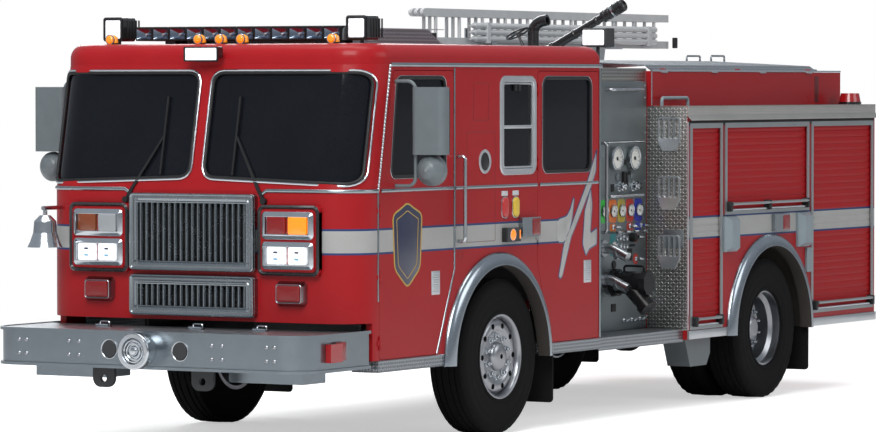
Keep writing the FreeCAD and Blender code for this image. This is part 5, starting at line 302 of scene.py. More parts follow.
def wheel_wells(look):
    """1 on the faces inside the wheel arches, behind the outer skin."""
    front, rear = (square(look.x - x, look.z - ARCH_FOOT) < WELL_RADIUS ** 2 for x in ARCHES)
    return (front | rear) * (abs(look.y) < HALF - 0.0015)


def red_paint(name, low, high, stop=-9.0):
    """Fire-engine red with a white band between two heights, edged in blue, on the outer faces only."""
    look = Look(name, RED, 0.34, coat=0.10, gloss=0.18)
    along = look.x - (CAB_FRONT - CORNER) | 0.0
    across = abs(look.y) - (HALF - CORNER) | 0.0
    outside = (square(along, across) > 0.235 ** 2) * (look.x > stop)
    band = look.within(look.z, low, high) * outside
    white = look.within(look.z, low + 0.014, high - 0.014) * outside
    base = look.mix(look.step(look.noise(3.0), 0.45, 0.75) * 0.10, RED, (0.26, 0.022, 0.026))
    base = look.mix(white, look.mix(band, base, BLUE), WHITE)
    look.colour = look.mix(wheel_wells(look), base, WELL_DARK)
    look.raise_by(look.noise(420, 1.0), 0.00006)
    look.raise_by(white * outside, 0.0002)
    return look.done(vary=0.05, grain=6.0, rough_vary=0.07)


def metal(name, colour, rough, brush=None):
    """Bare metal, brushed along the axes with the small factors."""
    look = Look(name, colour, rough, metal=1.0)
    if brush:
        look.raise_by(look.noise(60, 3.0, brush), 0.00008)
    look.raise_by(look.noise(160, 2.0), 0.000032)
    return look.done(grain=8.0, rough_vary=0.07)


def treadplate(name, colour=(0.42, 0.45, 0.48), pitch=0.024, steps=False):
    """Plate with raised bars, each set crosswise to its neighbours, and smooth where the folding steps are. The bars
    are painted lighter and the plate between them darker, as painted highlight and painted shade.
    """
    look = Look(name, colour, 0.30, metal=0.9)
    u, v = (place / pitch for place in look.flat_place())
    sign = (look.math("FLOOR", u) + look.math("FLOOR", v)) % 2.0 * 2.0 - 1.0
    a = look.math("FRACT", u) - 0.5
    b = (look.math("FRACT", v) - 0.5) * sign
    bar = 1.0 - look.step(look.math("SQRT", square((a + b) * 1.35, (a - b) * 4.6)), 0.55, 1.0)
    if steps:
        cast = look.within(look.x, -0.694, -0.500) * (look.z > 0.8)
        bar = bar * (1.0 - cast)
    look.raise_by(bar, 0.0012)
    # Painted highlight on the raised bars and painted shade on the plate between them: the same metal coloured lighter
    # and darker
    look.colour = look.mix(bar, shade(colour, 0.52), shade(colour, 1.45))
    if steps:
        look.colour = look.mix(cast, look.colour, (0.62, 0.65, 0.68))
    look.raise_by(look.noise(220), 0.00005)
    return look.done(grain=10.0)


def plain(name, colour, rough, coat=0.0, grain=0.0002, scale=300, gloss=0.5):
    """Paint, plastic, rubber or cloth with a fine grain."""
    look = Look(name, colour, rough, coat=coat, gloss=gloss)
    look.raise_by(look.noise(scale), grain)
    return look.done(vary=0.08, grain=12.0)


def glass(name):
    look = Look(name, (0.006, 0.007, 0.010), 0.06, gloss=0.15)
    look.set(("Transmission Weight", 0.08))
    look.raise_by(look.noise(5, 1.0), 0.0001)
    return look.done(vary=0.2, grain=2.0, rough_vary=0.02)


def lens(name, colour, glow=0.0, cells=0.016, coat=1.0):
    """A moulded lamp lens with small prisms behind a smooth face, painted darker in the hollows of the prisms as
    painted shade.
    """
    look = Look(name, colour, 0.16, coat=coat, glow=glow)
    u, v = (look.math("SINE", place * (math.tau / cells)) for place in look.flat_place())
    grid = (u * v + 1.0) * 0.5
    look.raise_by(grid, 0.0009)
    # Painted shade: the lens colour is darkened where the prism bump is low
    look.colour = look.mix(grid, shade(colour, 0.65), colour)
    return look.done(grain=20.0, rough_vary=0.05)


def lamp_cases(name):
    """The housings of the lamps: black, bright or amber by their place."""
    look = Look(name, LAMP_RED, 0.2, coat=0.6)
    x, y, z = look.x, abs(look.y), look.z
    roof = (z > 2.55) * (x > 3.3)
    small = look.within(x, 3.735, 3.822) * (z > 2.700)
    base = (z < 2.280) * (x < -3.8)
    cased, chromed, edge = (look.within(x, low, high) * (y > 1.24)
                            for low, high in ((1.935, 2.152), (1.645, 1.912), (-2.41, -2.13)))
    dark = look.math("MINIMUM", roof + base + cased, 1.0)
    bright = look.math("MINIMUM", chromed + edge, 1.0)
    tone = look.mix(dark, LAMP_RED, (0.008, 0.008, 0.009))
    tone = look.mix(roof * small, tone, (0.95, 0.34, 0.01))
    look.colour = look.mix(bright, tone, (0.30, 0.34, 0.37))
    look.set(("Metallic", bright * 0.9))
    look.raise_by(look.noise(300), 0.0001)
    return look.done(vary=0.04, grain=14.0, rough_vary=0.05)


def shutter_paint(name):
    """Red slats with the white band, inside metal frames under a treadplate drip rail."""
    look = Look(name, RED, 0.46, gloss=0.12)
    z = look.z
    paint = look.mix(look.within(z, 1.262, 1.434), RED, BLUE)
    paint = look.mix(look.within(z, 1.276, 1.420), paint, WHITE)
    frames, rail = abs(look.y) > 1.2446, z > 2.148
    look.colour = look.mix(rail, look.mix(frames, paint, (0.34, 0.36, 0.37)), (0.44, 0.43, 0.41))
    look.set(("Metallic", (frames | rail) * 0.85))
    ribs, other = (look.math("SINE", place * (math.tau / 0.024)) for place in (look.x + z, look.x - z))
    look.raise_by(ribs * other * rail, 0.0012)
    look.raise_by(look.noise(200), 0.00008)
    return look.done(grain=7.0, rough_vary=0.07)


def pump_fitting_metal(name):
    """Bright fittings, with the large intake in black."""
    look = Look(name, (0.5, 0.5, 0.5), 0.25, gloss=0.2)
    black = (look.z < 1.14) * (look.x < -0.045) * (look.z > 0.55)
    look.colour = look.mix(black, (0.44, 0.46, 0.48), (0.010, 0.010, 0.011))
    look.set(("Metallic", 1.0 - black))
    look.raise_by(look.noise(180), 0.00008)
    return look.done(vary=0.07, grain=10.0)


# The material's name, its colour and roughness, and how far it is brushed along each axis
METALS = {
    "chrome": ("bright_chrome", (0.58, 0.61, 0.64), 0.17, (1, 1, 1)),
    "bumper": ("bumper_steel", (0.25, 0.285, 0.31), 0.30, (0.3, 0.3, 18)),
    "alloy": ("brushed_alloy", (0.55, 0.57, 0.59), 0.34, (0.4, 0.4, 22)),
    "polished": ("polished_wheel", (0.36, 0.37, 0.39), 0.30, (6, 0.4, 6)),
    "panel": ("pump_panel_metal", (0.24, 0.27, 0.28), 0.42, (20, 0.4, 0.4)),
    "pale_frame": ("pale_window_frame", (0.58, 0.60, 0.62), 0.38, (0.5, 0.5, 8)),
    "reflector": ("lamp_reflector", (0.30, 0.36, 0.46), 0.14),
    "mirror": ("mirror_glass", (0.30, 0.32, 0.34), 0.05),
    "grille": ("grille_metal", (0.30, 0.33, 0.35), 0.26),
    "trim": ("trim_metal", (0.34, 0.38, 0.40), 0.24),
    "arch": ("arch_ring_metal", (0.37, 0.41, 0.45), 0.20),
}

# Name, colour, roughness, coat, depth and scale of the grain, and gloss, as far as plain's own don't serve
PLAINS = {
    "steel": ("black_frame_steel", (0.022, 0.023, 0.025), 0.52, 0.0, 0.0004, 120),
    "rubber": ("tyre_rubber", (0.0060, 0.0060, 0.0064), 0.82, 0.0, 0.0006, 190, 0.12),
    "flap": ("flap_rubber", (0.0075, 0.0075, 0.008), 0.75, 0.0, 0.0005, 90, 0.2),
    "plastic": ("black_moulded_plastic", BLACK, 0.46, 0.0, 0.0003, 500, 0.3),
    "gloss_black": ("gloss_black", BLACK, 0.28, 0.4),
    "cast": ("cast_block", (0.045, 0.047, 0.05), 0.6, 0.0, 0.0008, 60),
    "cloth": ("seat_cloth", (0.030, 0.032, 0.036), 0.85, 0.0, 0.0006, 700),
    "grey": ("grey_enamel", (0.112, 0.134, 0.144), 0.42, 0.15),
    "housing": ("cover_enamel", (0.20, 0.245, 0.27), 0.38, 0.25),
    "white": ("white_enamel", (0.46, 0.47, 0.48), 0.38, 0.3),
    "dial": ("gauge_dial", (0.62, 0.62, 0.58), 0.5, 0.2, 0.00003),
    "liner": ("arch_liner", WELL_DARK, 0.7, 0.0, 0.0006, 80, 0.2),
    # Near-black discs put in the front wheels' hand holes as painted shade, and one at the hub's centre
    "hole": ("hand_hole_dark", (0.003, 0.003, 0.003), 0.9, 0.0, 0.0002, 300, 0.05),
    "seam": ("panel_line", (0.10, 0.006, 0.008), 0.45),
    "badge": ("badge_field", (0.012, 0.016, 0.05), 0.35, 0.4),
    "badge_rim": ("badge_rim", (0.42, 0.27, 0.05), 0.35, 0.4),
    "blue_glow": ("lamp_blue_tint", (0.18, 0.42, 0.62), 0.3),
    "red_pull": ("red_pull", (0.45, 0.02, 0.02), 0.35, 0.3),
    "yellow_pull": ("yellow_pull", (0.62, 0.42, 0.03), 0.4, 0.3),
    "blue_stripe": ("blue_stripe", BLUE, 0.32, 0.4, 0.00006),
    "white_stripe": ("white_stripe", WHITE, 0.32, 0.4, 0.00006),
}
TAGS = {
    "tag_green": (0.01, 0.42, 0.03), "tag_orange": (0.60, 0.13, 0.01), "tag_yellow": (0.38, 0.29, 0.03),
    "tag_red": (0.42, 0.02, 0.01), "tag_blue": (0.01, 0.02, 0.30), "tag_teal": (0.01, 0.17, 0.18),
}
# Name, colour, glow, size of the prisms and coat
LENSES = {
    "amber": ("amber_lens", (0.95, 0.24, 0.004), 0.65),
    "amber_dark": ("amber_dark_lens", (0.22, 0.045, 0.006)),
    "red_lens": ("red_lens", (0.24, 0.003, 0.004), 0.0, 0.016, 0.5),
    "clear_lens": ("clear_lens", (0.34, 0.36, 0.38), 0.0, 0.022),
    "head_lens": ("headlamp_lens", (0.85, 0.88, 0.92), 0.55, 0.05),
}
# The look of each CAD node; the rest are grey
NODE_LOOKS = {
    "cab_paint": "cab_shell front_door_left front_door_right crew_door_left crew_door_right",
    "roof_paint": "cab_roof headlamp_clusters",
    "body_paint": "pumper_body",
    "shutters": "roller_shutters",
    "steel": "chassis_frame axles steering_knuckle_left steering_knuckle_right driveline_and_tanks"
             " light_mast_head cab_floor",
    "cast": "engine_block",
    "bumper": "front_bumper",
    "grille": "radiator_grille",
    "chrome": "siren_and_horns warning_bell cab_handrails",
    "fittings": "pump_fittings",
    "gloss_black": "deck_gun_base deck_gun_swivel deck_gun_barrel",
    "alloy": "light_mast_tube wheel_arch_rings ladder_rack",
    "polished": "front_wheel_left front_wheel_right rear_wheels_left rear_wheels_right",
    "tread": "roof_treadplate_box hosebed_cover_left hosebed_cover_right steps_and_running_boards pump_housing",
    "panel": "pump_panels",
    "white": "ladders",
    "rubber": "front_tyre_left front_tyre_right rear_tyres_left rear_tyres_right",
    "flap": "mud_flaps",
    "glass": "cab_glass front_door_glass_left front_door_glass_right crew_door_glass_left crew_door_glass_right",
    "lamps": "marker_and_warning_lamps",
    "plastic": "dashboard windscreen_wipers",
    "cloth": "cab_seats",
    "housing": "body_side_fittings",
}


def make_looks():
    looks = {
        "cab_paint": red_paint("cab_red_paint", 1.300, 1.472, 1.23),
        "body_paint": red_paint("body_red_paint", 1.262, 1.434),
        "roof_paint": red_paint("roof_red_paint", 5.0, 5.1),
        "tread": treadplate("treadplate", steps=True),
        "pale_tread": treadplate("pale_treadplate", (0.45, 0.45, 0.43), 0.025),
        "glass": glass("dark_window_glass"),
        "lamps": lamp_cases("lamp_cases"),
        "shutters": shutter_paint("shutter_paint"),
        "fittings": pump_fitting_metal("pump_fitting_metal"),
    }
    for make, table in ((metal, METALS), (plain, PLAINS), (lens, LENSES)):
        looks.update({key: make(*row) for key, row in table.items()})
    looks.update({name: plain(name, colour, 0.4, 0.2, 0.00005) for name, colour in TAGS.items()})
    return looks


def dress_nodes():
    by_node = {name: look for look, names in NODE_LOOKS.items() for name in names.split()}
    for name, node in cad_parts.items():
        node.data.materials.clear()
        node.data.materials.append(LOOKS[by_node.get(name, "grey")])


# Building small forms: each form is a list of points and a list of faces

def flipped(form):
    """The same form on the other side of the vehicle."""
    points, faces = form
    return [(x, -y, z) for x, y, z in points], [tuple(reversed(face)) for face in faces]


def joined(forms):
    points, faces = [], []
    for more_points, more_faces in forms:
        start = len(points)
        points += [tuple(point) for point in more_points]
        faces += [tuple(start + index for index in face) for face in more_faces]
    return points, faces


def put(mesh, work, look, body="vehicle", sharp=None):
    """The object of a finished mesh, riding on its body."""
    work.to_mesh(mesh)
    work.free()
    for face in mesh.polygons:
        face.use_smooth = True
    if sharp:
        mesh.set_sharp_from_angle(angle=math.radians(sharp))
    mesh.materials.append(LOOKS[look])
    made = link(bpy.data.objects.new(mesh.name, mesh))
    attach(made, body)
    return made


def piece(name, look, both=(), once=(), body="vehicle", sharp=38):
    """One piece of many small forms; those in both stand on either side of the vehicle."""
    mesh = bpy.data.meshes.new(name)
    points, faces = joined([form for pair in both for form in (pair, flipped(pair))] + list(once))
    mesh.from_pydata(points, [], faces)
    work = bmesh.new()
    work.from_mesh(mesh)
    bmesh.ops.remove_doubles(work, verts=work.verts, dist=0.00001)
    bmesh.ops.recalc_face_normals(work, faces=work.faces)
    return put(mesh, work, look, body, sharp)


def twins(stem, look, forms, body=None, sharp=38, replaces=None, ends=("left", "right")):
    """A piece on the left and its mirror image on the right, each on its own body if one is named."""
    for end, tail in zip(ends, "lr"):
        made = piece(f"{stem}_{end}", look, once=[form if tail == "l" else flipped(form) for form in forms],
                     body=f"{body}_{tail}" if body else "vehicle", sharp=sharp)
        if replaces:
            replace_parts(made, f"{replaces}_{end}")


def level(points, plane, depth):
    """Points of a plane, set at a depth across it."""
    places = {"side": lambda a, b: (a, depth, b), "front": lambda a, b: (depth, a, b),
              "top": lambda a, b: (a, b, depth)}
    return [places[plane](a, b) for a, b in points]


def rounded(a0, b0, a1, b1, radius, steps=4):
    """A rectangle with round corners, as points in a plane."""
    radius = max(0.0002, min(radius, (a1 - a0) * 0.499, (b1 - b0) * 0.499))
    points = []
    for a, b, first in ((a1 - radius, b1 - radius, 0), (a0 + radius, b1 - radius, 90),
                        (a0 + radius, b0 + radius, 180), (a1 - radius, b0 + radius, 270)):
        for step in range(steps + 1):
            turn = math.radians(first + 90 * step / steps)
            points.append((a + radius * math.cos(turn), b + radius * math.sin(turn)))
    return points


def box(a0, b0, a1, b1):
    return [(a0, b0), (a1, b0), (a1, b1), (a0, b1)]


def circle(a, b, radius, steps=28):
    turns = [math.tau * k / steps for k in range(steps)]
    return [(a + radius * math.cos(turn), b + radius * math.sin(turn)) for turn in turns]


def eased(before, here, after, reach, steps):
    """The points of a rounded corner."""
    start = here + (before - here).normalized() * reach
    end = here + (after - here).normalized() * reach
    shares = [step / steps for step in range(steps + 1)]
    return [start * (1 - t) ** 2 + here * 2 * t * (1 - t) + end * t * t for t in shares]


def softened(corners, radius, steps=4):
    """A polygon with each corner rounded."""
    points, count = [], len(corners)
    for index in range(count):
        before, here, after = (Vector(corners[(index + k) % count]) for k in (-1, 0, 1))
        reach = min(radius, (before - here).length * 0.45, (after - here).length * 0.45)
        points += [tuple(point) for point in eased(before, here, after, reach, steps)]
    return points


def bend(corners, radius, steps=5):
    """An open path in space with its inner corners rounded."""
    corners = [Vector(corner) for corner in corners]
    path = corners[:1]
    for before, here, after in zip(corners, corners[1:], corners[2:]):
        reach = min(radius, (before - here).length * 0.48, (after - here).length * 0.48)
        path += eased(before, here, after, reach, steps)
    return path + corners[-1:]


def inset(points, distance):
    """The polygon moved inward by a distance, with as many points."""
    following = points[1:] + points[:1]
    area = sum(here[0] * after[1] - after[0] * here[1] for here, after in zip(points, following))
    side = 1 if area > 0 else -1
    moved = []
    for before, here, after in zip(points[-1:] + points[:-1], points, following):
        one, two = Vector(here) - Vector(before), Vector(after) - Vector(here)
        if one.length < 1e-7:
            one = two
        if two.length < 1e-7:
            two = one
        one, two = one.normalized(), two.normalized()
        normal = Vector((-one.y, one.x)) * side
        bisector = normal + Vector((-two.y, two.x)) * side
        if bisector.length < 1e-6:
            bisector = normal
        bisector = bisector.normalized()
        moved.append(tuple(Vector(here) + bisector * (distance / max(0.4, bisector.dot(normal)))))
    return moved


def loft(loops, closed_start=True, closed_end=True):
    """Joins loops of equally many points into one skin."""
    count = len(loops[0])
    points = [point for loop in loops for point in loop]
    faces = []
    for start in range(0, len(points) - count, count):
        for index in range(count):
            a, b = start + index, start + (index + 1) % count
            faces.append((a, b, b + count, a + count))
    if closed_start:
        faces.append(tuple(reversed(range(count))))
    if closed_end:
        faces.append(tuple(range(len(points) - count, len(points))))
    return points, faces


def slab(points, plane, low, high, edge=0.002, crown=0.0):
    """A plate with a softened outer edge, crowned a little if asked."""
    toward = 1 if high > low else -1
    base = inset(points, edge)
    loops = [level(points, plane, low), level(points, plane, high - edge * toward),
             level(inset(points, edge * 0.3), plane, high - edge * 0.3 * toward), level(base, plane, high)]
    if crown:
        middle = sum((Vector(point) for point in points), Vector((0, 0))) / len(points)
        for share, rise in ((0.8, 0.45), (0.5, 0.8), (0.2, 0.97)):
            shrunk = [tuple(middle + (Vector(point) - middle) * share) for point in base]
            loops.append(level(shrunk, plane, high + crown * rise * toward))
    return loft(loops)


def ring(outer, inner, plane, low, high, edge=0.002):
    """A frame between two outlines of equally many points."""
    foot = high - edge * (1 if high > low else -1)
    loops = [level(outer, plane, low), level(outer, plane, foot), level(inset(outer, edge), plane, high),
             level(inset(inner, -edge), plane, high), level(inner, plane, foot), level(inner, plane, low)]
    return loft(loops + loops[:1], False, False)


def plate(plane, corners, radius, low, high, edge=0.002, crown=0.0, steps=4):
    """A slab on a rectangle with round corners."""
    return slab(rounded(*corners, radius, steps), plane, low, high, edge, crown)


def frame_form(plane, outer, inner, low, high, edge=0.002, steps=4):
    """A ring between two rectangles, each given with its corner radius."""
    return ring(rounded(*outer, steps), rounded(*inner, steps), plane, low, high, edge)


def bevelled(outline, section, base, closed_start=True, closed_end=True):
    """A moulding on the front: pairs of inset and height over the base."""
    loops = [level(inset(outline, step), "front", base + out) for step, out in section]
    return loft(loops, closed_start, closed_end)


def lathe(profile, axis, centre, segments=32):
    """A turned form: pairs of place along the axis and radius."""
    loops = []
    for along, radius in profile:
        loop = []
        for c, s in circle(0, 0, radius, segments):
            offset = {"x": (along, c, s), "y": (s, along, c), "z": (c, s, along)}[axis]
            loop.append(tuple(Vector(centre) + Vector(offset)))
        loops.append(loop)
    return loft(loops, profile[0][1] > 1e-6, profile[-1][1] > 1e-6)


def rod(axis, centre, low, high, radius, segments):
    return lathe([(low, 0.0), (low, radius), (high, radius), (high, 0.0)], axis, centre, segments)


def knob(x, z, segments, *steps):
    """A turned form on the pump panel: pairs of height over the panel and radius."""
    return lathe([(PANEL + out, radius) for out, radius in steps], "y", (x, 0, z), segments)


def tube(path, radius, sides=10, closed=False):
    """A round bar along points, with frames carried along so that it does not twist."""
    path = [Vector(point) for point in path]
    count = len(path)
    loops, normal = [], None
    for index in range(count):
        if closed:
            tangent = (path[(index + 1) % count] - path[index - 1]).normalized()
        else:
            tangent = (path[min(index + 1, count - 1)] - path[max(index - 1, 0)]).normalized()
        if normal is None:
            normal = tangent.orthogonal().normalized()
        normal = (normal - tangent * normal.dot(tangent)).normalized()
        side = tangent.cross(normal)
        size = radius[index] if isinstance(radius, (list, tuple)) else radius
        loops.append([tuple(path[index] + (normal * c + side * s) * size) for c, s in circle(0, 0, 1, sides)])
    if closed:
        first, last = Vector(loops[0][0]), loops[-1]
        shift = min(range(sides), key=lambda k: (Vector(last[k]) - first).length)
        loops.append(loops[0][-shift:] + loops[0][:-shift] if shift else loops[0])
    return loft(loops, not closed, not closed)


def strip(path, normals, width, height):
    """A half-round moulding along points that lie on a wall."""
    path = [Vector(point) for point in path]
    last = len(path) - 1
    loops = []
    for index, here in enumerate(path):
        tangent = (path[min(index + 1, last)] - path[max(index - 1, 0)]).normalized()
        normal = Vector(normals[index] if isinstance(normals, list) else normals).normalized()
        side = normal.cross(tangent).normalized()
        section = ((-0.5, -0.2), (-0.5, 0.35), (-0.32, 0.8), (0, 1), (0.32, 0.8), (0.5, 0.35), (0.5, -0.2))
        loops.append([tuple(here + side * width * a + normal * height * b) for a, b in section])
    return loft(loops)


def line(points, width, height):
    """A moulding on the cab's side wall through pairs of X and Z."""
    return strip([(x, SIDE, z) for x, z in points], OUT, width, height)


def nut(centre, axis, radius, height):
    """A six-sided nut on a washer with its stud end."""
    parts = ((18, (0, 1.35), (0.18, 1.35), (0.2, 0.9)), (6, (0.15, 1), (0.85, 1), (1, 0.8)),
             (10, (0.9, 0.5), (1.35, 0.5), (1.45, 0.35)))
    return joined([lathe([(height * a, radius * r) for a, r in profile], axis, centre, sides)
                   for sides, *profile in parts])


def wall_front(y, z):
    """A point on the cab's leaning front and its outward direction."""
    x = CAB_FRONT - 0.170 * max(0.0, min(1.0, (z - BELT) / (GUTTER - BELT)))
    tilt = 0.2 if z > BELT else 0.0
    dy = min(abs(y) - (HALF - CORNER), CORNER)
    if dy <= 0:
        return Vector((x, y, z)), Vector((1, 0, tilt)).normalized()
    dx = math.sqrt(max(0.0, CORNER * CORNER - dy * dy))
    return Vector((x - CORNER + dx, y, z)), Vector((dx, math.copysign(dy, y), tilt * dx)).normalized()


# The cab

def cab_trim():
    """Mouldings on the belt, the gutter and the door gaps, and the windscreens' gaskets."""
    corner_x, corner_y = CAB_FRONT - CORNER, HALF - CORNER
    path = [(3.826, SIDE, BELT)]
    for step in range(13):
        turn = math.radians(90 * step / 12)
        path.append((corner_x + 0.2705 * math.sin(turn), corner_y + 0.2705 * math.cos(turn), BELT))
    path += [(CAB_FRONT + 0.0005, 0.56, BELT), (CAB_FRONT + 0.0005, 0.53, BELT - 0.02)]
    normals = [(1, 0, 0) if y < corner_y else OUT if x < corner_x else (x - corner_x, y - corner_y, 0)
               for x, y, _ in path]
    piece("belt_and_gutter_mouldings", "trim", [
        line(((CAB_BACK + 0.004, GUTTER), (3.664, GUTTER)), 0.026, 0.011),
        strip(path, normals, 0.024, 0.011),
        line(((1.645, BELT), (2.798, BELT)), 0.022, 0.009),
        line(((3.668, GUTTER), (3.826, BELT), (3.826, 0.99)), 0.012, 0.008),
        line(((2.8105, GUTTER - 0.02), (2.8105, 1.173), (3.052, 0.608)), 0.014, 0.008),
        line(((0.704, GUTTER - 0.02), (0.704, 0.605)), 0.018, 0.009)])
    beads = []
    for step in range(34):
        share = step / 33
        centre = (3.668 + 0.158 * share, SIDE + 0.004, GUTTER - 0.01 - (GUTTER - BELT - 0.02) * share)
        bead = [(-0.009, 0.0), (-0.008, 0.006), (0.0, 0.0085), (0.008, 0.006), (0.009, 0.0)]
        beads.append(lathe(bead, "z", centre, 8))
    piece("gutter_bead", "chrome", beads)
    for door, low, high in (("front_door", 2.832, 3.788), ("crew_door", 0.732, 1.610)):
        form = line(((low, BELT), (high, BELT)), 0.022, 0.009)
        twins(f"{door}_mouldings", "trim", [form], door)
    outline = softened([(0.052, 1.800), (1.212, 1.758), (1.212, 2.500), (0.052, 2.500)], 0.09, 6)
    dense = [(here[0] + (after[0] - here[0]) * step / 4, here[1] + (after[1] - here[1]) * step / 4)
             for here, after in zip(outline, outline[1:] + outline[:1]) for step in range(4)]
    for name, look, slot, offset, out, radius in (
            ("windscreen_gaskets", "plastic", "black_plastic", 0.004, 0.004, 0.0125),
            ("windscreen_bright_beads", "chrome", "bright_metal", -0.010, 0.006, 0.0085)):
        walls = [wall_front(y, z) for y, z in inset(dense, offset)]
        piece(name, look, [tube([place + normal * out for place, normal in walls], radius, 8, closed=True)])


def window_frames():
    """Rubber round each side window, and the wide pale frame of the sliding window."""
    face = HALF + 0.0003
    front = softened([(3.659, 1.806), (2.933, 1.806), (2.933, 2.465), (3.579, 2.465)], 0.06)
    for door, outline in (("front_door", front), ("crew_door", rounded(0.837, 1.806, 1.558, 2.465, 0.06))):
        rubber = ring(inset(outline, -0.010), inset(outline, 0.013), "side", face - 0.010, face + 0.006, 0.005)
        twins(f"{door}_window_rubber", "plastic", [rubber], door)
        bead = ring(inset(outline, -0.0135), inset(outline, -0.009), "side", face - 0.001, face + 0.0045, 0.0012)
        twins(f"{door}_window_bead", "chrome", [bead], door)
    mid = rounded(1.673, 1.806, 2.166, 2.465, 0.06)
    port = (2.390, 1.891)
    piece("sliding_window_frames", "pale_frame", [
        ring(inset(mid, -0.014), inset(mid, 0.030), "side", face - 0.004, face + 0.010, 0.007),
        ring(inset(mid, 0.033), inset(mid, 0.046), "side", face - 0.010, face + 0.004, 0.003),
        plate("side", (1.712, 2.113, 2.126, 2.137), 0.004, face - 0.012, face + 0.003, 0.003),
        ring(circle(*port, 0.084), circle(*port, 0.062), "side", face - 0.001, face + 0.007, 0.003)])
    latches = [plate("side", (x - 0.014, 2.375, x + 0.014, 2.420), 0.004, face - 0.008, face + 0.008, 0.003)
               for x in (1.955, 1.905)]
    latches.append(slab(circle(*port, 0.060), "side", face - 0.006, face + 0.001, 0.001))
    piece("sliding_window_latches", "plastic", latches)


def cab_small_things():
    """Pull handles, small plates, vents, the panel lines and the blank shields of the cab's side."""
    rims = []
    for colour, slot, x in (("red", "lamp_lens", 2.108), ("yellow", "yellow_plastic", 1.955)):
        handle = plate("side", (x - 0.042, 1.500, x + 0.042, 1.638), 0.036, SIDE, SIDE + 0.014, 0.006, 0.004, 6)
        piece(f"{colour}_pull_handles", f"{colour}_pull", [handle])
        rims.append(frame_form("side", (x - 0.050, 1.492, x + 0.050, 1.646, 0.042),
                               (x - 0.041, 1.501, x + 0.041, 1.637, 0.035), SIDE - 0.0005, SIDE + 0.006, 0.002, 6))
    piece("pull_handle_rims", "chrome", rims)
    piece("small_white_plates", "white", [
        plate("side", (x - 0.044, 1.650, x + 0.044, 1.684), 0.003, SIDE, SIDE + 0.002, 0.001)
        for x in (2.110, 1.953)])
    for door, x in (("front_door", 3.010), ("crew_door", 0.836)):
        forms = [plate("side", (x, 1.006, x + 0.112, 1.166), 0.006, SIDE, SIDE + 0.003, 0.0015)]
        for row in range(9):
            z = 1.020 + row * 0.0155
            forms.append(plate("side", (x + 0.010, z, x + 0.102, z + 0.009), 0.004, SIDE + 0.002, SIDE + 0.007, 0.003))
        twins(f"{door}_ribbed_plate", "pale_frame", forms, door)
    panels = [rounded(*corners, 0.008) for corners in
              ((2.333, 2.172, 2.546, 2.429), (2.241, 1.343, 2.639, 2.095), (2.694, 1.241, 2.763, 1.286))]
    piece("side_panel_lines", "seam", [
        ring(outline, inset(outline, 0.0035), "side", SIDE - 0.0006, SIDE + 0.0004, 0.0004) for outline in panels])
    shield = softened([(3.442, 1.060), (3.615, 1.190), (3.640, 1.560), (3.530, 1.600),
                       (3.442, 1.640), (3.354, 1.600), (3.244, 1.560), (3.269, 1.190)], 0.05, 5)
    field = slab(inset(shield, 0.012), "side", SIDE, SIDE + 0.0022, 0.001)
    twins("door_badge_plates", "badge", [field], "front_door")
    edges = [ring(shield, inset(shield, 0.012), "side", SIDE, SIDE + 0.0030, 0.0012),
             ring(inset(shield, 0.050), inset(shield, 0.056), "side", SIDE + 0.0015, SIDE + 0.0032, 0.0008)]
    twins("door_badge_rims", "badge_rim", edges, "front_door")


def slash():
    """The white strokes, edged in blue, in which the side band ends on the crew door."""
    strokes = (
        [(1.330, 1.300), (1.330, 1.472), (1.205, 1.490), (1.149, 1.540), (1.106, 1.620), (1.088, 1.606),
         (1.120, 1.470), (1.150, 1.395), (1.240, 1.300)],
        [(1.327, 1.062), (1.298, 1.044), (1.268, 1.066), (1.140, 1.330), (0.840, 1.680), (0.760, 1.800),
         (0.746, 1.960), (0.900, 1.720), (1.137, 1.420), (1.245, 1.300)],
        [(0.840, 1.684), (0.934, 1.521), (0.967, 1.282), (0.914, 1.194), (0.865, 1.243), (0.744, 1.275),
         (0.744, 1.395), (0.846, 1.358), (0.815, 1.560)])
    for name, look, grow, height in (("edges", "blue", -0.005, 0.0006), ("strokes", "white", 0.006, 0.0012)):
        forms = [slab(inset(softened(corners, 0.02, 3), grow), "side", SIDE, SIDE + height + index * 0.0001, 0.0003)
                 for index, corners in enumerate(strokes)]
        if look == "white":
            forms.append(slab(box(1.206, 1.3145, 1.350, 1.4575), "side", SIDE, SIDE + 0.0013, 0.0002))
        twins(f"slash_{name}", f"{look}_stripe", forms, "crew_door", ends="lr")


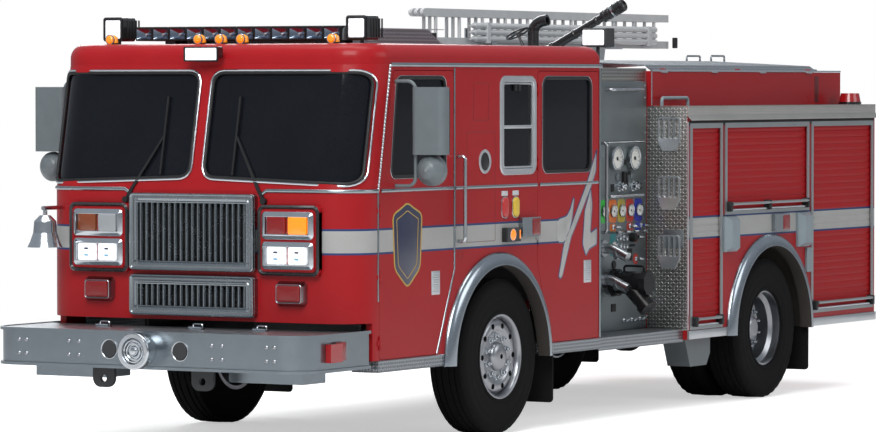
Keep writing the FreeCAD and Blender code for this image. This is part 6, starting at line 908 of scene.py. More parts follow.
def front_lamps():
    """Lenses of the two clusters, the small red lamps and the bright rings round them."""
    face = LAMP_FACE
    rows = ((1.202, 1.385), (1.400, 1.583))
    columns = ((0.596, 0.741), (0.759, 0.904))
    for side, uppers in (("left", ("red_lens", "amber")), ("right", ("clear_lens", "amber_dark"))):
        for row, (low, high) in enumerate(rows):
            for column, (left, right) in enumerate(columns):
                form = plate("front", (left, low + 0.030, right, high - 0.030), 0.018,
                             face - 0.002, face + 0.022, 0.008, 0.004, 6)
                forms = [(f"lens_{side}_{row}_{column}", uppers[column] if row else "head_lens", form)]
                y, z = (left + right) / 2, (low + high) / 2
                for rise, look in ((0.022, "badge"), (-0.022, "blue_glow")):
                    form = plate("front", (y - 0.016, z + rise - 0.006, y + 0.016, z + rise + 0.006), 0.006,
                                 face + 0.024, face + 0.0268, 0.0008)
                    forms.append((f"bulb_{side}_{column}_{look}", look, form))
                for name, look, form in forms[:1] if row else forms:
                    piece(f"cluster_{name}", look, once=[form if side == "left" else flipped(form)])
    bezel = ((0.0, -0.002), (0.0, 0.006), (0.004, 0.010), (0.024, 0.019), (0.030, 0.0215), (0.034, 0.0205),
             (0.036, 0.016), (0.036, 0.002))
    piece("cluster_bright_rings", "chrome", [
        bevelled(rounded(0.550, low, 0.950, high, 0.030, 5), bezel, face) for low, high in rows])
    piece("cluster_dark_surrounds", "gloss_black", [
        frame_form("front", (0.512, 1.160, 0.988, 1.625, 0.045), (0.538, 1.186, 0.962, 1.599, 0.030),
                   CAB_FRONT, face + 0.009, 0.012, 6)])
    piece("lower_red_lenses", "red_lens", [
        plate("front", (0.668, 0.990, 0.848, 1.095), 0.012, 4.1563, 4.1683, 0.006, 0.003, 5)])
    outer = softened([(0.640, 0.985), (0.660, 0.960), (0.856, 0.960), (0.876, 0.985),
                      (0.876, 1.100), (0.856, 1.125), (0.660, 1.125), (0.640, 1.100)], 0.008, 3)
    section = ((0.0, 0.001), (0.0, 0.006), (0.020, 0.050), (0.024, 0.052), (0.028, 0.050))
    piece("lower_red_lamp_housings", "trim", [bevelled(outer, section, CAB_FRONT, True, False)])


def grille_frames():
    """The wide bevelled frames round the two grilles and the dark plates behind their bars."""
    section = ((0.002, 0.040), (0.000, 0.052), (0.003, 0.0600), (0.010, 0.0625), (0.017, 0.0600), (0.030, 0.0490),
               (0.052, 0.0460), (0.058, 0.0505), (0.064, 0.0500), (0.067, 0.0440), (0.067, 0.0300))
    heights = ((1.178, 1.695), (0.878, 1.151))
    piece("grille_frame_mouldings", "grille", once=[
        bevelled(rounded(-0.492, foot, 0.492, top, 0.030, 6), section, CAB_FRONT, False, False)
        for foot, top in heights])
    piece("grille_dark_backs", "plastic", once=[
        plate("front", (-0.450, foot + 0.040, 0.450, top - 0.040), 0.01, CAB_FRONT + 0.0012, CAB_FRONT + 0.0040, 0.001)
        for foot, top in heights])


def entry_steps():
    """Treadplate steps and their back plates below the floor at each door."""
    forms = []
    for low, high in ((3.070, 3.795), (0.705, 1.475)):
        forms += [plate("top", (low, 1.090, high, 1.199), 0.004, 0.598, 0.6055, 0.0015),
                  plate("side", (low, 0.600, high, 0.905), 0.004, 1.090, 1.0945, 0.0015)]
    piece("entry_step_plates", "tread", forms, sharp=60)


def arch_rings():
    """The bright half-round rings on the arches and the dark liners inside them."""
    turns = [math.pi / 2 * step / 12 for step in range(13)]
    bright = [(0.6605 + 0.0913 * math.cos(turn), 1.2456 + 0.0510 * math.sin(turn) ** 0.85) for turn in turns]
    bright.append((0.6605, 1.2456))
    dark = ((0.6600, 1.2925), (0.6592, 1.2945), (0.6580, 1.2945), (0.6570, 1.2925), (0.6570, 1.2060), (0.6595, 1.2060))

    def hoops(section):
        sweep = [(math.cos(math.pi * step / 60), math.sin(math.pi * step / 60)) for step in range(61)]
        return [loft([[(x + r * c, y, ARCH_FOOT + r * s) for r, y in section] for c, s in sweep]) for x in ARCHES]

    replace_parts(piece("arch_ring_skins", "arch", hoops(bright), sharp=50), "wheel_arch_rings")
    piece("arch_liners", "liner", hoops(dark))


def side_lamps():
    """Lenses of the lit amber lamp and of the red markers on the sides."""
    lamp = (2.058, 1.381)
    piece("side_amber_lenses", "amber", [
        slab(circle(*lamp, 0.037), "side", 1.284, 1.2915, 0.004, 0.003),
        plate("side", (1.951, 1.350, 1.966, 1.412), 0.006, 1.284, 1.2875, 0.002)])
    piece("side_red_lenses", "red_lens", [
        plate("side", (1.664, 1.372, 1.778, 1.488), 0.014, 1.284, 1.2895, 0.004, 0.002, 5),
        plate("side", (-2.389, 1.296, -2.272, 1.408), 0.012, 1.284, 1.2895, 0.004, 0.002, 5)])
    piece("side_lamp_rims", "chrome", [
        ring(circle(*lamp, 0.044), circle(*lamp, 0.038), "side", 1.284, 1.2885, 0.002)])


def bumper_details():
    """Bolts, deck latches, siren rings, horn throats and corner lenses."""
    height = 0.680
    bolt = [(0, 0.013), (0.004, 0.013), (0.008, 0.009), (0.0095, 0.0)]
    piece("bumper_bolts", "polished", [
        lathe(bolt, "x", (4.718, y, z), 14) for y in (0.52, 0.60, 0.94, 1.00) for z in (0.635, 0.725)])
    latches = []
    for y in (-0.62, 0.12, 0.62):
        handle = [(4.262, y + across, z) for across, z in
                  ((-0.036, 0.804), (-0.036, 0.832), (0.036, 0.832), (0.036, 0.804))]
        latches += [plate("top", (4.240, y - 0.045, 4.300, y + 0.045), 0.006, 0.799, 0.806, 0.002),
                    tube(bend(handle, 0.012), 0.006, 8), rod("y", (4.296, y, 0.810), -0.05, 0.05, 0.008, 10)]
    piece("deck_latches", "chrome", once=latches)
    siren = [tube(level(circle(0, height, radius, 40), "front", out - bar), bar, 8, closed=True)
             for radius, bar, out in ((0.112, 0.009, 4.8615), (0.092, 0.006, 4.8560),
                                      (0.072, 0.006, 4.8560), (0.052, 0.006, 4.8560))]
    siren.append(lathe([(4.835, 0.0), (4.850, 0.026), (4.857, 0.022), (4.860, 0.0)], "x", (0, 0, height), 24))
    piece("siren_rings", "chrome", once=siren)
    throat = [(4.7240, 0.056), (4.7250, 0.055), (4.7225, 0.030), (4.7205, 0.0)]
    piece("horn_throats", "steel", once=[
        lathe(throat, "x", (0, y, height), 28) for y in (-0.277, 0.277)])
    piece("bumper_corner_lenses", "red_lens", [
        plate("side", (4.230, 0.626, 4.365, 0.748), 0.012, 1.2455, 1.2465, 0.0006, steps=5)])


# Wheels and tyres

# The front wheel's section: pairs of distance from the vehicle's middle and radius
FRONT_WHEEL = (
    (1.2265, 0.0), (1.2265, 0.030), (1.2250, 0.055), (1.2190, 0.080), (1.2080, 0.094), (1.1950, 0.0995),
    (1.1830, 0.1010), (1.1825, 0.1120), (1.1825, 0.1680), (1.1850, 0.1760), (1.1930, 0.1850), (1.1962, 0.1950),
    (1.1962, 0.2250), (1.1900, 0.2430), (1.1780, 0.2540), (1.1600, 0.2590), (1.1600, 0.2630), (1.2000, 0.2680),
    (1.2130, 0.2740), (1.2205, 0.2800), (1.2228, 0.2860), (1.2215, 0.2930), (1.2160, 0.2950), (1.2100, 0.2880),
    (1.1200, 0.2840), (1.0900, 0.2560), (1.0300, 0.2560), (0.9900, 0.2840), (0.9480, 0.2870), (0.9420, 0.3000),
    (0.9350, 0.3000), (0.9350, 0.2740), (1.0100, 0.2440), (1.1400, 0.2440), (1.1700, 0.2200), (1.1740, 0.1900),
    (1.1640, 0.1100), (1.0640, 0.1050), (1.0640, 0.0))
# Half of a tyre's sidewall, as depth and radius, and the tread's ribs across its width
TYRE_WIDTH = 0.290
SIDEWALL = [
    (0.018, 0.2875), (0.004, 0.296), (0.0015, 0.312), (0.0065, 0.316), (0.0045, 0.330), (0.0010, 0.345),
    (0.0000, 0.380), (0.0015, 0.400), (0.0000, 0.405), (0.0002, 0.440), (0.0035, 0.470), (0.0025, 0.474),
    (0.0085, 0.500), (0.018, 0.519), (0.030, 0.530)]
RIBS = ((0.032, 0.068), (0.076, 0.112), (0.120, 0.170), (0.178, 0.214), (0.222, 0.258))


def wheels():
    """Wheel nuts, the front wheels' skins with near-black discs in their hand holes as painted shade, and the tyres."""
    turns = [math.tau * (index + 0.5) / 10 for index in range(10)]
    for end, x, y in (("front", AXLE, 1.183), ("rear", REAR_AXLE, 1.060)):
        nuts = [nut((x + 0.143 * math.cos(turn), y, WHEEL_Z + 0.143 * math.sin(turn)), "y", 0.0165, 0.028)
                for turn in turns]
        twins(f"{end}_wheel_nuts", "chrome", nuts, f"{end}_wheel")
    hub = (AXLE, 0, WHEEL_Z)
    # Near-black discs where the hand holes are, as painted shade for the dark seen through them; a dark disc at the
    # hub's centre is added too
    holes = [rod("y", (AXLE + 0.217 * math.sin(turn), 0, WHEEL_Z + 0.217 * math.cos(turn)), 1.188, 1.1972, 0.0195, 20)
             for turn in turns]
    holes.append(lathe([(1.2255, 0.018), (1.2274, 0.017), (1.2274, 0.0)], "y", hub, 24))
    twins("front_hand_holes", "hole", holes, "front_wheel")
    skin = lathe(FRONT_WHEEL, "y", hub, 72)
    twins("front_wheel_skin", "polished", [skin], "front_wheel", 42, "front_wheel")
    fronts = [tyre_form(AXLE, 1.225, steered=True)]
    twins("front_tyre_skin", "rubber", fronts, "front_wheel", 30, "front_tyre")
    rears = [tyre_form(REAR_AXLE, outer, steered=False) for outer in (1.225, 0.875)]
    twins("rear_tyre_skins", "rubber", rears, "rear_wheel", 30, "rear_tyres")


def tyre_form(x, outer, steered):
    """One tyre whose outer face lies at the given distance from the middle.

    Steered tyres have ribs with fine cuts at the shoulders, driven ones have blocks.
    """
    profile = [(depth, radius, False) for depth, radius in SIDEWALL]
    for start, end in RIBS:
        top = 0.5395 - 0.004 * abs((start + end) / 2 - 0.145) / 0.145
        profile += [(start, top - 0.011, False), (start + 0.0015, top, True),
                    (end - 0.0015, top, True), (end, top - 0.011, False)]
    profile += [(TYRE_WIDTH - depth, radius, False) for depth, radius in reversed(SIDEWALL)]
    segments, loops = 144, []
    for depth, radius, top in profile:
        loop = []
        for index in range(segments):
            cut = 0.0
            skewed = index + int(depth * 70)
            if top and not steered and skewed % 4 == 0:
                cut = 0.008
            if top and steered and skewed % 3 == 0 and (depth < 0.07 or depth > 0.22):
                cut = 0.002
            if 0.495 < radius < 0.525 and index % 4 < 2 and not steered:
                cut = 0.004
            turn = math.tau * index / segments
            loop.append((x + (radius - cut) * math.sin(turn), outer - depth, WHEEL_Z + (radius - cut) * math.cos(turn)))
        loops.append(loop)
    return loft(loops + loops[:1], False, False)


# The pump panel

def gauge(x, z, radius, face):
    """A white dial, its ticks and needle, and its bright rim."""
    def around(degrees, *corners):
        c, s = math.cos(math.radians(degrees)), math.sin(math.radians(degrees))
        return [(x + (a * c - b * s) * radius, z + (a * s + b * c) * radius) for a, b in corners]

    dial = slab(circle(x, z, radius * 0.86), "side", face - 0.0015, face + 0.0006, 0.0004)
    rim = ring(circle(x, z, radius * 1.02), circle(x, z, radius * 0.84), "side",
               face - 0.001, face + radius * 0.10 + 0.003, 0.003)
    tick = ((0.62, 0.022), (0.62, -0.022), (0.78, -0.022), (0.78, 0.022))
    marks = [slab(around(225 - 27 * index, *tick), "side", face, face + 0.0011, 0.0002) for index in range(11)]
    needle = around(208, (-0.2, 0.03), (-0.2, -0.03), (0.7, 0))
    marks += [slab(needle, "side", face + 0.0008, face + 0.0020, 0.0002),
              slab(circle(x, z, radius * 0.16, 16), "side", face + 0.0005, face + 0.0030, 0.0008)]
    return dial, marks, rim


def gauges_and_tags():
    """The gauges with their dials, and the coloured plates round them."""
    small = (0.002, -0.134, -0.270, -0.406, -0.542)
    made = [gauge(x, 1.872, 0.088, 0.9395) for x in (-0.156, -0.437)]
    made += [gauge(x, 1.485, 0.046, 0.9259) for x in small] + [gauge(-0.149, 1.225, 0.040, PANEL + 0.006)]
    dials, marks, rims = zip(*made)
    piece("gauge_dials", "dial", once=dials)
    piece("gauge_marks", "plastic", once=[mark for group in marks for mark in group])
    piece("gauge_rims", "chrome", once=rims)

    def tag(corners, radius, steps=6):
        return plate("side", corners, radius, PANEL - 0.0004, PANEL + 0.0022, 0.001, steps=steps)

    for look, x in zip(TAGS, small):
        forms = [tag((x - 0.060, 1.400, x + 0.060, 1.570), 0.030)]
        if look in ("tag_orange", "tag_red", "tag_blue"):
            forms.append(tag((x - 0.048, 1.334, x + 0.048, 1.392), 0.020, 5))
        if look == "tag_red":
            forms += [slab(circle(-0.500, z, 0.040), "side", PANEL, PANEL + 0.004, 0.002) for z in (1.285, 1.121)]
        piece(f"{look}_plates", look, once=forms)
    piece("tag_teal_plate", "tag_teal", once=[tag((-0.205, 1.150, -0.093, 1.318), 0.030)])


def panel_handles():
    """Pull rods, valve wheels, caps and drain handles on the left panel."""
    def out(*points):
        return [(x, PANEL + depth, z) for x, depth, z in points]

    forms = []
    for x, z in ((-0.132, 1.368), (-0.400, 1.368), (-0.582, 1.368), (-0.500, 1.285), (-0.500, 1.121)):
        forms += [knob(x, z, 16, (0, 0.0), (0, 0.020), (0.010, 0.020), (0.014, 0.011), (0.050, 0.009), (0.052, 0.0)),
                  tube(bend(out((x + 0.034, 0.046, z + 0.004), (x, 0.056, z), (x - 0.040, 0.050, z - 0.006)), 0.02),
                       [0.010] * 6 + [0.011, 0.010], 10)]
    for x, z in ((-0.244, 1.664), (-0.457, 1.664)):
        forms += [knob(x, z, 20, (0, 0.0), (0, 0.040), (0.006, 0.040), (0.008, 0.030), (0.030, 0.030), (0.032, 0.022),
                       (0.054, 0.022), (0.056, 0.016), (0.058, 0.0)),
                  lathe([(-0.042, 0.0), (-0.042, 0.010), (-0.030, 0.015), (0.030, 0.015), (0.042, 0.010), (0.042, 0.0)],
                        "x", (x + 0.010, PANEL + 0.044, z), 12)]
    forms += [knob(x, z, 12, (0, 0.0), (0, 0.022), (0.008, 0.020), (0.010, 0.012), (0.030, 0.012), (0.034, 0.017),
                   (0.040, 0.0))
              for x, z in ((-0.205, 1.285), (-0.258, 1.300), (-0.310, 1.280), (-0.262, 1.225), (-0.312, 1.222),
                           (-0.215, 1.232))]
    link_rod = out((-0.205, 0.028, 1.285), (-0.258, 0.030, 1.300), (-0.310, 0.028, 1.280))
    forms.append(tube(bend(link_rod, 0.02), 0.006, 8))
    for x in (-0.300, -0.430, -0.560):
        forms += [knob(x, 0.672, 12, (0, 0.0), (0, 0.020), (0.012, 0.018), (0.016, 0.010), (0.040, 0.010),
                       (0.044, 0.0)),
                  tube(out((x + 0.030, 0.040, 0.664), (x - 0.002, 0.046, 0.674), (x - 0.040, 0.042, 0.690)), 0.008, 8)]
    rail = out((-0.055, 0, 1.992), (-0.055, 0.016, 1.992), (-0.625, 0.016, 1.992), (-0.625, 0, 1.992))
    forms.append(tube(bend(rail, 0.008), 0.005, 8))
    piece("panel_pull_rods", "chrome", once=forms)


def panel_plates():
    """The dark and pale fittings and the screws of the panels, and the right panel's valves."""
    dark = [plate("side", (-0.350, 1.652, -0.284, 1.775), 0.008, PANEL, PANEL + 0.020, 0.006)]
    dark += [knob(-0.317, 1.672 + index * 0.028, 12, (0.020, 0.0), (0.020, 0.009), (0.026, 0.008), (0.027, 0.0))
             for index in range(4)]
    dark += [plate("side", corners, 0.004, PANEL, PANEL + 0.006, 0.002) for corners in (
        (-0.415, 1.748, -0.385, 1.778), (-0.338, 1.825, -0.295, 1.862), (-0.150, 1.628, -0.105, 1.684),
        (-0.546, 1.652, -0.516, 1.700), (-0.590, 1.640, -0.556, 1.684), (-0.485, 1.214, -0.360, 1.232),
        (-0.180, 0.855, -0.112, 0.912), (-0.180, 0.742, -0.112, 0.800), (-0.438, 1.160, -0.372, 1.202),
        (-0.438, 1.112, -0.372, 1.154))]
    dark += [slab(circle(-0.150, 1.091, 0.030), "side", PANEL, PANEL + 0.008, 0.003),
             knob(-0.432, 1.285, 18, (0, 0.0), (0, 0.036), (0.030, 0.034), (0.044, 0.028), (0.050, 0.0))]
    piece("panel_dark_fittings", "plastic", once=dark)
    hood = softened([(-0.290, 1.868), (-0.290, 1.950), (-0.340, 1.950), (-0.340, 1.868)], 0.025, 6)
    piece("panel_pale_fittings", "grey", once=[
        slab(hood, "side", PANEL, PANEL + 0.008, 0.004),
        slab(circle(-0.203, 1.735, 0.026), "side", PANEL, PANEL + 0.010, 0.004),
        slab(circle(-0.432, 1.738, 0.024), "side", PANEL, PANEL + 0.010, 0.004),
        plate("side", (-0.470, 1.945, -0.430, 1.965), 0.004, PANEL, PANEL + 0.005, 0.002)])
    piece("panel_screws", "polished", [
        knob(-0.655, z, 10, (-0.001, 0.0), (-0.001, 0.009), (0.002, 0.008), (0.004, 0.004), (0.0042, 0.0))
        for z in [0.68 + 0.17 * k for k in range(8)] + [2.06, 2.19, 2.32, 2.41]])
    valves = []
    for x, z in ((-0.16, 1.72), (-0.36, 1.72), (-0.16, 1.42), (-0.36, 1.42)):
        lever = [(x + along, PANEL + depth, z + up) for along, depth, up in
                 ((0.046, 0.046, 0.010), (0, 0.052, 0), (-0.046, 0.046, 0.010))]
        valves += [ring(circle(x, z, 0.066), circle(x, z, 0.046), "side", PANEL - 0.001, PANEL + 0.014, 0.004),
                   knob(x, z, 22, (0, 0.0), (0, 0.046), (0.020, 0.044), (0.024, 0.020), (0.050, 0.018), (0.052, 0.0)),
                   tube(lever, 0.009, 8)]
    piece("right_panel_valves", "chrome", once=[flipped(form) for form in valves])
    piece("treadplate_end_walls", "pale_tread", [
        slab(box(0.9085, 0.586, 1.2435, 2.256), "front", BODY_FRONT - 0.0005, BODY_FRONT + 0.0012, 0.0004),
        slab(box(-0.675, 2.4425, 0.620, 2.5385), "side", 0.8995, 0.9020, 0.0006)], sharp=60)
    piece("end_wall_plates", "panel", [
        plate("front", (1.051, 1.200, 1.215, 1.339), 0.006, BODY_FRONT + 0.001, BODY_FRONT + 0.004, 0.0015)])


# The body behind the cab

def body_details():
    """Trims, treadplate, lift bars and slots on the body's sides and top."""
    trims = [plate("side", (low, 0.519, high, 0.581), 0.006, 1.2590, 1.2603, 0.001)
             for low, high in ((-1.331, -0.702), (-4.058, -2.842))]
    trims.append(plate("side", (-0.7165, 0.586, -0.6985, 2.14), 0.002, HALF, HALF + 0.003, 0.001))
    piece("body_bottom_trims", "alloy", trims)
    piece("body_top_treadplates", "pale_tread", [
        slab(box(-4.058, 0.943, -0.700, 1.270), "top", 2.2575, 2.2592, 0.0006)], sharp=60)
    piece("drip_rail_gaps", "plastic", [
        plate("side", (-4.040, 2.1125, -0.720, 2.148), 0.004, HALF, HALF + 0.004, 0.001)])
    brackets, bars = [], []
    for foot, places, low, high in ((1.452, (-1.370, -2.050, -2.740), -2.730, -1.380),
                                    (0.640, (-2.895, -3.965), -3.955, -2.905),
                                    (0.605, (-0.790, -1.222), -1.212, -0.800)):
        brackets += [slab(softened(box(x - 0.020, foot + 0.004, x + 0.020, foot + 0.080), 0.012),
                          "side", 1.234, 1.2875, 0.006) for x in places]
        bars.append(rod("x", (0, 1.262, foot + 0.018), low, high, 0.008, 12))
    piece("lift_bar_brackets", "plastic", brackets)
    piece("lower_lift_bars", "chrome", bars)
    piece("door_post_lines", "seam", [
        plate("side", (x - 0.002, 1.30, x + 0.002, 2.11), 0.001, HALF - 0.001, HALF + 0.0006, 0.0003)
        for x in (-1.300, -2.828)])
    piece("hosebed_side_trims", "chrome", [
        strip([(-4.055, 0.9405, 2.522), (-0.705, 0.9405, 2.522)], OUT, 0.016, 0.007),
        strip([(-0.7045, 0.9405, 2.262), (-0.7045, 0.9405, 2.52)], OUT, 0.012, 0.006)])
    piece("hosebed_side_slots", "seam", [
        plate("side", (-3.644, 2.275, -3.567, 2.485), 0.012, 0.9398, 0.9412, 0.0006)])
    piece("bed_cover_hinge_pins", "alloy", [
        rod("x", (x, 0.9485, 2.512), -0.045, 0.045, 0.008, 10) for x in (-0.90, -1.75, -2.60, -3.45)])


def rear_details():
    """Grab rails, lamps, the roller shutter, reflectors and the blank plate of the rear face."""
    back = BODY_BACK
    piece("rear_treadplate", "pale_tread", [
        slab(box(1.035, 0.605, 1.2435, 2.14), "front", back + 0.002, back - 0.0012, 0.0006)], sharp=60)
    bezels = []
    for row, look in enumerate(("clear_lens", "amber_dark", "red_lens")):
        z = 1.010 + 0.170 * row
        bezels.append(frame_form("front", (1.052, z - 0.012, 1.208, z + 0.172, 0.014),
                                 (1.067, z + 0.003, 1.193, z + 0.157, 0.010), back, back - 0.0375, 0.006, 5))
        piece(f"rear_lamp_lens_{row}", look, [
            plate("front", (1.072, z + 0.008, 1.188, z + 0.152), 0.012, -4.094, -4.1005, 0.004, 0.002, 5)])
    piece("rear_lamp_bezels", "chrome", bezels)
    grab = [(back, 0.975, 2.02), (back - 0.062, 0.975, 2.02), (back - 0.062, 0.975, 1.02), (back, 0.975, 1.02)]
    flange = [(back, 0.0), (back, 0.034), (back - 0.008, 0.034), (back - 0.014, 0.022), (back - 0.014, 0.0)]
    cross = [(-4.0495, y, z) for y, z in ((-0.60, 1.550), (-0.60, 1.640), (0.60, 1.640), (0.60, 1.550))]
    piece("rear_grab_rails", "chrome",
          [tube(bend(grab, 0.03), 0.016, 12)] + [lathe(flange, "x", (0, 0.975, z), 18) for z in (2.02, 1.02)],
          [tube(bend(cross, 0.03), 0.016, 12)])
    slat = ((0, 0), (0.006, 0.003), (0.011, 0.020), (0.006, 0.042), (0, 0.0455))
    slats = []
    for index in range(20):
        outline = [(back - depth, 0.578 + 0.0465 * index + rise) for depth, rise in slat]
        slats.append(loft([level(outline, "side", y) for y in (-0.600, 0.600)]))
    piece("rear_roller_slats", "panel", once=slats)
    roller = [frame_form("front", (-0.645, 0.562, 0.645, 1.546, 0.010), (-0.600, 0.578, 0.600, 1.508, 0.006),
                         back + 0.001, back - 0.022, 0.004),
              rod("y", (back - 0.034, 0, 0.640), -0.56, 0.56, 0.011, 14)]
    roller += [plate("front", (y - 0.014, 0.623, y + 0.014, 0.657), 0.005, back - 0.008, back - 0.046, 0.004)
               for y in (-0.52, 0.0, 0.52)]
    piece("rear_roller_frame", "alloy", once=roller)
    twins("rear_reflector", "red_lens", [
        plate("front", (1.090, 0.690, 1.170, 0.770), 0.008, back - 0.001, back - 0.008, 0.003)])
    piece("plate_holder_and_lamp", "alloy", once=[
        frame_form("front", (0.690, 0.905, 0.925, 1.040, 0.006), (0.702, 0.917, 0.913, 1.028, 0.004),
                   back, back - 0.006, 0.002),
        plate("front", (0.780, 1.044, 0.835, 1.062), 0.004, back, back - 0.022, 0.004)])
    piece("blank_plate", "white", once=[
        plate("front", (0.700, 0.915, 0.915, 1.030), 0.005, back, back - 0.003, 0.001)])


# Roof, gun, ladders, mirrors and mast

def roof_details():
    """The roof's small amber lamps, the spot lamps and the edges of the treadplate box."""
    lamps = [(0, y, 2.722) for y in (-0.88, -0.17, 0.0, 0.17, 0.88)]
    dome = [(3.8120, 0.030), (3.8190, 0.0285), (3.8250, 0.022), (3.8280, 0.012), (3.8285, 0.0)]
    collar = [(3.8060, 0.0300), (3.8060, 0.0345), (3.8160, 0.0345), (3.8160, 0.0300)]
    piece("roof_amber_lenses", "amber", once=[lathe(dome, "x", lamp, 22) for lamp in lamps])
    piece("roof_lamp_rims", "chrome", once=[lathe(collar, "x", lamp, 22) for lamp in lamps])
    piece("spot_lamp_lenses", "head_lens",
          [plate("front", (0.908, 2.730, 1.032, 2.858), 0.010, 3.637, 3.643, 0.003, 0.002, 5)],
          [plate("front", (-0.124, 2.580, 0.124, 2.662), 0.006, 4.0325, 4.0390, 0.003)])
    rims = [frame_form("front", (0.893, 2.716, 1.047, 2.872, 0.016), (0.909, 2.731, 1.031, 2.857, 0.010),
                       3.630, 3.648, 0.004, 5)]
    for low, high in ((0.890, 0.882), (1.050, 1.058)):
        rims += [plate("side", (3.440 + index * 0.034, 2.730, 3.452 + index * 0.034, 2.858), 0.004, low, high, 0.003)
                 for index in range(5)]
    piece("spot_lamp_rims", "plastic", rims, [
        frame_form("front", (-0.135, 2.571, 0.135, 2.670, 0.008), (-0.125, 2.580, 0.125, 2.662, 0.006),
                   4.030, 4.044, 0.003)])
    piece("roof_box_edges", "alloy", once=[
        frame_form("top", (2.000, -0.708, 3.246, 0.708, 0.012), (2.024, -0.684, 3.222, 0.684, 0.008),
                   2.798, 2.803, 0.002)])


def light_bar_details():
    """Twelve cells with a bowl and a bulb each, on the light bar's front and back."""
    frames, bowls, bulbs = [], [], []
    for index in range(12):
        left, right = -0.818 + index * 0.1364, -0.6816 + index * 0.1364
        for face, sign in ((3.568, 1), (3.268, -1)):
            frames.append(frame_form("front", (left + 0.002, 2.718, right - 0.002, 2.806, 0.005),
                                     (left + 0.009, 2.727, right - 0.009, 2.797, 0.004),
                                     face - 0.002 * sign, face + 0.026 * sign))
            outer = rounded(left + 0.010, 2.728, right - 0.010, 2.796, 0.004, 3)
            y, z = (left + right) / 2 + (0.010 if sign > 0 else 0), 2.758
            bowls.append(loft([[(face + depth * sign, y + (a - y) * share, z + (b - z) * share) for a, b in outer]
                               for share, depth in ((1.0, 0.0235), (0.8, 0.0150), (0.5, 0.0060), (0.2, 0.0025))],
                              False, True))
            bulb = ((0.002, 0.0), (0.002, 0.008), (0.012, 0.008), (0.017, 0.0))
            bulbs.append(lathe([(face + out * sign, radius) for out, radius in bulb], "x", (0, y, z), 12))
    frames.append(plate("top", (3.266, -0.828, 3.570, 0.828), 0.01, 2.805, 2.811, 0.003))
    piece("light_bar_frames", "plastic", once=frames)
    piece("light_bar_reflectors", "reflector", once=bowls)
    piece("light_bar_bulbs", "clear_lens", once=bulbs)


def gun_details():
    """Rings of the deck gun's barrel and the bolts of its base."""
    start, end = Vector((-0.3112, 0.917, 3.014)), Vector((-0.312, 0.219, 2.643))
    along = (end - start).normalized()

    def ring_on(share, wide, *radii):
        middle, last = start.lerp(end, share), len(radii) - 1
        shifts = (-1, -0.6, 0.6, 1) if last == 3 else (-1, 1)
        return tube([middle + along * wide * shift for shift in shifts], radii, 24)

    piece("gun_barrel_rings", "gloss_black", body="gun_barrel", once=[
        ring_on(share, wide, radius * 0.90, radius, radius, radius * 0.90) for share, radius, wide in (
            (0.030, 0.0480, 0.012), (0.060, 0.0490, 0.010), (0.090, 0.0490, 0.010),
            (0.33, 0.0350, 0.012), (0.60, 0.0370, 0.012), (0.86, 0.0410, 0.014))])
    piece("gun_barrel_bright_line", "chrome", body="gun_barrel", once=[
        ring_on(0.13, 0.007, 0.0492, 0.0492)])
    turns = [math.tau * (index + 0.5) / 8 for index in range(8)]
    piece("gun_base_bolts", "chrome", once=[
        nut((-0.312 + 0.088 * math.cos(turn), 0.255 + 0.088 * math.sin(turn), 2.4535), "z", 0.009, 0.010)
        for turn in turns])


def mirror_details():
    twins("mirror_glass", "mirror", [
        plate("front", (1.402, 1.974, 1.618, 2.382), 0.012, 3.554, 3.5500)])
    twins("mirror_rims", "plastic", [
        frame_form("front", (1.3865, 1.957, 1.6335, 2.399, 0.020), (1.4035, 1.9755, 1.6165, 2.3805, 0.012),
                   3.556, 3.5470, 0.003, 5),
        strip([(3.5975, 1.3855, 1.965), (3.5975, 1.3855, 2.392)], (0, -1, 0), 0.020, 0.004)])


def mast_details():
    piece("mast_lamp_lens", "head_lens", body="mast_head", once=[
        plate("front", (0.998, 2.702, 1.172, 2.812), 0.010, 0.5000, 0.5065, 0.003, 0.002, 5)])
    piece("mast_lamp_fins", "plastic", body="mast_head", once=[
        plate("front", (y, 2.704, y + 0.008, 2.812), 0.003, 0.354, 0.342, 0.003)
        for y in [1.004 + index * 0.0225 for index in range(8)]])


def ladder_details():
    low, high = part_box("ladders")
    piece("ladder_feet_and_clamps", "plastic", once=[
        plate("side", (x - 0.028, low[2] + 0.004, x + 0.028, low[2] + 0.094), 0.010, y - 0.012, y + 0.012, 0.004)
        for y in (low[1] + 0.001, high[1] - 0.001) for x in (low[0] + 0.030, high[0] - 0.030)])


# Seats

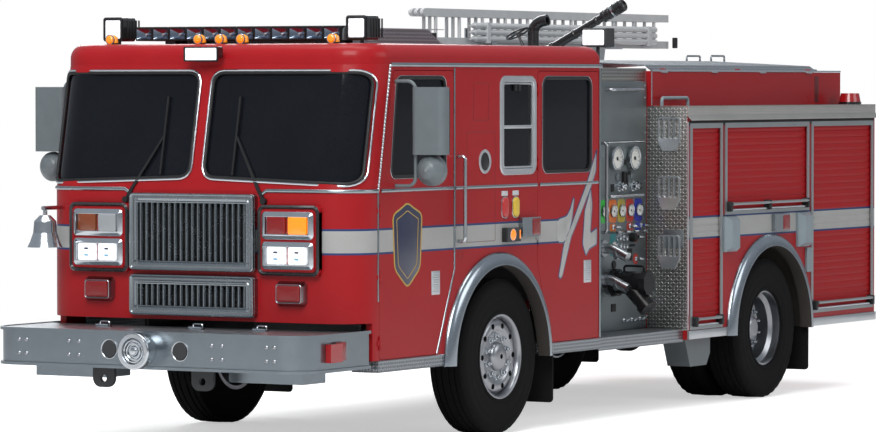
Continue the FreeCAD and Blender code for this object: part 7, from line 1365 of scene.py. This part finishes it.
def pad(name, low, high, thick, channels, bulge):
    """A crowned pad with sewn channels across its width; thick is the axis through it."""
    work = bmesh.new()
    bmesh.ops.create_cube(work, size=2.0)
    bmesh.ops.subdivide_edges(work, edges=work.edges[:], cuts=23, use_grid_fill=True)
    middle, half = (Vector(high) + Vector(low)) / 2, (Vector(high) - Vector(low)) / 2
    seams = [-1 + 2 * seam / channels for seam in range(1, channels)]
    for vertex in work.verts:
        place = vertex.co.copy()
        moved = [place[axis] * (1 - 0.16 * place[axis - 1] ** 2) * (1 - 0.16 * place[axis - 2] ** 2)
                 for axis in range(3)]
        groove = max(math.exp(-((place[1] - seam) / 0.045) ** 2) for seam in seams)
        moved[thick] *= 1 - bulge * groove * max(0.0, abs(place[thick]) - 0.6) / 0.4
        vertex.co = Vector([middle[axis] + moved[axis] * half[axis] for axis in range(3)])
    put(bpy.data.meshes.new(name), work, "cloth")


def seats():
    """Four seats on the places of the CAD's: cushion, back and headrest over a pedestal and a shell."""
    stands = []
    for row, x in (("front_seat", 3.024), ("crew_seat", 0.743)):
        for side, y in (("left", 0.833), ("right", -0.833)):
            for part, near, far, across, low, high, thick, channels, bulge in (
                    ("cushion", 0.030, 0.475, 0.245, 1.225, 1.358, 2, 4, 0.16),
                    ("back", 0.004, 0.115, 0.235, 1.365, 1.980, 0, 4, 0.20),
                    ("headrest", 0.010, 0.105, 0.150, 1.992, 2.176, 0, 2, 0.10)):
                pad(f"{row}_{side}_{part}", (x + near, y - across, low), (x + far, y + across, high),
                    thick, channels, bulge)
            stands += [plate("top", (x + 0.080, y - 0.170, x + 0.420, y + 0.170), 0.03, 0.945, 1.228, 0.010),
                       plate("front", (y - 0.210, 1.245, y + 0.210, 1.960), 0.03, x + 0.020, x + 0.002, 0.004)]
    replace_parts(piece("seat_pedestals", "plastic", once=stands), "cab_seats")


make_camera()
make_light()
make_floor()
LOOKS = make_looks()
dress_nodes()
for build in (cab_trim, window_frames, cab_small_things, slash, front_lamps, grille_frames, entry_steps, arch_rings,
              side_lamps, bumper_details, wheels, gauges_and_tags, panel_handles, panel_plates, body_details,
              rear_details, roof_details, light_bar_details, gun_details, mirror_details, mast_details,
              ladder_details, seats):
    build()
